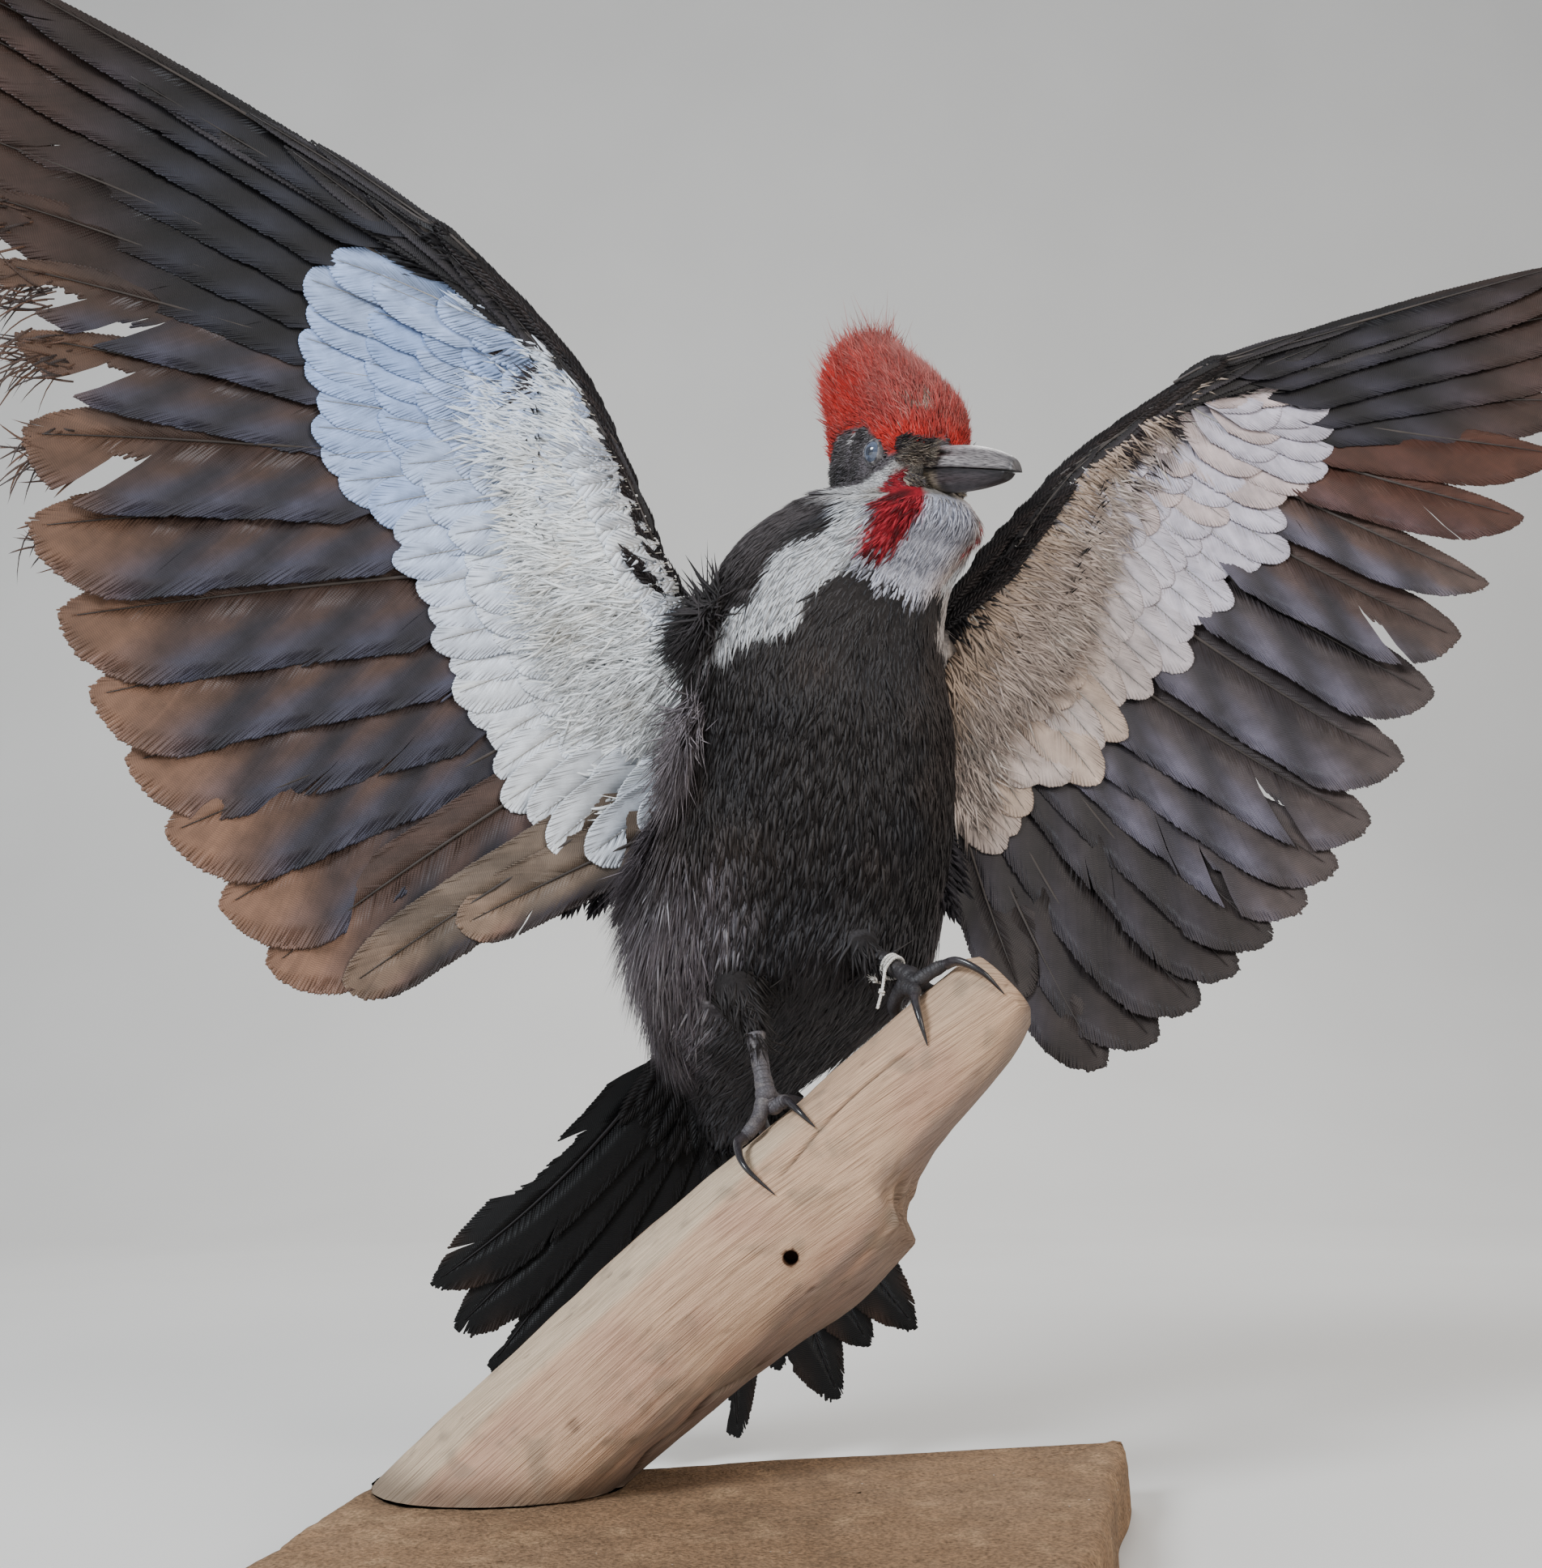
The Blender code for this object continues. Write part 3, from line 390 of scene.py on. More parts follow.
def body_point(t, ang, grow=0.0):
    s, fwd, left = body_axes(t)
    c, q = np.cos(ang), np.sin(ang)
    k = 2.0 / 2.25
    cc, ss = np.sign(c) * np.abs(c) ** k, np.sign(q) * np.abs(q) ** k
    puff = FLANK_PUFF_MM * np.exp(-((s[..., 2] - 212.0) / 36.0) ** 2) * np.maximum(0.0, -ss) ** 3.0
    if np.ndim(grow) or grow < 0:
        puff = puff * 0.55
    depth = np.where(c > 0, s[..., 4], s[..., 5]) + grow
    return (s[..., :3] + fwd * (cc * depth + puff * 0.25)[..., None]
            + left * (ss * (s[..., 3] + grow) - puff)[..., None])


def body_coords(p):
    """(t, angle in degrees, share of the radius) of points near the trunk and neck."""
    ts = np.linspace(0, 1.30, 131)
    s, fwd, left = body_axes(ts)
    nrm = unit(np.cross(fwd, left))
    best = np.full(len(p), 1e9)
    at = np.zeros(len(p), int)
    for i in range(len(ts)):
        d = p - s[i, :3]
        cost = np.abs(d @ nrm[i]) + 0.12 * np.linalg.norm(d, axis=1)
        better = cost < best
        best[better] = cost[better]
        at[better] = i
    d = p - s[at, :3]
    f, l = (d * fwd[at]).sum(1), (d * left[at]).sum(1)
    ff, ll = f / np.where(f > 0, s[at, 4], s[at, 5]), l / s[at, 3]
    e = 2.25 / 2.0
    ang = np.degrees(np.arctan2(np.sign(ll) * np.abs(ll) ** e, np.sign(ff) * np.abs(ff) ** e))
    return ts[at], ang, np.sqrt(ff**2 + ll**2)


_y, _p = math.radians(30.0), math.radians(19.0)
BILL_ROOT = np.array([75.6, 60.0, 374.0])
H_FWD = np.array([math.sin(_y) * math.cos(_p), -math.cos(_y) * math.cos(_p), -math.sin(_p)])
H_LEFT = np.array([math.cos(_y), math.sin(_y), 0.0])
H_UP = -np.cross(H_LEFT, H_FWD)
HEAD = [
    (-58.0, (16.0, 9.0, 7.0, 50.0)), (-54.0, (21.5, 13.0, 8.0, 54.5)), (-48.0, (24.2, 19.0, 8.5, 55.0)),
    (-40.0, (24.6, 22.5, 9.0, 52.5)), (-31.0, (23.8, 24.0, 9.2, 48.5)), (-22.0, (22.8, 24.0, 9.2, 44.0)),
    (-14.0, (21.2, 22.5, 9.0, 38.5)), (-8.0, (18.8, 19.5, 8.6, 32.5)), (-3.0, (14.6, 15.0, 8.0, 22.0)),
    (0.0, (9.6, 11.0, 7.4, 12.5)),
]


def head_pt(along, left, up):
    along, left, up = np.broadcast_arrays(np.asarray(along, float), left, up)
    return BILL_ROOT + along[..., None] * H_FWD + left[..., None] * H_LEFT + up[..., None] * H_UP


def head_coords(p):
    q = p - BILL_ROOT
    return q @ H_FWD, q @ H_LEFT, q @ H_UP


def head_rings(n, face_inset, crown_inset, around=36):
    """Sections of the whole head inside its solids."""
    rings = []
    for along in np.linspace(HEAD[0][0] + 3.0, HEAD[-1][0] - 0.5, n):
        w, throat, brow, crown = through(HEAD, along)
        w = max(w - face_inset, 2.0)
        throat = max(throat - face_inset, 2.0)
        crown = max(crown - crown_inset, brow + 1.0)
        side = []
        tuck = 4.6 * float(smooth01(np.array(-along), 20, 36))
        for e in np.linspace(0, 1, around // 2):
            up = -throat + (crown + throat) * (0.5 - 0.5 * math.cos(math.pi * e))
            if up < -2:
                x = w * math.sqrt(max(0.0, 1 - ((-2 - up) / (throat - 2)) ** 2.2))
            else:
                x = w * max(0.0, 1 - ((up + 2) / (crown + 2)) ** 3.8) ** 0.5
            x = x - tuck * (1 - float(smooth01(np.array(up), 8.0, 30.0))) * float(smooth01(np.array(up), -17.0, -5.0))
            side.append((max(x, 0.2), up))
        pts = side + [(-x, up) for x, up in side[::-1]]
        rings.append([head_pt(along, x, up) for x, up in pts])
    return np.array(rings)


WINGS = {
    "right": {
        "shoulder": (-27.4, 90.0, 341.2), "tip": (-281.5, -10.0, 530.9), "hind": (-171.5, 70.0, 187.3),
        "lead": [(-0.5, (150, -51)), (4, (124, -51)), (8.5, (93, -48)), (11, (69, -41.5)), (14, (45, -29)),
                 (17, (18, -12)), (19, (2, -3)), (21, (-22, 10))],
        "root": [(-0.5, (155, -49.5)), (0, (151, -46)), (4, (124, -42)), (8.5, (94, -36)), (12, (80, -12)),
                 (16, (60, 16)), (18, (46, 26)), (19.5, (10, 28)), (21, (-22, 32))],
        "tips": [(-0.5, (319, -21)), (0, (323, -14)), (1, (331, -3)), (3, (318, 24)), (5, (279, 51)),
                 (7, (236, 80)), (9, (190, 133)), (11, (139, 168)), (13, (87, 193)), (15, (30, 210)),
                 (16, (2, 197)), (17, (-12, 164)), (19, (-34, 110)), (21, (-50, 86))],
        # outer edge of the white lining
        "lining": [(190, -46), (181.5, -21), (176, -5), (152, 15), (122, 33), (119, 47), (84, 73), (67, 75),
                   (22, 78), (7, 90), (-9, 101), (-28, 106), (-60, 98)],
    },
    "left": {
        "shoulder": (87.45, 110.0, 339.25), "tip": (381.9, 160.0, 499.6), "hind": (122.9, 85.0, 147.7),
        "lead": [(-0.5, (160, -42)), (4, (130, -40.5)), (8.5, (96, -37)), (11, (72, -32)), (14, (48, -24)),
                 (17, (20, -14.5)), (19, (4, -6)), (21, (-22, 8))],
        "root": [(-0.5, (165, -40.5)), (0, (160, -37)), (4, (128, -32)), (8.5, (96, -26)), (12, (76, -4)),
                 (16, (50, 20)), (18, (34, 30)), (19.5, (0, 34)), (21, (-24, 34))],
        "tips": [(-0.5, (326, -14)), (0, (331, -8)), (1, (339, 2)), (3, (317, 32)), (5, (266, 66)),
                 (7, (198, 99)), (9, (147, 131)), (11, (90, 161)), (13, (45, 174)), (15, (5, 183)),
                 (17, (-33, 189)), (18.4, (-64, 186)), (20, (-84, 130)), (21, (-64, 95))],
        "lining": [(196, -40), (188, -19), (192, 0), (174, 18), (154, 21), (136, 33), (117, 41), (94, 50),
                   (79, 54), (60, 56), (37, 72), (10, 77), (-7, 68), (-36, 91), (-60, 80)],
    },
}
SIDES = (("left", 1.0), ("right", -1.0))
ARM = [(-0.5, 2.2), (4, 5.5), (9, 9.5), (14, 13.0), (21, 17.0)]


def wing_axes(side):
    w = WINGS[side]
    s, t, h = (np.array(w[k], float) for k in ("shoulder", "tip", "hind"))
    out = unit(t - s)
    under = unit(np.cross(t - s, h - s))
    if under[1] > 0:
        under = -under
    back = (h - s) - out * (h - s).dot(out)
    return s, out, unit(back), under


AXES = {side: wing_axes(side) for side, _ in SIDES}


def rib(side, u, s):
    """(out, back) in the wing's plane; u counts feathers, s runs from front edge to tip."""
    w = WINGS[side]
    u = np.asarray(u, float)
    s = np.broadcast_to(np.asarray(s, float), np.broadcast_shapes(u.shape, np.shape(s)))
    u = np.broadcast_to(u, s.shape)
    lead, root, tip = (through(w[k], u) for k in ("lead", "root", "tips"))
    vane = tip - root
    n = np.stack([-vane[..., 1], vane[..., 0]], -1)
    n = unit(n) * np.where(n[..., 1:2] > 0, -1.0, 1.0)
    bow = through([(-0.5, 0.135), (0, 0.12), (4, 0.10), (9, 0.06), (16, 0.05), (21, 0.0)], u)
    ctrl = root + vane * 0.52 + n * (bow * np.linalg.norm(vane, axis=-1))[..., None]
    first = 0.22
    a = (s / first)[..., None]
    q = ((s - first) / (1 - first))[..., None]
    return np.where(s[..., None] < first, lead * (1 - a) + root * a,
                    root * (1 - q) ** 2 + ctrl * 2 * q * (1 - q) + tip * q * q)


def camber(u, s):
    s = np.asarray(s, float)
    hollow = -9.0 * np.sin(np.pi * np.minimum(1.0, np.maximum(s, 0) * 1.05))
    curl = 7.0 * np.maximum(0.0, s - 0.6) ** 2 / 0.16
    return hollow + curl + through([(-0.5, 5.0), (4, -1.0), (9, -5.0), (14, -3.0), (21, 0.0)], u)


def wing_at(side, u, s, lift=0.0):
    o, out, back, under = AXES[side]
    p = rib(side, u, s)
    h = camber(u, s) + lift
    return o + p[..., :1] * out + p[..., 1:] * back + np.asarray(h)[..., None] * under


# front limit of the pale lining: out, back
PALE_FRONT = {
    "right": [(-40, 30), (-10, 1), (21, -15), (37, -24), (58, -36), (86, -45), (108, -46), (136, -42), (160, -36), (176, -32)],
    "left": [(-40, 34), (-10, 12), (10, -1), (31, -11), (57, -21), (82, -32), (116, -40), (150, -40), (176, -32), (200, -22)],
}


TAIL_ROOT = np.array([-16.0, 150.0, 171.0])
TAIL_DOWN = unit(np.array([-0.02, 0.030, -1.0]))
TAIL_SIDE = unit(np.array([1.0, 0.06, 0.0]))
TAIL_NORMAL = unit(np.cross(TAIL_SIDE, TAIL_DOWN))
if TAIL_NORMAL[1] > 0:
    TAIL_NORMAL = -TAIL_NORMAL


def tail_at(k, s, lift=0.0):
    s = np.asarray(s, float)
    reach = 160.0 * (1 - 0.14 * (abs(k - 5.5) / 5.5) ** 2.2) * s
    ang = math.radians(-45.0 + 76.0 * k / 11)
    bend = ang * (0.72 + 0.28 * s)
    arch = 6.0 * (1 - ((k - 5.5) / 6.0) ** 2) * np.sin(np.pi * s * 0.8)
    return (TAIL_ROOT + TAIL_SIDE * (k - 5.5) * 2.1 + (np.cos(bend) * reach)[..., None] * TAIL_DOWN
            + (np.sin(bend) * reach)[..., None] * TAIL_SIDE + (lift - arch)[..., None] * TAIL_NORMAL)


LIMB_FOOT = np.array([-80.0, 47.0, 22.0])
LIMB_TOP = np.array([88.5, 45.0, 180.0])
LIMB_UP = [(-0.30, 30.0), (0.0, 28.6), (0.3, 26.3), (0.45, 24.6), (0.66, 20.3), (0.88, 16.6), (1.0, 14.6)]
LIMB_LOW = [(-0.30, 27.0), (0.0, 28.0), (0.14, 28.6), (0.28, 32.2), (0.43, 36.2), (0.54, 40.4), (0.632, 39.4),
            (0.646, 38.0), (0.656, 31.6), (0.69, 27.5), (0.75, 24.3), (0.86, 22.0), (0.93, 20.4), (1.0, 15.5)]
LIMB_FRONT = [(-0.30, 38.0), (0.0, 37.0), (0.4, 33.0), (0.7, 25.0), (1.0, 14.5)]
LIMB_REAR = [(-0.30, 26.0), (0.0, 26.0), (0.4, 24.0), (0.7, 20.0), (1.0, 13.0)]
LIMB_AXIS = LIMB_TOP - LIMB_FOOT
LIMB_N = unit(np.array([-LIMB_AXIS[2], 0.0, LIMB_AXIS[0]]))
LIMB_F = unit(np.cross(unit(LIMB_AXIS), LIMB_N))
if LIMB_F[1] > 0:
    LIMB_F = -LIMB_F


def limb_point(s, ang, grow=0.0):
    s, ang = np.broadcast_arrays(np.asarray(s, float), np.asarray(ang, float))
    c, q = np.cos(ang), np.sin(ang)
    a = np.where(c > 0, through(LIMB_UP, s), through(LIMB_LOW, s)) + grow
    b = np.where(q > 0, through(LIMB_FRONT, s), through(LIMB_REAR, s)) + grow
    k = 2.0 / 2.2
    wave = 1 + 0.012 * np.sin(3 * ang + 9 * s) + 0.01 * np.sin(5 * ang - 14 * s)
    return (LIMB_FOOT + s[..., None] * LIMB_AXIS
            + (np.sign(c) * np.abs(c) ** k * a * wave)[..., None] * LIMB_N
            + (np.sign(q) * np.abs(q) ** k * b * wave)[..., None] * LIMB_F)


FEET = {
    "right": {
        "thigh": [((-8, 92, 200), 15.0), ((-5, 74, 186), 11.0), ((0.5, 57, 172), 6.8), ((3.2, 48.5, 164.5), 4.3)],
        "tarsus": [(3.4, 48.0, 163.8), (5.0, 44.0, 153.0), (6.6, 40.5, 143.5)],
        "toes": {
            "outer": [(0.604, 13, 5.0), (0.588, 19, 4.2), (0.570, 20, 3.4), (0.556, 31, 4.2), (0.545, 52, 3.4), (0.549, 80, 0.7)],
            "inner": [(0.628, 10, 4.6), (0.640, 12, 4.0), (0.648, 16, 3.6), (0.650, 30, 3.6), (0.651, 46, 2.6), (0.652, 62, 0.7)],
            "rear": [(0.640, -12, 4.6), (0.656, -32, 3.8), (0.668, -56, 3.6), (0.674, -74, 4.0), (0.676, -92, 3.0), (0.672, -112, 0.7)],
            "hind": [(0.604, -10, 4.8), (0.596, -34, 3.8), (0.590, -58, 3.6), (0.584, -78, 4.0), (0.578, -98, 3.0), (0.574, -116, 0.7)],
        },
    },
    "left": {
        "thigh": [((28, 98, 214), 17.0), ((36, 80, 201), 12.5), ((42.5, 64, 193), 8.0), ((46.6, 57.0, 189.8), 5.0)],
        "tarsus": [(47.1, 56.3, 189.4), (52.0, 50.2, 185.8), (56.6, 44.6, 182.4)],
        "toes": {
            "outer": [(0.905, 12, 5.0), (0.930, 15, 4.4), (0.953, 20, 3.6), (0.968, 40, 4.2), (0.978, 68, 3.2), (0.979, 96, 0.8)],
            "inner": [(0.890, 12, 5.0), (0.893, 20, 4.2), (0.888, 28, 3.6), (0.878, 42, 4.0), (0.863, 60, 3.2), (0.846, 80, 0.7)],
            "rear": [(0.905, -12, 4.6), (0.918, -36, 3.8), (0.926, -60, 3.6), (0.930, -82, 4.0), (0.930, -102, 3.0), (0.926, -120, 0.7)],
            "hind": [(0.868, -10, 4.6), (0.858, -34, 3.8), (0.850, -58, 3.6), (0.844, -80, 4.0), (0.838, -100, 3.0), (0.832, -118, 0.7)],
        },
    },
}


def smooth_path(points, n):
    pts = np.array(points, float)
    keys = [(float(i), tuple(p)) for i, p in enumerate(pts)]
    return through(keys, np.linspace(0, len(pts) - 1.0, n))


def tube_rings(path, radius, sides, wobble=None, flat=1.0):
    """Rings round a path; radius is a number or one per point."""
    path = np.asarray(path, float)
    n = len(path)
    radius = np.broadcast_to(np.asarray(radius, float), (n,))
    tan = unit(np.gradient(path, axis=0))
    ref = np.array([0.0, 0.0, 1.0]) if abs(tan[0][2]) < 0.9 else np.array([1.0, 0.0, 0.0])
    e1 = unit(np.cross(tan[0], ref))
    rings = []
    a = 2 * np.pi * np.arange(sides) / sides
    for i in range(n):
        e1 = unit(e1 - tan[i] * e1.dot(tan[i]))
        e2 = np.cross(tan[i], e1)
        r = radius[i] * (np.ones(sides) if wobble is None else wobble(i / (n - 1.0), a))
        rings.append(path[i] + (np.cos(a) * r)[:, None] * e1 + (np.sin(a) * r * flat)[:, None] * e2)
    return np.array(rings)


# --------------------------------------------------------------------------
# markings: one function of place colours both skin and coat
# --------------------------------------------------------------------------
CHARCOAL = srgb(50, 46, 46)
MANTLE = srgb(78, 72, 73)
INK = srgb(30, 30, 34)
WHITE = srgb(222, 224, 228)
LILAC = srgb(216, 217, 232)
BUFF = srgb(192, 168, 150)
RED = srgb(206, 44, 34)
DUSTY_RED = srgb(188, 104, 94)
MALAR = srgb(174, 34, 48)
EAR = srgb(84, 79, 80)
NASAL = srgb(150, 138, 122)
BALD = srgb(172, 156, 142)
FLANK = srgb(148, 141, 150)

# pale stripe down each side of the neck: t, (angle of its middle, half width)
STRIPE = [(0.925, (80, 1)), (0.945, (77, 7)), (0.975, (68, 12)), (1.008, (49, 19)), (1.03, (43, 13)),
          (1.059, (45, 14)), (1.099, (43, 21)), (1.125, (42, 19)), (1.157, (41, 10)), (1.20, (53, 10)),
          (1.235, (66, 14)), (1.30, (72, 16))]
# red moustache: t, (angle of its middle, half width)
WHISKER = [(1.125, (17, 1)), (1.14, (18, 6)), (1.16, (21, 11)), (1.20, (31, 14)), (1.242, (36, 17)),
           (1.272, (39, 17)), (1.30, (43, 10))]
# lower edge of the red crown: along the head, height
CROWN_EDGE = [(-60, -12), (-54, -4), (-50, 5), (-46, 11), (-34, 14), (-24, 14), (-18, 11), (-13.5, 6.2), (-8.4, 2.8),
              (-4, 4.2), (0, 6)]
# upper edge of the pale line from nostril to neck
LINE_EDGE = [(-30, -18), (-22, -12), (-16.6, -7.6), (-12, -3.6), (-8.7, -1.1), (-4, 2.4), (0, 4.6)]


def markings(p):
    """Colour of the plumage at places p in mm, and how much of each is crown, face or body."""
    t, ang, share = body_coords(p)
    along, left, up = head_coords(p)
    ragged = (rough(p, 5.0, 3) - 0.5)
    streak = rough(p * np.array([1.0, 1.0, 0.3]), 3.0, 9)
    right = ang < 0
    a = np.abs(ang)
    c = np.broadcast_to(CHARCOAL, p.shape).copy()
    # warm and cool drifts in the dark breast
    c = blend(c, srgb(66, 56, 52), 0.6 * smooth01(rough(p, 26.0, 5), 0.45, 0.7))
    c = blend(c, srgb(38, 38, 43), 0.6 * smooth01(rough(p, 30.0, 6), 0.5, 0.75))
    c = blend(c, INK, smooth01(-t, -0.30, -0.12) * 0.8 * smooth01(a, 50, 80))
    # painted light: the lower front of the trunk lighter grey, offsetting its shading
    c = blend(c, srgb(74, 73, 77), 0.55 * (1 - smooth01(t, 0.42, 0.62)) * (1 - smooth01(a, 46, 78)))
    # mantle
    c = blend(c, MANTLE, smooth01(a + 30 * ragged, 62, 84) * smooth01(t, 0.97, 1.03) * (1 - smooth01(a, 120, 150)))
    c = blend(c, INK, smooth01(a, 110, 140) * 0.7)
    # barred flanks
    flank = smooth01(t + 0.10 * ragged, 0.10, 0.26) * (1 - smooth01(t + 0.10 * ragged, 0.50, 0.68)) \
        * smooth01(a + 30 * ragged, 36, 62) * (1 - smooth01(a, 100, 122))
    bars = 0.5 + 0.5 * np.sin(2 * np.pi * (p[:, 2] + 9 * noise(p, 11.0, 8)) / 6.5)
    fleck = smooth01(rough(p, 3.0, 19) + 0.30 * bars, 0.72, 0.88)
    pale = blend(np.broadcast_to(FLANK, p.shape), srgb(206, 202, 210), fleck)
    c = blend(c, np.where(right[:, None], pale, blend(pale, srgb(120, 96, 82), np.full(len(p), 0.5))),
              flank * np.where(right, 0.92, 0.35) * (0.55 + 0.6 * smooth01(streak, 0.35, 0.65)))
    loose = smooth01(t, 0.55, 0.68) * (1 - smooth01(t, 0.84, 0.92)) * smooth01(a, 70, 90) * (1 - smooth01(a, 135, 150)) * right
    c = blend(c, srgb(104, 94, 96), 0.8 * loose * smooth01(streak, 0.3, 0.7))
    # throat: pale, with a black bib below and buff on the bird's left
    low = np.interp(ang, [-60, -25, -3, 18, 36, 60, 90], [1.20, 1.125, 1.09, 1.06, 1.09, 1.13, 1.2])
    throat = smooth01(t + 0.05 * ragged, low - 0.012, low + 0.012) * (1 - smooth01(a, 62, 74))
    tone = blend(np.broadcast_to(LILAC, p.shape), BUFF, smooth01(ang, 12, 40) * 0.75)
    tone = blend(tone, srgb(160, 160, 178), 0.32 * smooth01(streak, 0.5, 0.8))
    c = blend(c, tone, throat)
    c = blend(c, INK, smooth01(0.035 - np.abs(t - low + 0.01), 0.0, 0.03) * (streak > 0.55) * (1 - smooth01(a, 62, 74)) * 0.8)
    # neck stripe
    mid, half = through(STRIPE, t).T
    stripe = smooth01(half + 16 * ragged - np.abs(a - mid - np.where(right, 0.0, 16.0)), -1.5, 2.0) * smooth01(t, 0.92, 0.935)
    white = blend(np.broadcast_to(WHITE, p.shape), srgb(188, 192, 202), 0.5 * smooth01(streak, 0.55, 0.85))
    white = blend(white, srgb(150, 124, 104), np.where(right, 0.0, 0.6 * (1 - smooth01(t, 1.06, 1.14))))
    c = blend(c, white, stripe)
    # head
    near = smooth01(-np.linalg.norm(p - head_pt(-25.0, 0.0, 14.0), axis=1), -50, -40)
    on_head = near * smooth01(up + 0.15 * along, -22.5, -18)
    edge = np.interp(along, *np.array(CROWN_EDGE).T) + 3.0 * ragged
    front = smooth01(along, -9, -2)
    edge = edge + front * 7.0 * np.exp(-(left / 6.5) ** 2)
    line = np.interp(along, *np.array(LINE_EDGE).T) + 3.0 * ragged
    face = np.broadcast_to(EAR, p.shape).copy()
    face = blend(face, srgb(44, 41, 44), smooth01(rough(p * np.array([1.0, 1.0, 0.5]), 3.2, 21), 0.5, 0.66))
    speck = smooth01(noise(p, 2.2, 22), 0.72, 0.86) * smooth01(up, 4, 9) * (1 - smooth01(along, -24, -18))
    face = blend(face, srgb(122, 114, 120), 0.7 * smooth01(streak, 0.5, 0.7))
    face = blend(face, srgb(190, 186, 186), speck)
    pale_face = blend(np.broadcast_to(srgb(216, 214, 214), p.shape), srgb(150, 140, 128), smooth01(along, -9, -1) * 0.8)
    face = blend(face, pale_face, smooth01(line - up, -0.8, 0.8))
    under = smooth01(-10.5 - up + 3 * ragged, -1.0, 1.5)
    face = blend(face, tone, under * (np.abs(left) < 13))
    c = blend(c, face, on_head)
    crown = on_head * smooth01(up - edge, -0.7, 0.7)
    height = smooth01(up + 0.25 * along, 14, 44)
    fore = smooth01(along, -34, -10) * smooth01(up, 8, 18)
    reds = blend(np.broadcast_to(RED, p.shape), DUSTY_RED, np.clip(height * 0.8 + 0.55 * fore + 0.6 * (rough(p, 7.0, 31) - 0.5), 0, 1))
    reds = blend(reds, srgb(168, 62, 58), 0.5 * fore)
    reds = blend(reds, srgb(196, 44, 34), smooth01(rough(p, 9.0, 32), 0.5, 0.72) * (1 - height) * 0.7 * (1 - fore))
    bare = smooth01(rough(p, 3.4, 35) + 0.38 * np.exp(-((along + 8) / 5.0) ** 2 - ((up - 19) / 5.0) ** 2 - ((left + 6) / 8.0) ** 2)
                    + 0.10 * np.exp(-((along + 12) / 9.0) ** 2 - ((up - 24) / 9.0) ** 2), 0.74, 0.84) * smooth01(up, 9, 14)
    reds = blend(reds, BALD, bare * (1 - smooth01(up, 34, 44)))
    c = blend(c, reds, crown)
    # moustache
    mid, half = through(WHISKER, t).T
    whisker = smooth01(half + 10 * ragged - np.abs(a - mid - np.where(right, 0.0, 15.0)) - np.where(right, 0.0, 8.0), -1.5, 2.0) \
        * smooth01(t, np.where(right, 1.125, 1.16), np.where(right, 1.135, 1.17)) \
        * (1 - smooth01(up - line, -6.0, -3.0)) * (1 - smooth01(along, 14.5, 16.5))
    c = blend(c, blend(np.broadcast_to(MALAR, p.shape), srgb(84, 14, 22), smooth01(streak, 0.45, 0.7)), whisker)
    return c, dict(t=t, ang=ang, share=share, along=along, left=left, up=up, crown=crown, head=on_head,
                   flank=flank, stripe=stripe, throat=throat, loose=loose, bare=bare * crown, whisker=whisker)


# --------------------------------------------------------------------------
# camera, lights and floor
# --------------------------------------------------------------------------
scene = bpy.context.scene
pitch, roll = math.radians(11.7), math.radians(0.93)
r0, u0 = Vector((1, 0, 0)), Vector((0, -math.sin(pitch), math.cos(pitch)))
look = Vector((0, math.cos(pitch), math.sin(pitch)))
across = r0 * math.cos(roll) - u0 * math.sin(roll)
upward = r0 * math.sin(roll) + u0 * math.cos(roll)
cam = bpy.data.cameras.new("camera")
cam.sensor_width, cam.sensor_fit, cam.lens = 36.0, "AUTO", 1950.0 / 1936.0 * 36.0
cam.clip_start = 0.01
camera = bpy.data.objects.new("camera", cam)
scene.collection.objects.link(camera)
camera.matrix_world = Matrix(((across.x, upward.x, -look.x, 0.010), (across.y, upward.y, -look.y, -0.500),
                              (across.z, upward.z, -look.z, 0.138), (0, 0, 0, 1)))
scene.camera = camera


def area_light(name, place, target, size, power, colour):
    l = bpy.data.lights.new(name, "AREA")
    l.shape, l.size, l.energy, l.color = "DISK", size, power, colour
    o = bpy.data.objects.new(name, l)
    scene.collection.objects.link(o)
    o.location = place
    o.visible_camera = False
    o.rotation_mode = "QUATERNION"
    o.rotation_quaternion = (Vector(target) - Vector(place)).to_track_quat("-Z", "Y")


area_light("key_cool", (-1.5, -1.5, 1.5), (0, 0.08, 0.30), 0.9, 76, (0.89, 0.945, 1.0))
area_light("fill_warm", (1.7, -1.3, 1.1), (0, 0.08, 0.28), 1.3, 35, (1.0, 0.93, 0.84))
area_light("rim", (0.3, 1.6, 1.7), (0, 0.1, 0.30), 1.0, 22, (1.0, 0.98, 0.95))
world = bpy.data.worlds.new("studio")
scene.world = world
world.use_nodes = True
world.node_tree.nodes["Background"].inputs[0].default_value = (0.86, 0.89, 0.94, 1)
world.node_tree.nodes["Background"].inputs[1].default_value = 0.42

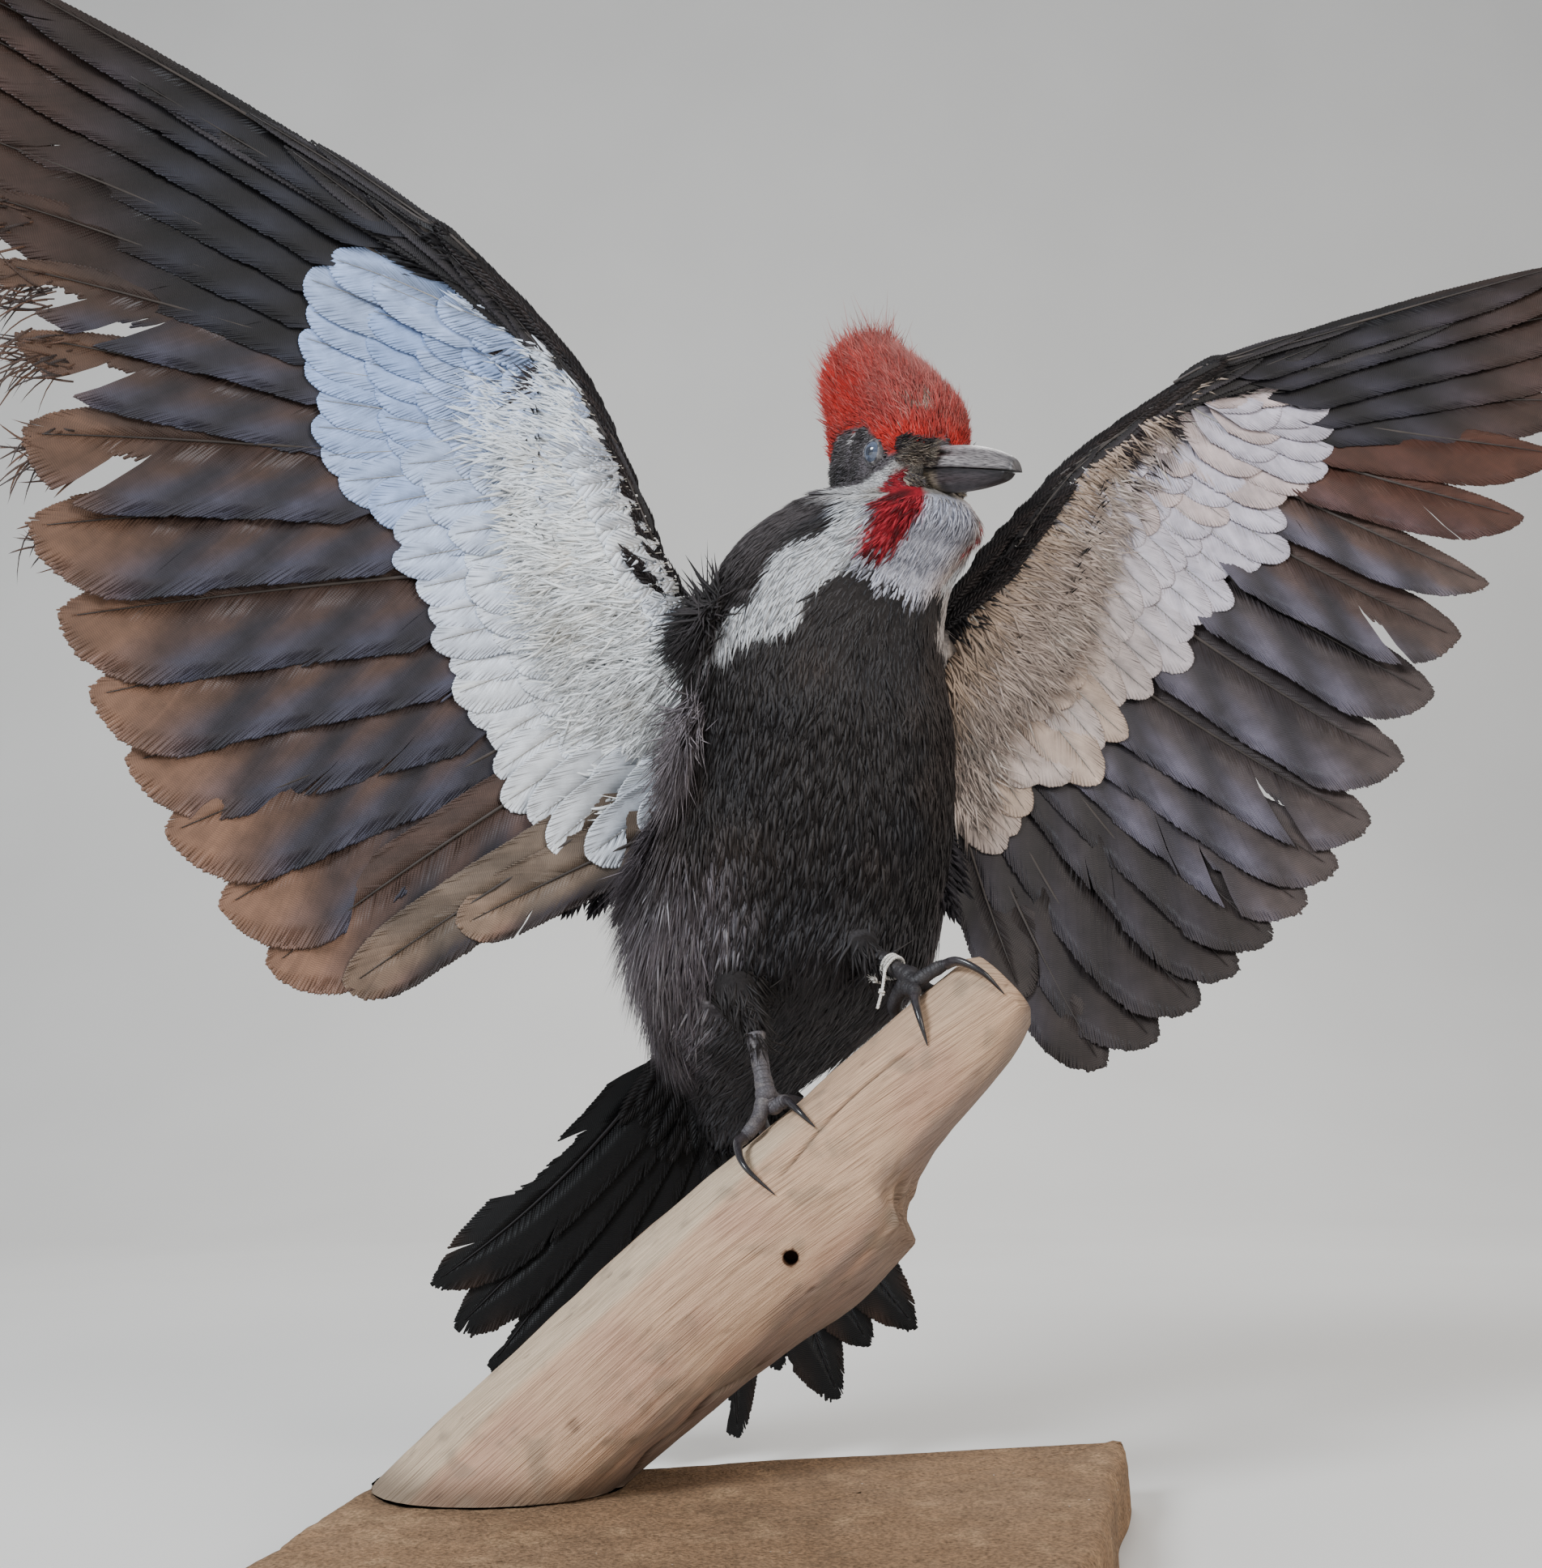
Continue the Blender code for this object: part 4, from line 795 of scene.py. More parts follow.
floor_nodes = Nodes("pale_floor")
floor_place = floor_nodes.new("ShaderNodeTexCoord")
floor_noise = floor_nodes.new("ShaderNodeTexNoise")
floor_nodes.join(floor_place.outputs["Object"], floor_noise.inputs["Vector"])
floor_noise.inputs["Scale"].default_value = 3.0
floor_nodes.join(floor_nodes.ramp(floor_noise.outputs["Fac"], [(0.3, (0.70, 0.69, 0.67)), (0.7, (0.74, 0.73, 0.71))]),
                 floor_nodes.shader.inputs["Base Color"])
floor_nodes.set(Roughness=0.7, Specular_IOR_Level=0.2)
bm = bmesh.new()
rows = []
for j in range(-24, 34):
    if j <= 0:
        y, z = 1.4 + 0.25 * j, 0.0
    elif j <= 16:
        a = math.pi / 2 * j / 16
        y, z = 1.4 + 0.9 * math.sin(a), 0.9 * (1 - math.cos(a))
    else:
        y, z = 2.3, 0.9 + 0.2 * (j - 16)
    rows.append([bm.verts.new((x, y, z)) for x in (-6.0, -2.0, 2.0, 6.0)])
for a, b in zip(rows, rows[1:]):
    for i in range(3):
        bm.faces.new((a[i], a[i + 1], b[i + 1], b[i])).smooth = True
floor_mesh = bpy.data.meshes.new("floor")
bm.to_mesh(floor_mesh)
bm.free()
floor_mesh.materials.append(floor_nodes.material)
floor = bpy.data.objects.new("floor", floor_mesh)
scene.collection.objects.link(floor)

# --------------------------------------------------------------------------
# skin: trunk, neck, head, wing arms, thighs and tail root as one surface
# --------------------------------------------------------------------------
def skin_sources():
    yield loft_arrays([body_point(np.full(40, t), 2 * np.pi * np.arange(40) / 40, -4.0 if t < 1.2 else -2.5)
                       for t in np.linspace(0.03, 1.29, 46)])
    yield loft_arrays(head_rings(26, 1.6, 6.5))
    for side, sign in SIDES:
        o, out, back, under = AXES[side]
        rings = []
        for u in np.linspace(21.0, -0.2, 30):
            lead, root = rib(side, u, 0.0), rib(side, u, 0.2)
            mid, half = (lead + root) / 2, np.linalg.norm(root - lead) / 2 * 0.82
            along = unit(root - lead)
            thick = max(1.4, float(through(ARM, u)) / 2 - 2.2)
            h = float(camber(u, 0.11))
            a = 2 * np.pi * np.arange(14) / 14
            chord = mid + (np.cos(a) * half)[:, None] * along
            rings.append(o + chord[:, :1] * out + chord[:, 1:] * back + (h + np.sin(a) * thick)[:, None] * under)
        yield loft_arrays(rings)
    for side, spec in FEET.items():
        pts = smooth_path([p for p, r in spec["thigh"]], 12)
        rad = through([(float(i), r) for i, (p, r) in enumerate(spec["thigh"])], np.linspace(0, 3, 12))
        yield loft_arrays(tube_rings(pts, np.maximum(rad - 2.2, 2.2), 14))
    rings = []
    for k in np.linspace(0.2, 10.8, 14):
        s = np.array([0.0, 0.07, 0.14, 0.20])
        thick = np.array([3.2, 3.4, 3.0, 1.6])
        rings.append(np.concatenate([tail_at(k, s, thick), tail_at(k, s, -thick)[::-1]]))
    yield loft_arrays(rings)


all_v, all_f, base_count = [], [], 0
for v, faces in skin_sources():
    all_v.append(v)
    all_f += [f + base_count for f in faces]
    base_count += len(v)
source = mesh_of("skin_source", np.concatenate(all_v) * MM, all_f)
bm = bmesh.new()
bm.from_mesh(source)
bmesh.ops.recalc_face_normals(bm, faces=bm.faces)
bm.to_mesh(source)
bm.free()
holder = bpy.data.objects.new("skin_source", source)
scene.collection.objects.link(holder)
remesh = holder.modifiers.new("remesh", "REMESH")
remesh.mode, remesh.voxel_size = "VOXEL", 0.0019
relax = holder.modifiers.new("relax", "SMOOTH")
relax.factor, relax.iterations = 0.5, 4
bpy.context.view_layer.update()
skin_mesh = bpy.data.meshes.new_from_object(holder.evaluated_get(bpy.context.evaluated_depsgraph_get()))
bpy.data.objects.remove(holder, do_unlink=True)

n_v, n_f = len(skin_mesh.vertices), len(skin_mesh.polygons)
co = np.empty(n_v * 3, np.float32)
skin_mesh.vertices.foreach_get("co", co)
SV = co.reshape(-1, 3).astype(float) / MM
no = np.empty(n_v * 3, np.float32)
skin_mesh.vertices.foreach_get("normal", no)
SN = no.reshape(-1, 3).astype(float)
lv = np.empty(len(skin_mesh.loops), np.int32)
skin_mesh.loops.foreach_get("vertex_index", lv)
totals = np.array([p.loop_total for p in skin_mesh.polygons])
quads = lv.reshape(-1, 4) if (totals == 4).all() else None
if quads is None:
    starts = np.array([p.loop_start for p in skin_mesh.polygons])
    quads = np.stack([lv[starts], lv[starts + 1], lv[starts + 2], lv[starts + np.minimum(3, totals - 1)]], -1)
print("skin", n_v, "vertices", len(quads), "faces")
corners = SV[quads]
AREA = 0.5 * (np.linalg.norm(np.cross(corners[:, 1] - corners[:, 0], corners[:, 2] - corners[:, 0]), axis=1)
              + np.linalg.norm(np.cross(corners[:, 2] - corners[:, 0], corners[:, 3] - corners[:, 0]), axis=1))


def zones(p, n):
    """Which part of the skin each place belongs to, and its wing coordinates."""
    t, ang, share = body_coords(p)
    along, left, up = head_coords(p)
    zone = np.full(len(p), "body", dtype="U6")
    zone[np.linalg.norm(p - head_pt(-26.0, 0.0, 16.0), axis=1) < 44] = "head"
    off_body = share > 1.02
    wing = np.zeros((len(p), 4))
    for side, sign in SIDES:
        o, out, back, under = AXES[side]
        q = p - o
        w = np.stack([q @ out, q @ back, q @ under, n @ under], -1)
        hit = off_body & (np.abs(w[:, 2]) < 22) & (w[:, 0] > -20) & (sign * (p[:, 0] - 30) > 25) & (p[:, 2] > 262)
        zone[hit] = "arm_l" if side == "left" else "arm_r"
        wing[hit] = w[hit]
    for side, spec in FEET.items():
        pts = smooth_path([c for c, r in spec["thigh"]], 24)
        d = np.min(np.linalg.norm(p[:, None] - pts[None, 5:], axis=2), axis=1)
        zone[(d < 13) & (share > 0.97) & (p[:, 2] < 215)] = "thigh"
    rump = (share > 1.1) & (p[:, 1] > 138) & (p[:, 2] < 175)
    zone[rump] = "rump"
    return zone, wing, t, ang


def sample(per_mm2):
    """Places on the skin, about per_mm2 of them to each square millimetre of each face."""
    want = AREA * per_mm2
    many = np.floor(want).astype(int) + (rng.rand(len(want)) < want % 1.0)
    idx = np.repeat(np.arange(len(want)), many)
    a, b = rng.rand(len(idx)), rng.rand(len(idx))
    w = np.stack([(1 - a) * (1 - b), a * (1 - b), a * b, (1 - a) * b], -1)
    p = (corners[idx] * w[..., None]).sum(1)
    n = unit((SN[quads[idx]] * w[..., None]).sum(1))
    return p, n, idx


skin_colour, skin_info = markings(SV)
skin_zone, skin_wing, _, _ = zones(SV, SN)


def arm_colour(p, n, side, w):
    """Plumage on the wing arms: pale below, black above and along the front edge."""
    # painted light colour on the pale plumage: a cool blue cast on the right wing, a warm beige cast on the left
    white = blend(np.broadcast_to(srgb(234, 237, 242) if side == "right" else srgb(206, 190, 178), p.shape),
                  srgb(198, 206, 222) if side == "right" else srgb(186, 162, 144),
                  0.6 * smooth01(rough(p, 14.0, 41), 0.45, 0.75))
    white = blend(white, srgb(168, 148, 124), 0.45 * smooth01(rough(p, 8.0, 42), 0.62, 0.8) * smooth01(-(w[:, 1] - w[:, 0] * 0), -16.0, 8.0))
    flecks = smooth01(noise(p, 3.4, 43), 0.80, 0.9) * smooth01(-w[:, 1], 2, 16)
    white = blend(white, srgb(60, 52, 52), 0.8 * flecks)
    lead_back = np.interp(w[:, 0], [-30, 0, 20, 60, 100, 160], [14, -2, -11, -35, -46, -50])
    pale_from = np.interp(w[:, 0], *np.array(PALE_FRONT[side], float).T)
    dark = smooth01(pale_from - w[:, 1] + 2.5 * (noise(p, 5.0, 44) - 0.5), -0.8, 0.8)
    front = (w[:, 1] - lead_back) < 9.0
    dark = np.maximum(dark, smooth01(-w[:, 3], np.where(front, -0.62, -0.15), np.where(front, -0.36, 0.2)))
    return blend(white, srgb(36, 33, 36), dark), dark


for side, code in (("left", "arm_l"), ("right", "arm_r")):
    m = skin_zone == code
    skin_colour[m] = arm_colour(SV[m], SN[m], side, skin_wing[m])[0]
skin_colour[(skin_zone == "rump") | (skin_zone == "thigh")] = CHARCOAL * 0.8

# --------------------------------------------------------------------------
# coat: overlapping tufts
# --------------------------------------------------------------------------
def blades(pile, p, d, n, length, half, lift, settle, sweep, tip_c, root_c, bake, stations=(0.0, 0.34, 0.7),
           shape=(0.75, 1.0, 0.72), thick=0.35, sink=0.6):
    """Closed pointed tufts: three-sided, a ridge above and a flat underneath."""
    m = len(p)
    if not m:
        return
    d = unit(d - n * (d * n).sum(1, keepdims=True))
    s = np.cross(d, n)
    k = len(stations)
    verts = np.empty((m, 3 * k + 1, 3))
    col = np.empty((m, 3 * k + 1, 3))
    uv = np.empty((m, 3 * k + 1, 2))
    lie = np.empty((m, 3 * k + 1, 2))
    flag = np.zeros((m, 3 * k + 1), np.int8)
    base = p - n * sink
    shift = rng.rand(m)[:, None] * 40
    for i, t in enumerate(tuple(stations) + (1.0,)):
        c = base + d * (length * t)[:, None] + n * (length * (lift * t - settle * t * t))[:, None] \
            + s * (sweep * length * t * t)[:, None]
        shade = root_c * (1 - t) + tip_c * t
        if i == k:
            verts[:, 3 * k] = c
            col[:, 3 * k] = shade
            uv[:, 3 * k] = bake + [0.0, 0.0015]
            lie[:, 3 * k] = np.concatenate([shift, shift + 0.4 * length[:, None]], 1)
            continue
        w = (half * shape[i])[:, None]
        verts[:, 3 * i] = c - s * w
        verts[:, 3 * i + 1] = c + s * w
        verts[:, 3 * i + 2] = c + n * (half * thick * shape[i])[:, None]
        for j, x in enumerate((-1.0, 1.0, 0.0)):
            col[:, 3 * i + j] = shade
            uv[:, 3 * i + j] = bake + np.array([0.0015 * x, 0.003 * t - 0.0015])
            lie[:, 3 * i + j] = np.concatenate([shift + x * 0.9 * half[:, None], shift + 0.4 * length[:, None] * t], 1)
        flag[:, 3 * i] = 1
        flag[:, 3 * i + 1] = 2
    per = 3 * k + 1
    off = (np.arange(m) * per)[:, None, None]
    q, tr = [], [[1, 0, 2]]
    for i in range(k - 1):
        a, b = 3 * i, 3 * i + 3
        q += [[a, b, b + 2, a + 2], [a + 2, b + 2, b + 1, a + 1], [a + 1, b + 1, b, a]]
    a, tip = 3 * (k - 1), 3 * k
    tr += [[a, tip, a + 2], [a + 2, tip, a + 1], [a + 1, tip, a]]
    faces = [(np.array(tr)[None] + off).reshape(-1, 3)]
    if q:
        faces.append((np.array(q)[None] + off).reshape(-1, 4))
    pile.add(verts.reshape(-1, 3), faces, col.reshape(-1, 3), uv.reshape(-1, 2), lie.reshape(-1, 2), flag.reshape(-1))


def turn(d, n, degrees):
    a = np.radians(degrees)[:, None]
    return d * np.cos(a) + np.cross(n, d) * np.sin(a)


def trunk_unwrap(t, ang):
    return np.stack([0.02 + 0.96 * (ang + 180.0) / 360.0, 0.02 + 0.96 * t / 1.32], -1)


PIECES = []


def coat_of(name, slot, material, groups, limit=185000):
    """Builds one or more meshes from tuft groups, each under the limit in triangles."""
    made, pile = [], Pile()
    for g in groups:
        m = len(g["p"])
        k = len(g.get("stations", (0, 1, 2)))
        each = 4 + 6 * (k - 1)
        start = 0
        while start < m:
            room = max(0, int((limit - pile.tris) // each))
            if room < 50:
                made.append(pile)
                pile = Pile()
                continue
            cut = slice(start, min(m, start + room))
            args = {key: (value[cut] if isinstance(value, np.ndarray) and len(value) == m else value)
                    for key, value in g.items()}
            blades(pile, **args)
            start = cut.stop
    made.append(pile)
    objs = []
    for i, pl in enumerate(made):
        if pl.count:
            objs.append(pl.build(name if len(made) == 1 else "%s_%d" % (name, i + 1), material, slot))
    PIECES.extend(objs)
    return objs


# lie of the coat ----------------------------------------------------------
def body_lie(t):
    a, b = through(BODY, np.clip(t + 0.02, 0, 1.3))[..., :3], through(BODY, np.clip(t - 0.02, 0, 1.3))[..., :3]
    return unit(b - a)


p, n, _ = sample(0.64)
zone, wing, t, ang = zones(p, n)
colour, info = markings(p)
keep = np.ones(len(p), bool)
body_groups, head_groups, crown_groups = [], [], []

# trunk and neck
m = (zone == "body") | (zone == "rump")
m &= (rng.rand(len(p)) < np.where(info["t"] > 1.0, 1.0, 0.86))
bp_, bn, bt, ba, bc = p[m], n[m], info["t"][m], info["ang"][m], colour[m]
d = body_lie(bt)
swirl = 26 * (noise(bp_, 34.0, 51) - 0.5) + 14 * (noise(bp_, 9.0, 52) - 0.5)
stray = rng.randn(len(bp_)) * 6.5
stern = smooth01(bp_[:, 1], 132, 146) * (1 - smooth01(bt, 0.14, 0.24))
d = turn(unit(d - bn * (d * bn).sum(1, keepdims=True)), bn, swirl + stray)
flank = info["flank"][m] + info["loose"][m]
puff = np.exp(-((bp_[:, 2] - 212.0) / 40.0) ** 2) * smooth01(-ba, 55, 85) * (1 - smooth01(-ba, 130, 150))
size = np.interp(bt, [0.0, 0.3, 0.9, 1.05, 1.2, 1.3], [15, 15.5, 14, 11.0, 8.5, 5.5]) * (0.8 + 0.4 * rng.rand(len(bp_)))
size = size * (1 + 0.35 * np.clip(flank, 0, 1) + 0.75 * puff)
half = np.interp(bt, [0.0, 0.9, 1.1, 1.3], [0.66, 0.60, 0.52, 0.42]) * (0.75 + 0.5 * rng.rand(len(bp_)))
half = half * (1 - 0.25 * np.clip(flank, 0, 1))
lift = 0.17 + 0.09 * rng.rand(len(bp_)) + 0.22 * puff + 0.04 * info["stripe"][m] + 0.08 * info["throat"][m]
ragged = rng.rand(len(bp_)) < 0.02
lift = (lift + 0.12 * ragged) * (1 - 0.75 * stern)
size = size * (1 - 0.45 * stern)
settle = 0.16 + 0.06 * rng.rand(len(bp_)) - 0.05 * puff
light = 0.86 + 0.30 * rng.rand(len(bp_))[:, None]
tip = bc * light
hair = rng.rand(len(bp_))[:, None]
dark = (bc.mean(1) < 0.06)[:, None]
tip = np.where(dark & (hair > 0.985), tip * 2.0 + 0.010, tip)
body_groups.append(dict(p=bp_, d=d, n=bn, length=size, half=half, lift=lift, settle=settle,
                        sweep=0.10 * rng.randn(len(bp_)), tip_c=tip, root_c=bc * 0.72, stations=(0.0, 0.42),
                        shape=(0.8, 1.0), bake=trunk_unwrap(bt, ba)))
print("body tufts", len(bp_))

# thighs
m = zone == "thigh"
tp, tn = p[m], n[m]
d = np.tile(unit(np.array([0.25, -0.55, -0.8])), (len(tp), 1))
d = turn(unit(d - tn * (d * tn).sum(1, keepdims=True)), tn, rng.randn(len(tp)) * 9)
tc = np.tile(CHARCOAL, (len(tp), 1)) * (0.75 + 0.45 * rng.rand(len(tp)))[:, None]
body_groups.append(dict(p=tp, d=d, n=tn, length=13 + 7 * rng.rand(len(tp)), half=np.full(len(tp), 0.6),
                        lift=0.15 + 0.12 * rng.rand(len(tp)), settle=np.full(len(tp), 0.16), sweep=0.14 * rng.randn(len(tp)),
                        stations=(0.0, 0.42), shape=(0.8, 1.0), tip_c=tc, root_c=tc * 0.7, bake=trunk_unwrap(info["t"][m], info["ang"][m])))

# loose tufts where the right wing leaves the body: black over the shoulder, grey under the arm, dusky down the flank
def loose_tufts(count, places, aims, size, half, hue_a, hue_b, lift):
    """places and aims: matching corner points on the body; tufts are strewn between them."""
    places, aims = np.array(places, float), np.array(aims, float)
    w = rng.dirichlet(np.full(len(places), 0.9), count)
    q = w @ places
    a_ = unit(w @ unit(aims) + 0.22 * rng.randn(count, 3))
    gap = np.argmin(((q[:, None] - SV[None, ::9]) ** 2).sum(-1), 1)
    normal = SN[::9][gap]
    q = SV[::9][gap] + normal * 0.4 + rng.randn(count, 3) * 1.0
    shade_by = (0.75 + 0.5 * rng.rand(count))[:, None]
    hue = blend(np.tile(hue_a, (count, 1)), hue_b, rng.rand(count)) * shade_by
    tt, aa, _ = body_coords(q)
    return dict(p=q, d=a_, n=normal, length=rng.uniform(*size, count), half=rng.uniform(*half, count),
                lift=lift + 0.3 * rng.rand(count), settle=0.12 + 0.14 * rng.rand(count), sweep=0.16 * rng.randn(count),
                tip_c=hue, root_c=hue * 0.75, stations=(0.0, 0.42), shape=(0.8, 1.0), bake=trunk_unwrap(tt, aa))


body_groups.append(loose_tufts(760, [(-15, 70, 334), (-18, 66, 318), (-9, 60, 326), (-14, 62, 306), (-20, 74, 326)],
                               [np.array(v_, float) for v_ in ((-0.9, -0.35, 0.22), (-0.95, -0.35, -0.1), (-0.9, -0.4, 0.05),
                                                               (-0.85, -0.35, -0.4), (-1.0, -0.3, 0.3))],
                               (15, 29), (0.45, 0.85), CHARCOAL * 0.6, srgb(62, 56, 58), 0.30))
body_groups.append(loose_tufts(1100, [(-21, 68, 296), (-23, 67, 278), (-18, 61, 286), (-25, 74, 266), (-24, 70, 252)],
                               [np.array(v_, float) for v_ in ((-0.9, -0.35, -0.2), (-0.8, -0.35, -0.5), (-0.85, -0.4, -0.35),
                                                               (-0.7, -0.3, -0.65), (-0.75, -0.3, -0.6))],
                               (18, 31), (0.32, 0.55), srgb(104, 96, 102), srgb(150, 141, 144), 0.36))
body_groups.append(loose_tufts(1500, [(-28, 84, 268), (-34, 90, 245), (-36, 92, 225), (-30, 82, 235), (-33, 88, 210)],
                               [np.array([-0.62, -0.22, -0.78])] * 5,
                               (16, 29), (0.32, 0.55), srgb(78, 72, 76), srgb(132, 124, 130), 0.38))

# the trunk's coat, rump tufts over the tail root among them
coat_of("coat_body", "body_plumage", SOFT, body_groups)

# head: short on the face, upright on the crown
p, n, _ = sample(2.75)
m = (np.linalg.norm(p - head_pt(-26.0, 0.0, 16.0), axis=1) < 46)
p, n = p[m], n[m]
zone, wing, t, ang = zones(p, n)
colour, info = markings(p)
m = (zone == "head") & (info["along"] < 1.0)
p, n, colour = p[m], n[m], colour[m]
info = {k: v[m] for k, v in info.items()}
eye_gap = np.minimum(*[np.linalg.norm((p - head_pt(-17.0, s * 17.7, 3.4)), axis=1) for s in (1, -1)])
m = eye_gap > 5.9
p, n, colour = p[m], n[m], colour[m]
info = {k: v[m] for k, v in info.items()}
eye_gap = eye_gap[m]
along, left, up = info["along"], info["left"], info["up"]
crown = info["crown"] > 0.5
# on the crown the feathers rise and lean back; elsewhere they run back from the bill
rise = smooth01(up, 2, 24)
d_face = -H_FWD * 1.0 - H_UP * (0.30 + 0.35 * smooth01(-up, 4, 14))[:, None] + H_LEFT * (np.sign(left) * 0.1)[:, None]
splay = np.sign(left) * smooth01(np.abs(left), 7, 18) * smooth01(up, 12, 30)
d_crown = H_UP * (0.50 + 0.25 * rise)[:, None] - H_FWD * (0.75 + 0.25 * smooth01(up, 30, 52))[:, None] + H_LEFT * (0.42 * splay)[:, None]
d = np.where(crown[:, None], d_crown, d_face)
d = unit(d - n * (d * n).sum(1, keepdims=True))
d = turn(d, n, rng.randn(len(p)) * np.where(crown, 13, 9) + 20 * (noise(p, 7.0, 61) - 0.5))
steep = smooth01(up, 26, 50) * crown
rear = smooth01(-along, 40, 50) * crown
length = np.where(crown, 4.6 + 3.4 * rise + 2.4 * steep + 4.5 * rear, 2.8 + 2.4 * smooth01(-along, 12, 30) + 2.4 * smooth01(-up, 6, 16))
length = length * (0.75 + 0.5 * rng.rand(len(p))) * (1 - 0.45 * info["bare"])
length = length * np.where(eye_gap < 9, 0.55, 1.0)
wisp = crown & (up > 12) & (rng.rand(len(p)) < 0.10 + 0.22 * smooth01(up - 0.5 * left, 36, 62))
length = length * np.where(wisp, 1.5, 1.0)
half = np.where(wisp, 0.17, 0.27) * (0.7 + 0.6 * rng.rand(len(p)))
lift = np.where(crown, 0.36 + 0.20 * rear + 0.16 * np.abs(splay), 0.24) + 0.16 * rng.rand(len(p)) + 0.14 * smooth01(-up, 9, 16) * (along > -24)
settle = np.where(crown, 0.16 - 0.08 * steep, 0.12) + 0.06 * rng.rand(len(p))
light = (0.82 + 0.32 * rng.rand(len(p)))[:, None]
tip = colour * light
frost = (rng.rand(len(p)) < 0.20 + 0.46 * smooth01(up + 0.3 * along, 8, 34)) & crown
tip = np.where(frost[:, None], blend(tip, srgb(214, 138, 128), 0.35 + 0.35 * rng.rand(len(p))), tip)
streaky = (rng.rand(len(p)) < 0.30) & ~crown & (info["crown"] < 0.1) & (colour.mean(1) < 0.12)
tip = np.where(streaky[:, None], blend(tip, srgb(150, 146, 150), 0.35 + 0.4 * rng.rand(len(p))), tip)
rootc = np.where(crown[:, None], colour * 0.62, colour * 0.8)
uv = np.stack([0.5 + 0.46 * np.clip(left / 34.0, -1, 1) * 1.0, 0.03 + 0.94 * (along + 58.0) / 62.0], -1)
wrap = np.arctan2(left, up + 2.0) / math.pi
uv = np.stack([0.5 + 0.48 * wrap, 0.03 + 0.94 * np.clip((along + 58.0) / 60.0, 0, 1)], -1)
common = dict(sweep=0.12 * rng.randn(len(p)))


def pick(mask, **extra):
    g = dict(p=p[mask], d=d[mask], n=n[mask], length=length[mask], half=half[mask], lift=lift[mask],
             settle=settle[mask], sweep=common["sweep"][mask], tip_c=tip[mask], root_c=rootc[mask], bake=uv[mask])
    g.update(extra)
    return g


thin = crown
coat_of("crest_feathers", "red_plumage", SOFT, [pick(thin, stations=(0.0, 0.45), shape=(0.8, 1.0), sink=0.5, thick=0.3)])
face = ~crown
coat_of("face_feathers", "head_plumage", SOFT, [pick(face, stations=(0.0, 0.5), shape=(0.8, 1.0), sink=0.3, thick=0.3)])
print("crest tufts", thin.sum(), "face tufts", face.sum())

# wing arms ----------------------------------------------------------------
p, n, _ = sample(0.46)
zone, wing, t, ang = zones(p, n)
for side, code in (("left", "arm_l"), ("right", "arm_r")):
    o, out, back, under = AXES[side]
    m = zone == code
    ap, an, aw = p[m], n[m], wing[m]
    col, dark = arm_colour(ap, an, side, aw)
    # below the wing the down runs back and outwards; along the edge it follows the edge
    lean = np.interp(aw[:, 0], [0, 60, 150], [0.25, 0.8, 2.0])[:, None]
    d = back + out * lean
    d = unit(d - an * (d * an).sum(1, keepdims=True))
    below = aw[:, 3] > 0
    d = turn(d, an, rng.randn(len(ap)) * np.where(below, 12, 9) + 36 * (noise(ap, 16.0, 71) - 0.5) * below)
    size = np.where(below, 13.0, 10.0) * (0.7 + 0.6 * rng.rand(len(ap))) * np.interp(aw[:, 0], [0, 90, 160], [1.1, 0.9, 0.7])
    light = (0.85 + 0.25 * rng.rand(len(ap)))[:, None]
    g = dict(p=ap, d=d, n=an, length=size, half=np.where(below, 0.85, 1.3) * (0.7 + 0.6 * rng.rand(len(ap))),
             lift=np.where(below, 0.13, 0.20) + 0.09 * rng.rand(len(ap)) * below, settle=0.17 + 0.05 * rng.rand(len(ap)),
             sweep=0.22 * rng.randn(len(ap)) * np.where(below, 1.0, 0.3), tip_c=col * light, root_c=col * np.where(dark > 0.5, 0.7, 0.95)[:, None],
             bake=np.stack([0.03 + 0.94 * np.clip((aw[:, 0] + 25) / 190.0, 0, 1),
                            0.5 + 0.46 * np.clip(aw[:, 2] / 12.0, -1, 1)], -1))
    coat_of("wing_down_" + side, "wing_plumage", SOFT, [g])
    print("arm tufts", side, len(ap))

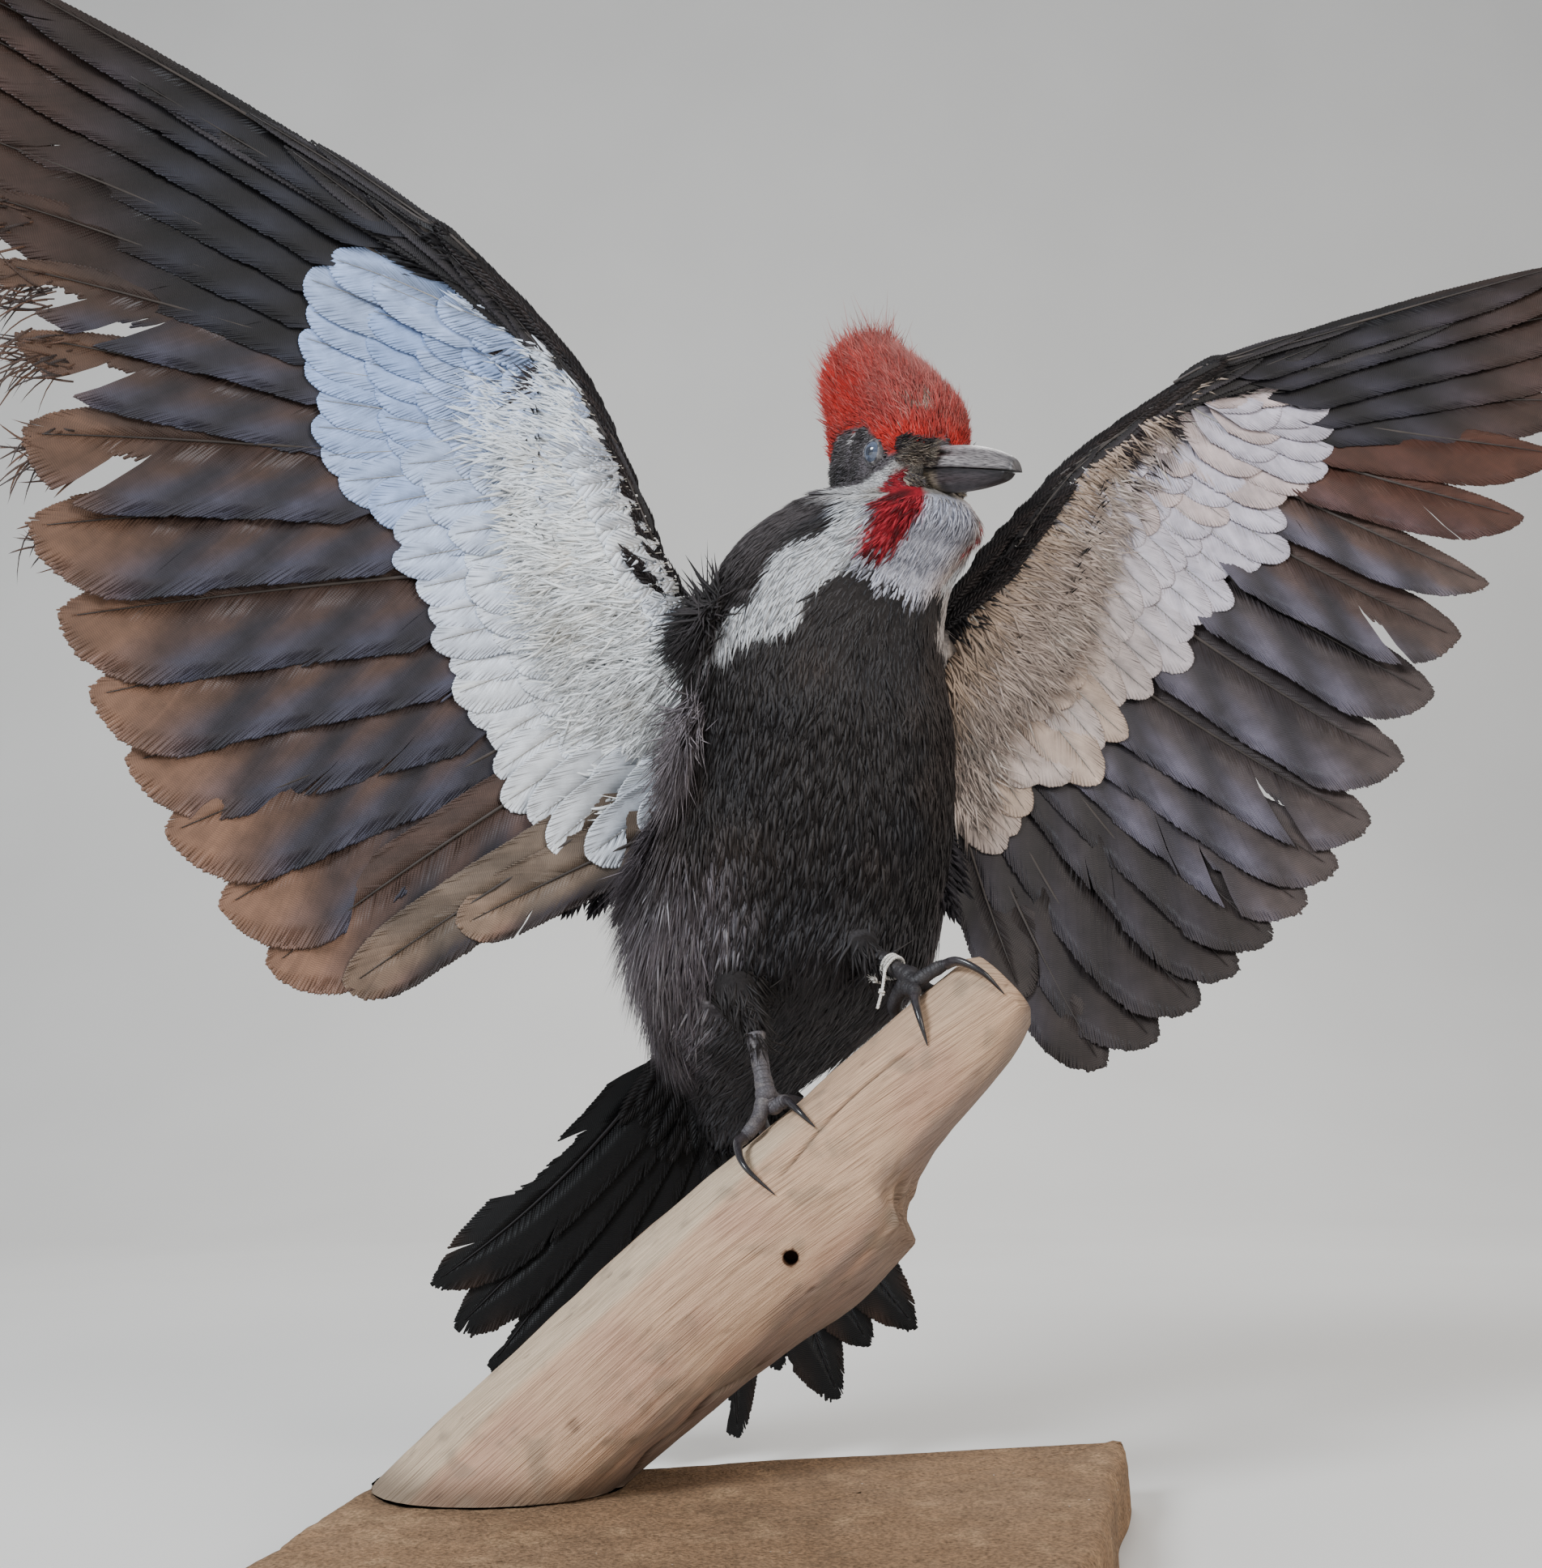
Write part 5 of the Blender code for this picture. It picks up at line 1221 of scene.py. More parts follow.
# --------------------------------------------------------------------------
# feathers with a shaft, and barbs in overlapping strips
# --------------------------------------------------------------------------
def plume(pile, path, side, normal, w_in, w_out, colour, bake, start=0.05, step=1.9, height=None, angles=(46.0, 24.0),
          tip_from=0.62, tip_len=9.0, point=0.6, split=2.5, fray=1.0, shaft=(0.8, 0.18), shaft_colour=None,
          tears=(), shade=1.0, stations=(0.0, 0.35, 0.7, 0.97), shape=(1.0, 1.05, 1.08, 1.0), ridge=0.05, lap=0.74):
    """One feather.  path: shaft from root to tip; side: towards its broad inner vane.
    Each barb leaves the shaft at its own angle and ends on the feather's outline; point rounds or sharpens the tip."""
    cum = np.concatenate([[0.0], np.cumsum(np.linalg.norm(np.diff(path, axis=0), axis=1))])
    length = cum[-1]
    side = np.broadcast_to(side, path.shape)
    normal = np.broadcast_to(normal, path.shape)
    last = unit(path[-1] - path[-3])

    def at(x, y, h):
        q = np.stack([np.interp(x, cum, path[:, i]) for i in range(3)], -1)
        sv = np.stack([np.interp(x, cum, side[:, i]) for i in range(3)], -1)
        nv = np.stack([np.interp(x, cum, normal[:, i]) for i in range(3)], -1)
        q = q + np.maximum(x - length, 0)[..., None] * last + np.minimum(x, 0)[..., None] * unit(path[1] - path[0])
        return q + y[..., None] * sv + h[..., None] * nv

    k = len(stations)
    e = np.array(tuple(stations) + (1.0,))
    full = length + tip_len
    grid = np.linspace(0.0, full, 420)
    for sgn, wide in ((1.0, w_in), (-1.0, w_out)):
        x0 = np.arange(start * length, length + 0.55 * tip_len, step)
        m = len(x0)
        f = x0 / length
        begin = tip_from + (0.06 if sgn > 0 else -0.04)
        outline = wide * (smooth01(grid / length, start - 0.02, start + 0.16) * 0.5 + 0.5) \
            * np.maximum(1 - np.clip((grid / full - begin) / (1 - begin), 0, 1) ** 2.1, 0) ** point
        late = smooth01(x0 / full, begin - 0.04, 0.99)
        a0 = angles[0] * (1 - late) + 17.0 * late
        a1 = angles[1] * (1 - late) + 7.0 * late
        if sgn < 0:
            a0, a1 = a0 * 0.76, a1 * 0.76
        a0[-1] = a1[-1] = 1.0
        mean = np.radians((a0 + a1) / 2)
        past = (grid[None] > x0[:, None]) & (outline[None] <= (grid[None] - x0[:, None]) * np.tan(mean)[:, None])
        hit_at = np.where(past.any(1), np.argmax(past, 1), len(grid) - 1)
        ln = np.maximum((grid[hit_at] - x0) / np.cos(mean), 1.2)
        # half widths that keep neighbouring barbs touching as they fan out
        plain = np.radians(a0[:, None] + (a1 - a0)[:, None] * e[None])
        middle = (plain[:, 1:] + plain[:, :-1]) / 2
        gx = x0[:, None] + np.concatenate([np.zeros((m, 1)), np.cumsum(np.cos(middle) * np.diff(e), 1)], 1) * ln[:, None]
        gy = np.concatenate([np.zeros((m, 1)), np.cumsum(np.sin(middle) * np.diff(e), 1)], 1) * ln[:, None]
        apart = np.abs(np.gradient(gx, axis=0) * np.sin(plain) - np.gradient(gy, axis=0) * np.cos(plain))
        hw = lap * np.clip(apart, 0.16 * step, 2.6 * step)
        # barbs hook together in groups and part between them
        group = np.cumsum(rng.rand(m) < 0.085)
        shift = rng.randn(group[-1] + 1) * split
        shift = np.where(rng.rand(len(shift)) < 0.15, shift * 2.2, shift * 0.4)[group]
        reach = 1 + 0.012 * rng.randn(group[-1] + 1)[group]
        loose = fray * smooth01(x0 / full, 0.80, 0.98)
        turn_by = shift * (0.6 + 0.5 * loose) + rng.randn(m) * (0.15 + 0.9 * loose)
        turn_by[-2:] *= 0.2
        ln = ln * reach * (1 + rng.randn(m) * (0.006 + 0.03 * loose))
        for f0, f1, which, left_share in tears:
            if which * sgn > 0:
                hit = (f > f0) & (f < f1)
                ln = np.where(hit, ln * (left_share + 0.12 * rng.rand(m)), ln)
        a = np.radians(a0[:, None] + (a1 - a0)[:, None] * e[None] + turn_by[:, None] * e[None])
        de = np.diff(e)
        am = (a[:, 1:] + a[:, :-1]) / 2
        xs = np.concatenate([np.zeros((m, 1)), np.cumsum(np.cos(am) * de, 1)], 1) * ln[:, None]
        ys = np.concatenate([np.zeros((m, 1)), np.cumsum(np.sin(am) * de, 1)], 1) * ln[:, None]
        cx, cy = x0[:, None] + xs, ys
        px, py = -np.sin(a), np.cos(a)
        verts = np.empty((m, 3 * k + 1, 3))
        col = np.empty((m, 3 * k + 1, 3))
        lie = np.empty((m, 3 * k + 1, 2))
        uv = np.empty((m, 3 * k + 1, 2))
        flag = np.zeros((m, 3 * k + 1), np.int8)
        along = rng.rand(m) * 30
        light = (1 + 0.035 * rng.randn(m)) * (1 + 0.05 * rng.randn(group[-1] + 1)[group]) * shade
        root_uv = bake(np.clip(f, 0, 1))
        stack = 0.05 * rng.rand(m)
        for i in range(k + 1):
            wd = hw[:, i] * (shape[i] if i < k else 0.0)
            for j, o in enumerate((-1.0, 1.0, 0.0) if i < k else (0.0,)):
                x = cx[:, i] + px[:, i] * wd * o
                y = (cy[:, i] + py[:, i] * wd * o) * sgn
                fx = x / length
                h = height(x, y, fx) if height is not None else 0.0 * x
                h = h + stack + (ridge * wd if o == 0.0 else 0.0)
                vi = 3 * i + j
                verts[:, vi] = at(x, y, h)
                col[:, vi] = colour(fx, np.abs(y) / wide, e[i] + 0 * x, sgn) * light[:, None]
                lie[:, vi] = np.stack([along + o * 0.9 * step * 0.6 * (shape[i] if i < k else 0.3), along + e[i] * ln * 0.4], 1)
                uv[:, vi] = root_uv + np.array([0.0015 * o, 0.003 * e[i] - 0.0015])
            if i < k:
                flag[:, 3 * i], flag[:, 3 * i + 1] = 1, 2
        per = 3 * k + 1
        off = (np.arange(m) * per)[:, None, None]
        q, tr = [], [[1, 0, 2]]
        for i in range(k - 1):
            b0, b1 = 3 * i, 3 * i + 3
            q += [[b0, b1, b1 + 2, b0 + 2], [b0 + 2, b1 + 2, b1 + 1, b0 + 1], [b0 + 1, b1 + 1, b1, b0]]
        b0, tip = 3 * (k - 1), 3 * k
        tr += [[b0, tip, b0 + 2], [b0 + 2, tip, b0 + 1], [b0 + 1, tip, b0]]
        q, tr = np.array(q), np.array(tr)
        if sgn < 0:
            q, tr = q[:, ::-1], tr[:, ::-1]
        pile.add(verts.reshape(-1, 3), [(tr[None] + off).reshape(-1, 3), (q[None] + off).reshape(-1, 4)],
                 col.reshape(-1, 3), uv.reshape(-1, 2), lie.reshape(-1, 2), flag.reshape(-1))
    # shaft
    n = max(6, int(length / 9.0))
    x = np.linspace(0, length + 0.5 * tip_len, n)
    h = height(x, 0 * x, x / length) if height is not None else 0 * x
    line = at(x, 0 * x, h + 0.12)
    rad = np.interp(x / length, [0, 0.5, 1.0, 1.1], [shaft[0], shaft[0] * 0.62, shaft[1], shaft[1] * 0.5])
    rings = tube_rings(line, rad, 6)
    verts, faces = loft_arrays(rings)
    tone = shaft_colour if shaft_colour is not None else colour(np.array([0.5]), np.array([0.0]), np.array([0.0]), 1.0)[0] * 1.6
    tone = np.asarray(tone)
    fall = np.concatenate([np.repeat(np.linspace(1.0, 0.45, n), 6), [1.0, 0.45]])
    root_uv = bake(np.array([0.0]))
    pile.add(verts, faces[::-1], tone[None] * fall[:, None], np.repeat(root_uv, len(verts), 0),
             np.zeros((len(verts), 2)), np.zeros(len(verts), np.int8))


def wing_thick(u, s):
    arm = through(ARM, u)
    vane = through([(-0.5, 1.2), (4, 1.6), (9, 1.8), (21, 2.0)], u)
    ks = [0.0, 0.07, 0.22, 0.42, 0.62, 1.0]
    vals = np.stack([arm * 0.35, arm * 0.9, arm, arm * 0.35 + vane * 0.65, vane, 1.0 + 0 * arm], -1)
    s = np.asarray(s, float)
    out = np.empty(np.broadcast(arm, s).shape)
    a_, s_ = np.broadcast_arrays(np.arange(vals.reshape(-1, 6).shape[0]).reshape(arm.shape), s)
    flat = vals.reshape(-1, 6)
    out = np.array([np.interp(sv, ks, flat[i]) for i, sv in zip(a_.ravel(), s_.ravel())]).reshape(a_.shape)
    return out


def rib_line(side, u, n=90):
    ss = np.linspace(0, 1, n)
    pts = rib(side, np.full(n, float(u)), ss)
    return ss, pts, np.concatenate([[0.0], np.cumsum(np.linalg.norm(np.diff(pts, axis=0), axis=1))])


def inside(poly, pts):
    poly = np.asarray(poly, float)
    x, y = pts[..., 0], pts[..., 1]
    hit = np.zeros(x.shape, bool)
    j = len(poly) - 1
    for i in range(len(poly)):
        xi, yi, xj, yj = poly[i][0], poly[i][1], poly[j][0], poly[j][1]
        cross = ((yi > y) != (yj > y)) & (x < (xj - xi) * (y - yi) / (yj - yi + 1e-9) + xi)
        hit ^= cross
        j = i
    return hit


# each flight feather, outermost first: where the lining ends over it and where its own tip lies, (out, back)
QUILLS = {
    "right": [((158, -47), (323, -14)), ((168, -38), (331, -3)), ((173, -28), (327, 10)), ((174, -18), (318, 24)),
              ((170, -6), (300, 38)), ((164, 4), (279, 51)), ((156, 14), (257, 66)), ((142, 27), (236, 81)),
              ((124, 37), (212, 107)), ((103, 43), (190, 132)), ((77, 60), (163, 151)), ((58, 70), (138, 167)),
              ((41, 79), (114, 178)), ((24, 81), (88, 190)), ((10, 88), (57, 200)), ((-6, 98), (31, 207)),
              ((-30, 104), (5, 197)), ((-44, 100), (-14, 156))],
    "left": [((165, -40), (331, -8)), ((176, -34), (339, 2)), ((184, -26), (330, 16)), ((190, -17), (317, 32)),
             ((194, -8), (292, 48)), ((192, 0), (266, 66)), ((178, 14), (232, 83)), ((158, 21), (200, 100)),
             ((135, 34), (173, 114)), ((112, 42), (147, 129)), ((80, 52), (117, 146)), ((48, 66), (89, 160)),
             ((30, 72), (66, 168)), ((18, 75), (46, 174)), ((7, 75), (26, 178)), ((-3, 73), (6, 182)),
             ((-14, 75), (-14, 185)), ((-28, 84), (-36, 188)), ((-42, 94), (-58, 186)), ((-52, 96), (-68, 150))],
}
def wing_raster(side):
    u, s = np.meshgrid(np.linspace(-0.5, 21, 60), np.linspace(0, 1, 70), indexing="ij")
    u, s = u.ravel(), s.ravel()
    pts = rib(side, u, s)
    vals = np.stack([camber(u, s), wing_thick(u, s), u, s], -1)
    gx, gy = np.arange(-110.0, 360.0, 3.0), np.arange(-90.0, 230.0, 3.0)
    found = np.empty((len(gx), len(gy), 4))
    for i, x in enumerate(gx):
        found[i] = vals[np.argmin((pts[None, :, 0] - x) ** 2 + (pts[None, :, 1] - gy[:, None]) ** 2, 1)]
    for _ in range(2):
        pad = np.pad(found, ((1, 1), (1, 1), (0, 0)), mode="edge")
        found = (pad[:-2, 1:-1] + pad[2:, 1:-1] + pad[1:-1, :-2] + pad[1:-1, 2:] + 2 * pad[1:-1, 1:-1]) / 6
    return found


RASTER = {side: wing_raster(side) for side, _ in SIDES}


def wing_look(side, ob):
    """Camber, thickness, u and s of the wing at (out, back)."""
    g = RASTER[side]
    x = np.clip((ob[..., 0] + 110.0) / 3.0, 0, g.shape[0] - 1.001)
    y = np.clip((ob[..., 1] + 90.0) / 3.0, 0, g.shape[1] - 1.001)
    i, j = x.astype(int), y.astype(int)
    fx, fy = (x - i)[..., None], (y - j)[..., None]
    return g[i, j] * (1 - fx) * (1 - fy) + g[i + 1, j] * fx * (1 - fy) + g[i, j + 1] * (1 - fx) * fy + g[i + 1, j + 1] * fx * fy


def wing_place(side, ob, lift, face=0.0):
    """Point over the wing's middle surface, or over its lower (face 1) or upper (face -1) one."""
    o, out, back, under = AXES[side]
    look = wing_look(side, ob)
    h = look[..., 0] + face * look[..., 1] / 2 * 0.86 + lift
    return o + ob[..., :1] * out + ob[..., 1:] * back + np.asarray(h)[..., None] * under


def quill_ends(side, k):
    rows = np.array(QUILLS[side], float)
    n = np.arange(len(rows))
    b = np.array([np.interp(k, n, rows[:, 0, i]) for i in (0, 1)])
    t = np.array([np.interp(k, n, rows[:, 1, i]) for i in (0, 1)])
    return b, t


def arc(a, b, bow, n):
    """Shallow curve from a to b in the wing's plane, bowed towards the front edge."""
    v = b - a
    side_v = np.array([-v[1], v[0]])
    side_v = side_v * (-1.0 if side_v[1] > 0 else 1.0)
    ctrl = (a + b) / 2 + side_v * bow
    q = np.linspace(0, 1, n)[:, None]
    return a * (1 - q) ** 2 + ctrl * 2 * q * (1 - q) + b * q * q


def wing_path(side, u0, u1, s0, s1, n, lift0, lift1, under_side=1.0):
    q = np.linspace(0, 1, n)
    u = u0 + (u1 - u0) * q
    s = s0 + (s1 - s0) * q
    skin_h = wing_thick(u, np.clip(s, 0, 1)) / 2 * 0.86
    lift = under_side * (skin_h + lift0 + (lift1 - lift0) * q)
    return wing_at(side, u, s, lift), u, s


def side_of(side, path, under):
    """Across a feather, towards the wing's hind edge and the body."""
    o, out, back, _ = AXES[side]
    tan = unit(np.gradient(path, axis=0))
    v = np.cross(under, tan)
    ref = back - out * 0.6
    return unit(v * np.sign((v * ref).sum(1, keepdims=True)))


def wing_bake(u, s0, s1):
    return lambda f: np.stack([np.full(len(np.atleast_1d(f)), 0.03 + 0.94 * (u + 0.5) / 22.0),
                               0.03 + 0.94 * np.clip(s0 + (s1 - s0) * np.atleast_1d(f), 0, 1)], -1)


# slate of the flight feathers, and slate with a painted bluish sheen for their inner vanes
SLATE = srgb(40, 37, 41)
BLUE_SHEEN_SLATE = srgb(62, 62, 76)


def bake_at(side, ob):
    us = wing_look(side, ob)[..., 2:]
    first, last = us[0], us[-1]
    return lambda f: np.stack([0.03 + 0.94 * (first[0] + (last[0] - first[0]) * np.clip(np.atleast_1d(f), 0, 1) + 0.5) / 22.0,
                               0.03 + 0.94 * np.clip(first[1] + (last[1] - first[1]) * np.clip(np.atleast_1d(f), 0, 1), 0, 1)], -1)


for side, sign in SIDES:
    o, out, back, under = AXES[side]
    flight = Pile()
    right = side == "right"
    count = len(QUILLS[side])
    for k in range(count):
        b, t = quill_ends(side, k)
        hand = k < 8
        v = unit(t - b)
        tip_len = 12.0
        root = b - v * np.interp(k, [0, 3, 8, count], [8, 24, 40, 34])
        bow = float(np.interp(k, [0, 4, 8, 12, 19], [0.085, 0.08, 0.05, 0.03, 0.02]))
        ob = arc(root, t, bow, 40)
        cum = np.concatenate([[0.0], np.cumsum(np.linalg.norm(np.diff(ob, axis=0), axis=1))])
        keep_to = np.interp(np.linspace(0, cum[-1] - tip_len, 36), cum, np.arange(40))
        ob = np.stack([np.interp(keep_to, np.arange(40), ob[:, i]) for i in (0, 1)], -1)
        path = wing_place(side, ob, 0.4 * rng.randn() * 0.5)
        sv = side_of(side, path, under)
        nb, nt = quill_ends(side, k + 1.0)
        gap_to = [abs(float(np.cross(v, (nb + (nt - nb) * w_at) - (b + (t - b) * w_at)))) for w_at in (0.55, 0.75, 0.9)] \
            if k < count - 1 else [18.0]
        w_in = float(np.clip(max(gap_to) * 1.18, 14.0, 23.0 if hand else 30.0)) * (0.97 + 0.07 * rng.rand())
        w_out = (4.0 if k == 0 else 7.5 if hand else 12.0)
        if k == count - 1:
            w_in = 13.0
        twist = 0.12 if not hand else 0.08
        wave = (31.0 if right else 36.0) + 7 * rng.rand()
        phase = rng.rand() * 6.28
        depth = (0.3 if hand and k < 6 else 0.8) * (0.7 + 0.5 * rng.rand())
        droop = 0.4 * rng.randn()

        def height(x, y, f, twist=twist, wave=wave, phase=phase, depth=depth, w_in=w_in, droop=droop):
            ripple = depth * np.sin(2 * np.pi * (x - 1.1 * np.abs(y)) / wave + phase) * np.clip(np.abs(y) / w_in, 0, 1)
            belly = -0.5 * (np.abs(y) / w_in) ** 2
            return twist * y + ripple * smooth01(f, 0.25, 0.5) + belly + droop * smooth01(f, 0.6, 1.0)

        warm = rng.rand()

        def colour(f, v, e, sgn, k=k, hand=hand, right=right, warm=warm, wave=wave, phase=phase, long=cum[-1], w_in=w_in):
            base = np.broadcast_to(SLATE, f.shape + (3,))
            # painted light and shade of the folds: the bluish share of the inner vane, the edge of the brown and the
            # brightness rise and fall with the same wave as the vane's ripples
            fold_shading = np.sin(2 * np.pi * (f * long - 1.1 * v * w_in) / wave + phase)
            if hand and k < 6:
                base = base * 0.30
                # inner vane: dark slate with a painted bluish sheen
                c = blend(base, srgb(42, 44, 56) if right else srgb(52, 50, 62), (0.35 + 0.25 * fold_shading) * smooth01(v, 0.15, 0.8) if sgn > 0 else 0 * v)
                c = blend(c, srgb(66, 46, 37), (0.7 if 1 <= k <= 6 else 0.3) * smooth01(f + 0.12 * v, 0.60, 1.0))
            else:
                # inner vane: slate with a painted bluish sheen
                inner = BLUE_SHEEN_SLATE if right else srgb(88, 84, 96)
                c = blend(base, inner, np.clip(0.62 + 0.38 * fold_shading, 0, 1) * smooth01(v, 0.22, 0.62) if sgn > 0 else 0 * v)
                brown = srgb(80, 60, 50) if right or k < 9 else srgb(66, 58, 57)
                if right and k < 12:
                    brown = brown * (0.62 + 0.06 * max(0, k - 6))
                edge_v = 0.42 + 0.07 * fold_shading
                share = (1 - smooth01(v, edge_v - 0.08, edge_v + 0.08)) if sgn > 0 else 0.9 + 0 * v
                c = blend(c, brown, share * (0.6 + 0.3 * warm))
                # pale tips: faded brown, lightened further with painted light shining through the thin vane
                faded_backlit_tip = srgb(138, 104, 84) * (0.42 + 0.58 * float(np.clip((k - 6) / 6.0, 0, 1))) if right else srgb(84, 72, 68)
                c = blend(c, faded_backlit_tip, (0.72 if right else 0.45) * smooth01(f + 0.10 * (1 - v), 0.84, 1.06))
            if right and k >= 16:
                c = blend(c, srgb(120, 106, 92), 0.6 * (1 - smooth01(v, 0.45, 0.75)) if sgn > 0 else 0.6 + 0 * v)
                c = blend(c, srgb(56, 48, 46), smooth01(v, 0.6, 0.85) if sgn > 0 else 0 * v)
            if not right and k in (5, 6):
                c = blend(c, srgb(74, 43, 31), 0.75 + 0 * f)
            if not right and k > 13:
                c = blend(c, srgb(36, 31, 30), 0.76 + 0 * f)
            # painted light and shade: brighter and darker in step with the ripples
            return c * (1 + 0.14 * fold_shading[..., None] * smooth01(v, 0.1, 0.4)[..., None])

        tears = []
        if right and k in (7, 8):
            tears.append((0.74, 0.82, 1.0, 0.25))
        if right and k == 6:
            tears += [(0.60, 0.68, 1.0, 0.45), (0.80, 0.90, 1.0, 0.3)]
        if not right and k in (8, 11, 13):
            tears.append((0.68, 0.75, 1.0, 0.4))
        if rng.rand() < 0.3:
            f0 = 0.5 + 0.35 * rng.rand()
            tears.append((f0, f0 + 0.010, 1.0, 0.6))
        plume(flight, path, sv, under, w_in, w_out, colour, bake_at(side, ob), start=0.02, step=1.6,
              height=height, tip_from=0.62 if hand else 0.76, tip_len=tip_len, point=0.62 if hand else 0.5,
              split=1.3 if right else 1.8, fray=(1.6 if 4 < k < 12 else 0.7) if right else 1.2, shaft=(1.0, 0.2),
              shaft_colour=srgb(96, 88, 84) if hand else srgb(84, 76, 72), tears=tears, shade=0.90 + 0.16 * rng.rand())
    # narrow dark feathers along the front edge, over the roots of the outer primaries
    for a, b, w in (((150, -50.5), (226, -41), 2.6), ((134, -51), (200, -48), 3.0), ((118, -46), (266, -22), 5.5), ((98, -42), (206, -40), 5.0), ((84, -41), (172, -45), 4.2), ((66, -37), (138, -46), 4.0),
                    ((50, -30), (112, -45), 3.6), ((34, -19), (84, -41), 3.4), ((16, -8), (60, -32), 3.4)):
        a, b = np.array(a, float), np.array(b, float)
        if not right:
            a, b = a + [4, 7.5], b + [4, 8]
        ob = arc(a, b, 0.03, 20)
        path = wing_place(side, ob, 1.2 + 0.6 * np.linspace(0, 1, 20), 1.0)
        plume(flight, path, side_of(side, path, under), under, w, w * 0.8,
              lambda f, v, e, sgn: blend(np.broadcast_to(srgb(24, 22, 24), f.shape + (3,)), srgb(62, 58, 64), 0.6 * smooth01(v, 0.3, 0.9) * smooth01(f, 0.3, 0.8)),
              bake_at(side, ob), start=0.04, step=1.7, height=lambda x, y, f: 0.05 * y - 0.02 * y * y, tip_from=0.6,
              tip_len=8.0, point=0.8, split=1.5, fray=0.8, shaft=(0.6, 0.2), shaft_colour=srgb(92, 86, 84))
    if right:
        # torn barbs that hang in curls off the outer secondaries
        curls = Pile()
        for k, many in ((5, 26), (6, 46), (7, 40), (8, 30), (9, 16)):
            b, t = quill_ends(side, k)
            v = unit(t - b)
            w_ = np.array([-v[1], v[0]]) * (1.0 if v[0] > 0 else -1.0)
            at_ = b + (t - b) * rng.uniform(0.80, 0.99, many)[:, None] + w_ * rng.uniform(-4, 12, many)[:, None]
            pts = wing_place(side, at_, 0.6 + 1.4 * rng.rand(many))
            aim2 = v + w_ * rng.uniform(-0.2, 0.9, many)[:, None]
            d3 = unit(aim2[:, :1] * out + aim2[:, 1:] * back)
            tone_ = np.array([srgb(92, 66, 52), srgb(74, 55, 46), srgb(56, 45, 42)])[rng.randint(0, 3, many)]
            look_ = wing_look(side, at_)
            blades(curls, p=pts, d=d3, n=np.tile(under, (many, 1)), length=rng.uniform(11, 23, many), half=rng.uniform(0.28, 0.5, many),
                   lift=rng.uniform(0.0, 0.25, many), settle=rng.uniform(0.0, 0.3, many), sweep=rng.uniform(-0.75, 0.55, many),
                   tip_c=tone_, root_c=tone_ * 0.8, stations=(0.0, 0.22, 0.44, 0.66, 0.86), shape=(0.8, 1.0, 1.0, 0.9, 0.6),
                   bake=np.stack([0.03 + 0.94 * np.clip((look_[:, 2] + 0.5) / 22.0, 0, 1), 0.03 + 0.94 * np.clip(look_[:, 3], 0, 1)], -1))
        curls.build("torn_barbs_right", VANE, "wing_plumage")
    quill = flight.build("flight_feathers_" + side, VANE, "wing_plumage")
    print("flight", side, flight.tris)

    # lining: long pale coverts fanned over the roots of the flight feathers, each row under the next one forward
    cover = Pile()
    limit = np.array(PALE_FRONT[side], float).T
    for row in range(5):
        if row == 3:
            cover.build("lining_coverts_outer_" + side, SOFT, "wing_plumage")
            print("lining outer", side, cover.tris)
            cover = Pile()
        ln = (66, 60, 52, 42, 34)[row]
        half_w = (12.8, 12.0, 11.0, 9.4, 8.2, 7.2)[row]
        inset = (-7.0, 16.0, 36.0, 54.0, 70.0)[row]
        apart = (9.8, 9.0, 8.2, 7.2, 6.6, 6.2)[row]
        last_tip, k = None, 0.8 + 0.2 * (row % 2)
        while k < count - 1:
            b, t = quill_ends(side, k)
            v = unit(t - b)
            tip_ob = b - v * inset
            if last_tip is not None and np.linalg.norm(tip_ob - last_tip) < apart * (1.12 if row < 3 else 1.3):
                k += 0.04
                continue
            last_tip = tip_ob
            k += 0.04
            jag = 5.0 if row == 0 and 7 < k < 16 else 1.6
            tip_ob = tip_ob - v * jag * rng.randn()
            front = np.interp(tip_ob[0], *limit)
            if tip_ob[1] - front < 4.0 or tip_ob[0] < -52:
                continue
            root_ob = tip_ob - v * ln * (0.92 + 0.16 * rng.rand())
            ob = arc(root_ob, tip_ob - v * 6.0, 0.04 + 0.02 * rng.randn(), 16)
            room = ob[:, 1] - np.interp(ob[:, 0], *limit) > 2.5
            if room.sum() < (9 if row < 3 else 7):
                continue
            ob = ob[np.argmax(room):]
            q = np.linspace(0, 1, len(ob))
            fluffy = row >= 3
            path = wing_place(side, ob, 0.5 + 0.4 * row + 0.55 * q + 0.25 * rng.rand(), 1.0)
            sv = side_of(side, path, under)
            o_, b_ = tip_ob
            spotted = ((84 < o_ < 112 and -36 < b_ < -16) if right else (96 < o_ < 132 and -34 < b_ < -8)) and rng.rand() < 0.75
            w = half_w * (0.85 + 0.30 * rng.rand()) * min(1.0, 0.45 + (tip_ob[1] - front) / 30.0)
            tw = 0.02 + 0.02 * rng.rand()
            # painted warm light: a beige cast, strong on the left wing near the body
            warm_light_cast = float(smooth01(np.array(-o_), -105, -10)) * (0.06 if right else 0.85) * (0.6 + 0.4 * rng.rand())
            # painted cool light: a blue cast, stronger towards the wing's outer part
            cool_light_cast = float(smooth01(np.array(o_), 30, 130))
            tint_by = rng.rand()

            def height(x, y, f, tw=tw, w=w):
                return tw * y - 0.35 * (np.abs(y) / w) ** 2

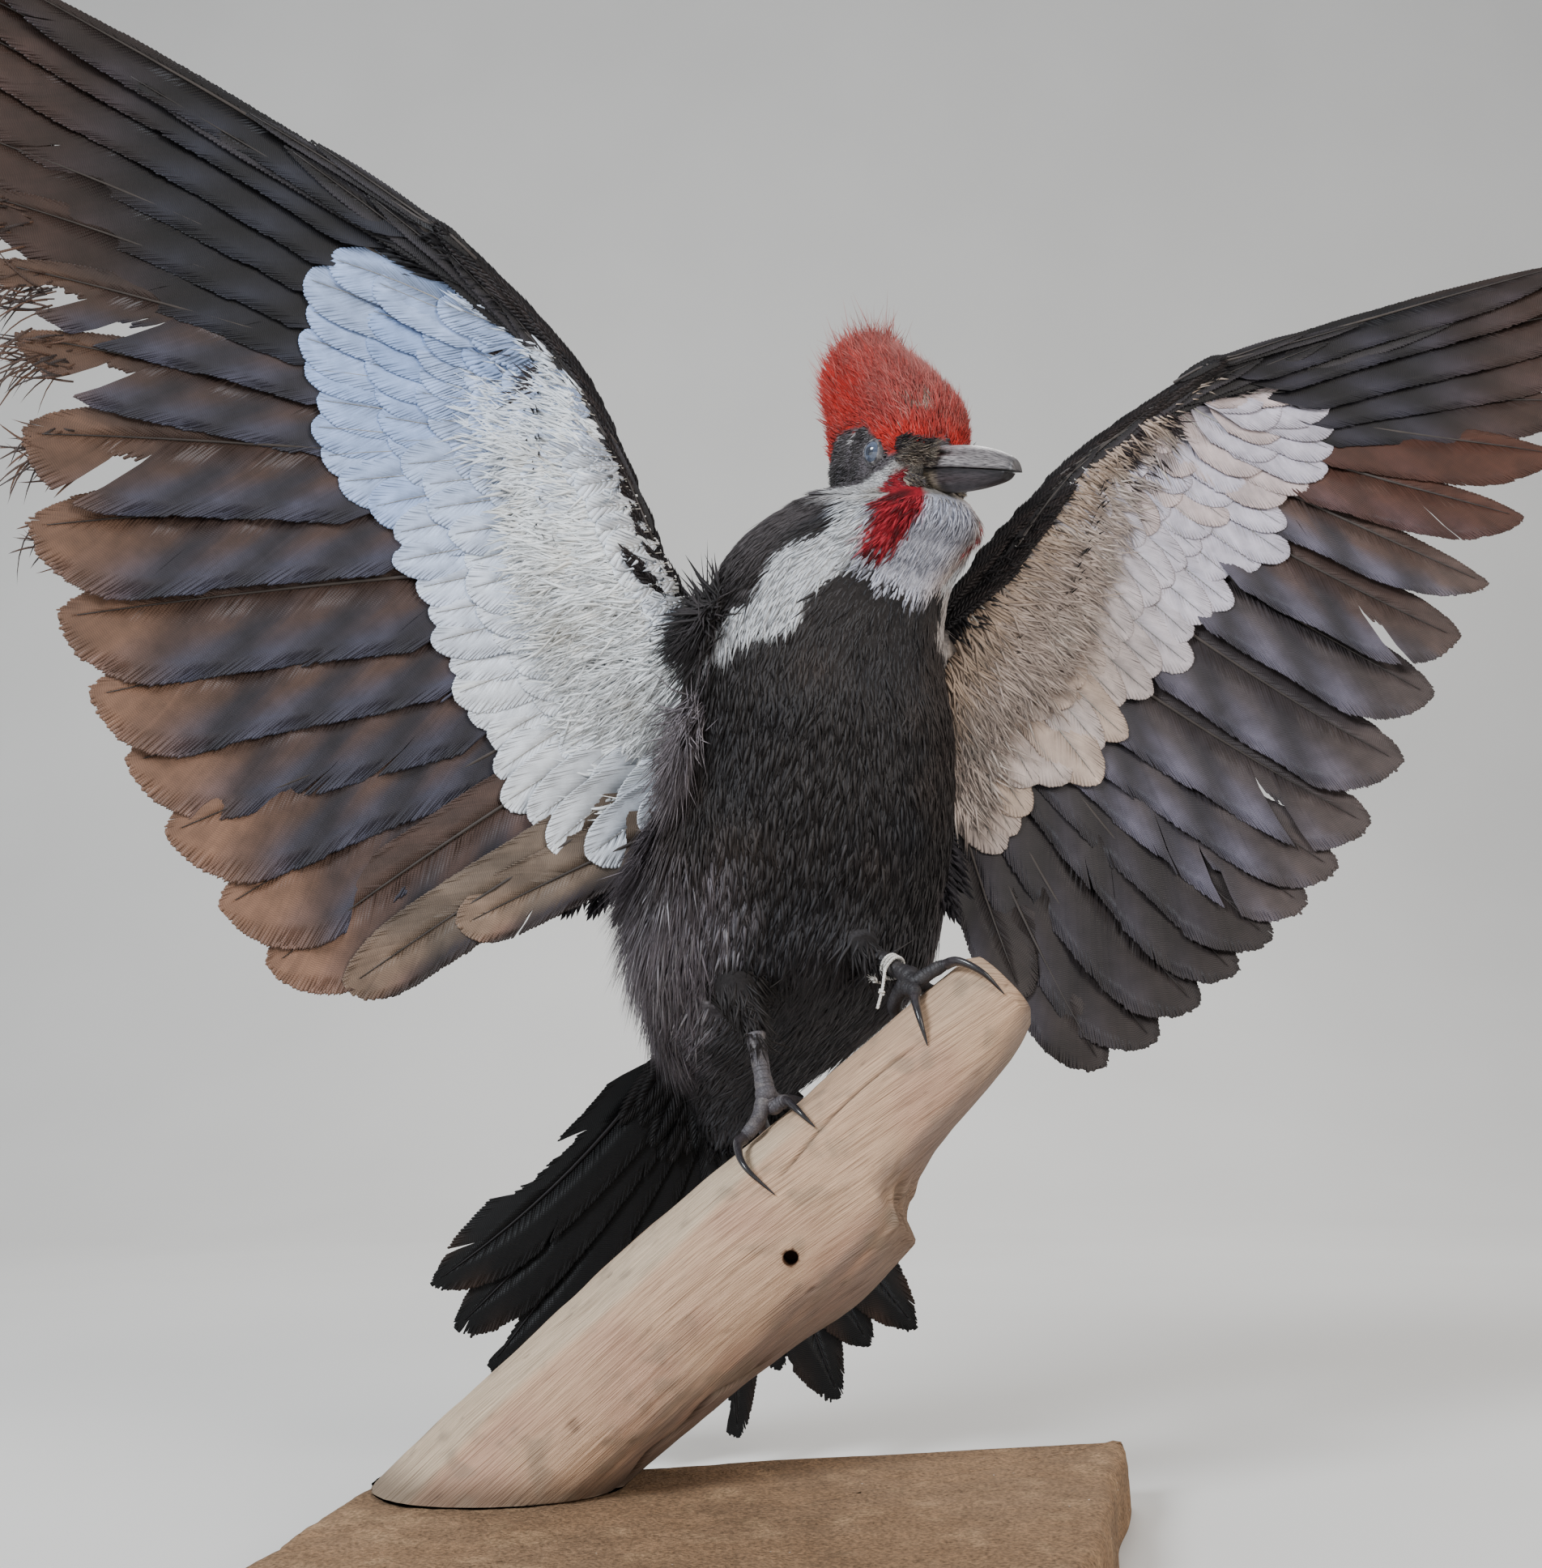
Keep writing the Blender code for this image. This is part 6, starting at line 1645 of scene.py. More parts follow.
            def colour(f, v, e, sgn, right=right, warm_light_cast=warm_light_cast, cool_light_cast=cool_light_cast, spotted=spotted, tint_by=tint_by, row=row):
                # pale lining with painted light colour: a blue cast on the right wing, a warm beige cast on the left
                if right:
                    c = blend(np.broadcast_to(srgb(240, 245, 252), f.shape + (3,)), srgb(150, 180, 234), np.full(f.shape, 0.95 * cool_light_cast))
                    c = blend(c, srgb(200, 210, 228), np.full(f.shape, 0.35 * tint_by))
                    c = blend(c, c * 1.12, smooth01(v, 0.0, 0.10) * (1 - smooth01(v, 0.12, 0.3)))
                else:
                    c = blend(np.broadcast_to(srgb(206, 198, 202), f.shape + (3,)), srgb(190, 186, 206), np.full(f.shape, 0.6 * cool_light_cast))
                    c = blend(c, srgb(206, 178, 160), np.full(f.shape, 0.5 * (tint_by > 0.7)))
                c = blend(c, srgb(182, 158, 138), np.full(f.shape, 1.0) * warm_light_cast)
                c = blend(c, c * 0.9, (1 - smooth01(f, 0.2, 0.8)) * 0.8)
                if spotted:
                    c = blend(c, srgb(50, 42, 48), 0.95 * smooth01(f, 0.45, 0.6) * (1 - smooth01(v, 0.35, 0.65)) * (1 - smooth01(f, 0.9, 1.0)))
                return c

            plume(cover, path, sv, under, w, w * 0.85, colour, bake_at(side, ob), start=0.10, step=1.9 if row < 3 else 2.3,
                  height=height, tip_from=0.64, tip_len=5.5, point=0.40 + 0.14 * rng.rand(), split=5.0 if fluffy else 2.6,
                  fray=1.8 if fluffy else 0.5, shaft=(0.34, 0.12) if not fluffy else (0.2, 0.08),
                  shaft_colour=srgb(226, 222, 214), shade=0.97 + 0.06 * rng.rand(),
                  stations=(0.0, 0.5, 0.95) if row < 2 else (0.0, 0.93), shape=(1.0, 1.05, 1.0) if row < 2 else (1.0, 1.0),
                  angles=(44.0, 22.0) if not fluffy else (52.0, 30.0))
    if cover.parts:
        cover.build("lining_coverts_inner_" + side, SOFT, "wing_plumage")
    print("lining inner", side, cover.tris)

    # loose down over the roots of the lining, longest and thickest towards the body
    n_down = 5600
    cand = np.stack([rng.uniform(-46, 150, n_down * 5), rng.uniform(-46, 100, n_down * 5)], -1)
    rows = np.array(QUILLS[side], float)
    along_b = np.stack([np.interp(np.linspace(0, count - 1, 200), np.arange(count), rows[:, 0, i]) for i in (0, 1)], -1)
    along_t = np.stack([np.interp(np.linspace(0, count - 1, 200), np.arange(count), rows[:, 1, i]) for i in (0, 1)], -1)
    vv = unit(along_t - along_b)
    rel = cand[:, None] - along_b[None]
    inset_at = -(rel * vv[None]).sum(-1)
    across = np.abs(rel[..., 0] * vv[None, :, 1] - rel[..., 1] * vv[None, :, 0]) + np.where(inset_at < 0, 1e3, 0.0)
    pick_k = np.argmin(across, 1)
    deep = inset_at[np.arange(len(cand)), pick_k]
    ok = (across[np.arange(len(cand)), pick_k] < 8) & (cand[:, 1] - np.interp(cand[:, 0], *limit) > 2.0)
    want = smooth01(deep, np.interp(cand[:, 0], [-40, 40, 110], [14, 32, 52]), np.interp(cand[:, 0], [-40, 40, 110], [34, 54, 78]))
    want = np.maximum(want, 1 - smooth01(cand[:, 1] - np.interp(cand[:, 0], *limit), 5, 13)) * (cand[:, 0] < 128)
    ok &= rng.rand(len(cand)) < want
    cand, pick_k = cand[ok][:n_down], pick_k[ok][:n_down]
    place = wing_place(side, cand, 1.2 + 0.8 * rng.rand(len(cand)), 1.0)
    dir2 = vv[pick_k]
    d3 = dir2[:, :1] * out + dir2[:, 1:] * back
    nn = np.tile(under, (len(cand), 1))
    d3 = turn(d3, nn, rng.randn(len(cand)) * 10 + 36 * (noise(place, 15.0, 81) - 0.5))
    close = smooth01(-cand[:, 0], -90, 10)
    size = (11.0 + 7.0 * close) * (0.7 + 0.6 * rng.rand(len(cand)))
    # painted light colour: the right wing's down white with a cool blue cast growing outwards, the left wing's beige
    # with a warm cast
    if right:
        hue = blend(np.tile(srgb(252, 254, 255), (len(cand), 1)), srgb(200, 216, 244), 0.8 * smooth01(cand[:, 0], 40, 130))
        hue = blend(hue, srgb(228, 218, 200), 0.45 * smooth01(rough(place, 12.0, 82), 0.55, 0.78))
    else:
        hue = blend(np.tile(srgb(196, 178, 168), (len(cand), 1)), srgb(214, 206, 208), smooth01(cand[:, 0], 50, 130) * 0.8)
        hue = blend(hue, srgb(224, 214, 206), 0.6 * smooth01(rough(place, 12.0, 82), 0.45, 0.7))
        hue = blend(hue, srgb(172, 146, 122), 0.7 * smooth01(np.interp(cand[:, 0], *limit) + 16 - cand[:, 1], 0, 14))
    spot_at = (84, 112, -40, -20) if right else (92, 134, -38, -12)
    spots = (cand[:, 0] > spot_at[0]) & (cand[:, 0] < spot_at[1]) & (cand[:, 1] > spot_at[2]) & (cand[:, 1] < spot_at[3]) \
        & (rough(place, 5.0, 83) > 0.52)
    hue = np.where(spots[:, None], srgb(54, 46, 48), hue)
    look = wing_look(side, cand)
    coat_of("lining_down_" + side, "wing_plumage", SOFT, [dict(
        p=place, d=d3, n=nn, length=size, half=0.74 * (0.6 + 0.7 * rng.rand(len(cand))),
        lift=0.07 + 0.10 * rng.rand(len(cand)), settle=0.09 + 0.06 * rng.rand(len(cand)), sweep=0.22 * rng.randn(len(cand)),
        tip_c=hue * (0.93 + 0.12 * rng.rand(len(cand)))[:, None], root_c=hue * 0.97, stations=(0.0, 0.4), shape=(0.8, 1.0),
        bake=np.stack([0.03 + 0.94 * np.clip((look[:, 2] + 0.5) / 22.0, 0, 1), 0.03 + 0.94 * np.clip(look[:, 3], 0, 1)], -1))])

    # upper side: black coverts in rows
    top = Pile()
    for row in range(6):
        ln = (46, 38, 31, 26, 22, 18)[row]
        half_w = (10, 9, 8, 7, 6, 5.5)[row]
        u = 0.2 + 0.3 * (row % 2)
        while u < 20.6:
            ss, pts, cum = rib_line(side, u)
            reach_s = np.interp(u, [0, 6, 9, 14, 20], [0.40, 0.42, 0.44, 0.46, 0.5])
            tip_at = float(np.interp(reach_s, ss, cum)) - row * 13.0 + rng.randn() * 1.2
            if tip_at > 9:
                root_at = max(tip_at - ln, 1.0)
                s_root, s_tip = np.interp([root_at, tip_at - 3.0], cum, ss)
                path, pu, ps = wing_path(side, u + 0.15, u - 0.15, s_root, s_tip, 10, 0.2, 1.8 + 0.2 * row, -1.0)
                sv = side_of(side, path, under)
                w = half_w * (0.9 + 0.25 * rng.rand())

                def height(x, y, f, w=w):
                    return 0.06 * y + 1.0 * (np.abs(y) / w) ** 2

                def colour(f, v, e, sgn):
                    return blend(np.broadcast_to(srgb(34, 32, 36), f.shape + (3,)), srgb(52, 50, 56), smooth01(f, 0.3, 1.0))

                plume(top, path, sv, under, w, w * 0.85, colour, wing_bake(u, s_root, s_tip), start=0.12, step=3.9,
                      height=height, tip_from=0.5, tip_len=6.0, point=0.7, split=3.0, fray=0.8, shaft=(0.35, 0.1),
                      stations=(0.0, 0.5), shape=(1.0, 1.0), angles=(50.0, 24.0), ridge=-0.14)
            u += 0.62 if u > 8 else 0.8
    # shoulder feathers: broad black ones from the back over the roots of the innermost quills
    for row, (tip_back, ln) in enumerate(((127.0, 76.0), (95.0, 62.0), (64.0, 48.0))):
        for x0 in np.arange(-62.0 if right else -70.0, 44.0, 8.0):
            tip_ob = np.array([x0 - 5.0 + 3.0 * rng.randn(), tip_back - 0.16 * abs(x0 + 10.0) + 3.0 * rng.randn()])
            root_ob = tip_ob - np.array([-0.16, 1.0]) * ln
            ob = arc(root_ob, tip_ob - np.array([0.0, 7.0]), 0.03, 14)
            path = wing_place(side, ob, -(2.4 + 0.7 * row + 0.5 * rng.rand()), -1.0)
            sv = side_of(side, path, under)
            w = 8.6 * (0.9 + 0.25 * rng.rand())
            plume(top, path, sv, under, w, w * 0.9,
                  lambda f, v, e, sgn: blend(np.broadcast_to(srgb(34, 32, 36), f.shape + (3,)), srgb(54, 51, 56), smooth01(f, 0.3, 1.0)),
                  bake_at(side, ob), start=0.10, step=3.6, height=lambda x, y, f, w=w: 0.05 * y + 0.9 * (np.abs(y) / w) ** 2,
                  tip_from=0.6, tip_len=7.0, point=0.66, split=2.6, fray=0.9, shaft=(0.4, 0.1), stations=(0.0, 0.5),
                  shape=(1.0, 1.0), angles=(48.0, 24.0), ridge=-0.14)
    # front edge: narrow black feathers lying outwards over one another
    for lap in range(3):
        for u in np.arange(20.6, 1.0, -0.42):
            s = (0.0, 0.03, 0.0)[lap] + 0.01 * rng.rand()
            lift_side = (1.0, 1.0, -1.0)[lap]
            if lap == 1 and (2.0 < u < 3.2 or (8.5 < u < (20.0 if right else 14.0))):
                continue
            du = np.interp(u, [0, 8, 14, 21], [4.0, 3.6, 2.6, 2.2])
            q = np.linspace(0, 1, 9)
            uu = np.clip(u - du * q, -0.5, 21)
            sq = s + 0.02 * q * (1 + lap)
            hh = wing_thick(uu, np.clip(sq, 0, 1)) / 2 * lift_side * (0.8 + 0.5 * q) + lift_side * 0.5
            path = wing_at(side, uu, sq, hh)
            sv = side_of(side, path, under)
            w = 2.6 + 0.9 * rng.rand()

            def height(x, y, f, w=w, lift_side=lift_side):
                return -lift_side * 0.5 * (np.abs(y) / w) ** 2 - lift_side * 0.12 * np.abs(np.minimum(y, 0))

            def colour(f, v, e, sgn, g=rng.rand()):
                return blend(np.broadcast_to(srgb(24, 21, 23), f.shape + (3,)), srgb(56, 46, 44), 0.6 * g * smooth01(f, 0.4, 1.0))

            plume(top, path, sv, under, w, w, colour, wing_bake(u, s, s), start=0.1, step=2.2, height=height,
                  tip_from=0.5, tip_len=4.0, split=3.0, fray=1.0, shaft=(0.3, 0.1), stations=(0.0, 0.5), shape=(1.0, 1.0),
                  ridge=0.14 * lift_side, point=0.9)
    # bastard wing
    for j, (u, ln) in enumerate(((9.4, 38), (9.0, 33), (8.7, 27))):
        q = np.linspace(0, 1, 14)
        uu = u - (0.5 + ln * 0.085) * q
        path = wing_at(side, uu, 0.02 + 0.035 * q + 0.012 * j, -wing_thick(uu, 0.05 + 0 * uu) / 2 * 0.6 - 1.0)
        sv = side_of(side, path, under)
        plume(top, path, sv, under, 5.0, 3.0, lambda f, v, e, sgn: np.broadcast_to(srgb(38, 35, 38), f.shape + (3,)),
              wing_bake(u, 0.02, 0.06), start=0.05, step=1.8, tip_from=0.7, tip_len=6.0, shaft=(0.6, 0.2))
    top.build("upper_coverts_" + side, GLOSSY, "wing_plumage")
    print("top", side, top.tris)

# --------------------------------------------------------------------------
# tail
# --------------------------------------------------------------------------
rectrices = Pile()
for k in range(12):
    from_mid = abs(k - 5.5)
    reach = 160.0 * (1 - 0.14 * (from_mid / 5.5) ** 2.2)
    s1 = (1 - 10.0 / reach) * {6: 0.90, 8: 0.86, 10: 0.93}.get(k, 1.0)
    q = np.linspace(0.05, s1, 34)
    lift = (from_mid - 2.6) * 0.75
    path = tail_at(float(k), q, lift)
    tan = unit(np.gradient(path, axis=0))
    sv = np.cross(tan, TAIL_NORMAL)
    sv = unit(sv * np.sign((sv * TAIL_SIDE).sum(1, keepdims=True)))
    if k > 5:
        sv = -sv
    w_in, w_out = 17.5 - 0.3 * from_mid, 12.0
    bow = 0.5 * rng.randn()

    def height(x, y, f, w=w_in, bow=bow):
        return 0.05 * y - 1.2 * (np.abs(y) / w) ** 2 + bow * smooth01(f, 0.5, 1.0)

    def colour(f, v, e, sgn, g=rng.rand()):
        c = blend(np.broadcast_to(srgb(8, 8, 9), f.shape + (3,)), srgb(20, 18, 19), 0.5 * smooth01(v, 0.5, 1.0))
        return blend(c, srgb(84, 60, 46), (0.15 + 0.3 * g) * smooth01(f, 0.88, 1.02) * smooth01(v, 0.2, 0.8))

    tears = [(0.86, 0.95, 1.0, 0.35)] if k in (3, 7) else [(0.30, 0.60, -1.0, 0.55)] if k == 0 else [(0.5, 0.62, -1.0, 0.5)] if k == 11 else []
    if k in (2, 3):
        tears.append((0.78, 0.97, -1.0, 0.3))
    plume(rectrices, path, sv, TAIL_NORMAL, w_in, w_out, colour,
          lambda f, k=k: np.stack([np.full(len(np.atleast_1d(f)), 0.04 + 0.92 * k / 11.0), 0.04 + 0.92 * np.clip(np.atleast_1d(f), 0, 1)], -1),
          start=0.05, step=1.6, height=height, tip_from=0.66, tip_len=10.0, point=0.66, split=4.5, fray=2.0,
          shaft=(1.1, 0.3), shaft_colour=srgb(40, 36, 38), tears=tears)
# coverts over the tail's root, above and below
for lap, up_side in ((0, 1.0), (1, 1.0), (0, -1.0), (1, -1.0), (2, -1.0)):
    for k in np.arange(0.5, 11.3, 1.15):
        ln = 40.0 - 7.0 * lap + 4 * rng.randn()
        s0 = 0.02 + 0.02 * lap
        kk = k + 0.3 * rng.randn()
        q = np.linspace(0, 1, 10)
        path = tail_at(kk, s0 + q * ln / 160.0, 0.0)
        path = path + TAIL_NORMAL * (up_side * (5.2 - 1.2 * q + 1.3 * lap))[:, None]
        tan = unit(np.gradient(path, axis=0))
        sv = unit(np.cross(tan, TAIL_NORMAL))
        g = rng.rand()
        plume(rectrices, path, sv, TAIL_NORMAL * up_side, 6.0, 6.0,
              lambda f, v, e, sgn, g=g: np.broadcast_to(srgb(16 + 12 * g, 15 + 9 * g, 16 + 8 * g), f.shape + (3,)),
              lambda f, kk=kk: np.stack([np.full(len(np.atleast_1d(f)), 0.04 + 0.92 * np.clip(kk, 0, 11) / 11.0), 0.04 + 0.2 * np.clip(np.atleast_1d(f), 0, 1)], -1),
              start=0.1, step=2.2, tip_from=0.45, tip_len=6.0, split=6.0, fray=1.6, shaft=(0.3, 0.1),
              stations=(0.0, 0.5), shape=(1.0, 1.0))
tail_obj = rectrices.build("tail_feathers", GLOSSY, "tail_plumage")
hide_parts("tail")
print("tail", rectrices.tris)

# --------------------------------------------------------------------------
# skin object, with sockets and lids
# --------------------------------------------------------------------------
EYE_AT = (-17.0, 17.7, 3.4)
EYE_R = 5.4


def eye_frame(sign):
    """Centre, outward axis and the two axes across the eye."""
    c = head_pt(EYE_AT[0], sign * EYE_AT[1], EYE_AT[2])
    out = unit(H_LEFT * sign * 0.93 + H_FWD * 0.36)
    upv = unit(H_UP - out * H_UP.dot(out))
    fwd = np.cross(upv, out) * sign
    if fwd.dot(H_FWD) < 0:
        fwd = -fwd
    return c, out, upv, fwd


skin_verts = SV.copy()
for _, sign in SIDES:
    c, out, upv, fwd = eye_frame(sign)
    d = skin_verts - c
    across_d = d - (d @ out)[:, None] * out
    r = np.linalg.norm(across_d, axis=1)
    depth = d @ out
    hit = (r < 6.2) & (depth > -8)
    skin_verts[hit] -= out * (np.maximum(depth[hit] + 1.5, 0) * (1 - smooth01(r[hit], 4.8, 6.2)))[:, None]

lid_v, lid_f, lid_c, lid_n = [], [], [], 0
for _, sign in SIDES:
    c, out, upv, fwd = eye_frame(sign)
    cols = 72
    a = 2 * np.pi * np.arange(cols) / cols
    open_x, open_y = 3.1, 3.9
    rows = []
    tones = []
    for j, (grow, rise, tone) in enumerate(((-0.35, -0.9, 0.25), (-0.05, -0.2, 0.5), (0.10, 0.35, 0.9), (0.45, 0.62, 1.0),
                                            (0.85, 0.50, 0.9), (1.15, 0.25, 0.6), (1.5, 0.42, 0.85), (1.9, 0.22, 0.6),
                                            (2.5, -0.1, 0.5), (3.4, -1.0, 0.4), (4.3, -2.6, 0.3))):
        bead = 1 + (0.10 * np.sin(a * 19 + j) + 0.05 * np.sin(a * 31 + 2 * j)) * (0.8 if 2 <= j <= 7 else 0.2)
        rx, ry = open_x + grow, open_y + grow
        x, y = np.cos(a) * rx, np.sin(a) * ry
        rr = np.sqrt(x * x + y * y)
        over = np.sqrt(np.maximum(EYE_R**2 - np.minimum(rr, EYE_R - 0.4) ** 2, 0.0)) + rise * bead
        over = np.where(rr > EYE_R - 0.4, over - (rr - (EYE_R - 0.4)) * 0.5, over)
        rows.append(c + x[:, None] * fwd + y[:, None] * upv + over[:, None] * out)
        patchy = np.clip(1.5 * noise(np.stack([np.cos(a) * 4, np.sin(a) * 4, 0 * a + j * 0.6], -1), 1.4, 77) - 0.35, 0.05, 1)
        pale = blend(np.broadcast_to(srgb(58, 55, 60), (cols, 3)), srgb(176, 172, 172),
                     np.clip(tone * patchy * (0.7 + 0.5 * rng.rand(cols)), 0, 1))
        tones.append(pale)
    rows = np.array(rows).reshape(-1, 3)
    lid_v.append(rows)
    lid_c.append(np.concatenate(tones))
    f = grid_faces(11, cols)
    lid_f.append(f + lid_n)
    lid_n += len(rows)

faces_all = [quads] + [f + len(skin_verts) for f in lid_f]
skin_all = np.concatenate([skin_verts] + lid_v)
skin_cols = np.concatenate([skin_colour * 0.75] + lid_c)
skin_me = mesh_of("skin", skin_all * MM, faces_all)
tint(skin_me, skin_cols)
# unwrap of the skin's own shape: round the trunk and along it, the head beside it
t_all, ang_all, _ = body_coords(skin_all)
al, le, upc = head_coords(skin_all)
on_head_v = np.linalg.norm(skin_all - head_pt(-26.0, 0.0, 16.0), axis=1) < 44
wrap_head = np.arctan2(le, upc + 2.0) / math.pi
uv_body = np.stack([0.02 + 0.62 * (ang_all + 180.0) / 360.0, 0.02 + 0.96 * np.clip(t_all / 1.32, 0, 1)], -1)
uv_head = np.stack([0.83 + 0.15 * wrap_head, 0.03 + 0.40 * np.clip((al + 58.0) / 60.0, 0, 1)], -1)
uv_v = np.where(on_head_v[:, None], uv_head, uv_body)
corner = np.empty(len(skin_me.loops), np.int32)
skin_me.loops.foreach_get("vertex_index", corner)
layer = skin_me.uv_layers.new(name="OFBake")
layer.data.foreach_set("uv", uv_v[corner].astype(np.float32).ravel())
skin_me.materials.append(SKIN)
skin = bpy.data.objects.new("skin", skin_me)
scene.collection.objects.link(skin)
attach(skin, "root")
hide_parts("trunk", "neck", "head", "crest", "thigh_left", "thigh_right",
            "wing_outer_left", "wing_outer_right", "wing_inner_left", "wing_inner_right")

# --------------------------------------------------------------------------
# eyes
# --------------------------------------------------------------------------
glass = Nodes("eye_glass")
at = glass.new("ShaderNodeAttribute", attribute_name="tint")
place = glass.new("ShaderNodeTexCoord")
streaks = glass.new("ShaderNodeTexNoise")
glass.join(place.outputs["Object"], streaks.inputs["Vector"])
streaks.inputs["Scale"].default_value = 700.0
streaks.inputs["Detail"].default_value = 5.0
glass.join(glass.mix("MULTIPLY", 1.0, at.outputs["Color"],
                     glass.ramp(streaks.outputs["Fac"], [(0.3, (0.6, 0.6, 0.62)), (0.7, (1.25, 1.25, 1.25))])),
           glass.shader.inputs["Base Color"])
glass.set(Roughness=0.12, Specular_IOR_Level=0.6, Coat_Weight=1.0, Coat_Roughness=0.03)
for side, sign in SIDES:
    c, out, upv, fwd = eye_frame(sign)
    rings, tones = [], []
    cols = 56
    a = 2 * np.pi * np.arange(cols) / cols
    for th in np.linspace(0.02, math.pi - 0.02, 56):
        r = EYE_R * math.sin(th)
        bulge = 0.35 * math.exp(-(th / 0.62) ** 2)
        rings.append(c + (np.cos(a) * r)[:, None] * fwd + (np.sin(a) * r)[:, None] * upv
                     + (EYE_R * math.cos(th) + bulge) * out)
        ray = 0.85 + 0.25 * np.sin(a * 23 + 3 * math.sin(9 * th)) * math.sin(th * 2)
        if th < 0.34:
            tone = np.broadcast_to(srgb(40, 46, 58), (cols, 3))
        elif th < 0.80:
            tone = blend(np.broadcast_to(srgb(78, 90, 112), (cols, 3)), srgb(112, 120, 136), np.full(cols, 0.5 * (th - 0.34) / 0.46)) * ray[:, None]
        else:
            tone = np.broadcast_to(srgb(44, 48, 58), (cols, 3))
        tones.append(tone)
    v, f = loft_arrays(np.array(rings))
    cc = np.concatenate(tones + [tones[0][:1], tones[-1][:1]])
    object_of("eyeball_" + side, v, f, glass.material, ("eye_" + side,), cc)

# --------------------------------------------------------------------------
# bill: ridged upper half with a nostril groove, plainer lower half
# --------------------------------------------------------------------------
horn = Nodes("bill_horn")
at = horn.new("ShaderNodeAttribute", attribute_name="tint")
uvn = horn.new("ShaderNodeUVMap", uv_map="lie")
scale_by = horn.new("ShaderNodeMapping")
horn.join(uvn.outputs["UV"], scale_by.inputs["Vector"])
scale_by.inputs["Scale"].default_value = (0.10, 1.6, 1.0)
streak_n = horn.new("ShaderNodeTexNoise")
horn.join(scale_by.outputs["Vector"], streak_n.inputs["Vector"])
streak_n.inputs["Scale"].default_value = 2.2
streak_n.inputs["Detail"].default_value = 6.0
horn.join(horn.mix("MULTIPLY", 1.0, at.outputs["Color"],
                   horn.ramp(streak_n.outputs["Fac"], [(0.41, (0.24, 0.23, 0.24)), (0.48, (0.80, 0.80, 0.80)), (0.60, (1.40, 1.39, 1.38))])),
          horn.shader.inputs["Base Color"])
horn.bump(streak_n.outputs["Fac"], 0.5, 0.0003)
horn.set(Roughness=0.38, Specular_IOR_Level=0.5)


def with_lie(obj, lie):
    me = obj.data
    corner = np.empty(len(me.loops), np.int32)
    me.loops.foreach_get("vertex_index", corner)
    layer = me.uv_layers.new(name="lie")
    layer.data.foreach_set("uv", lie[corner].astype(np.float32).ravel())
    return obj


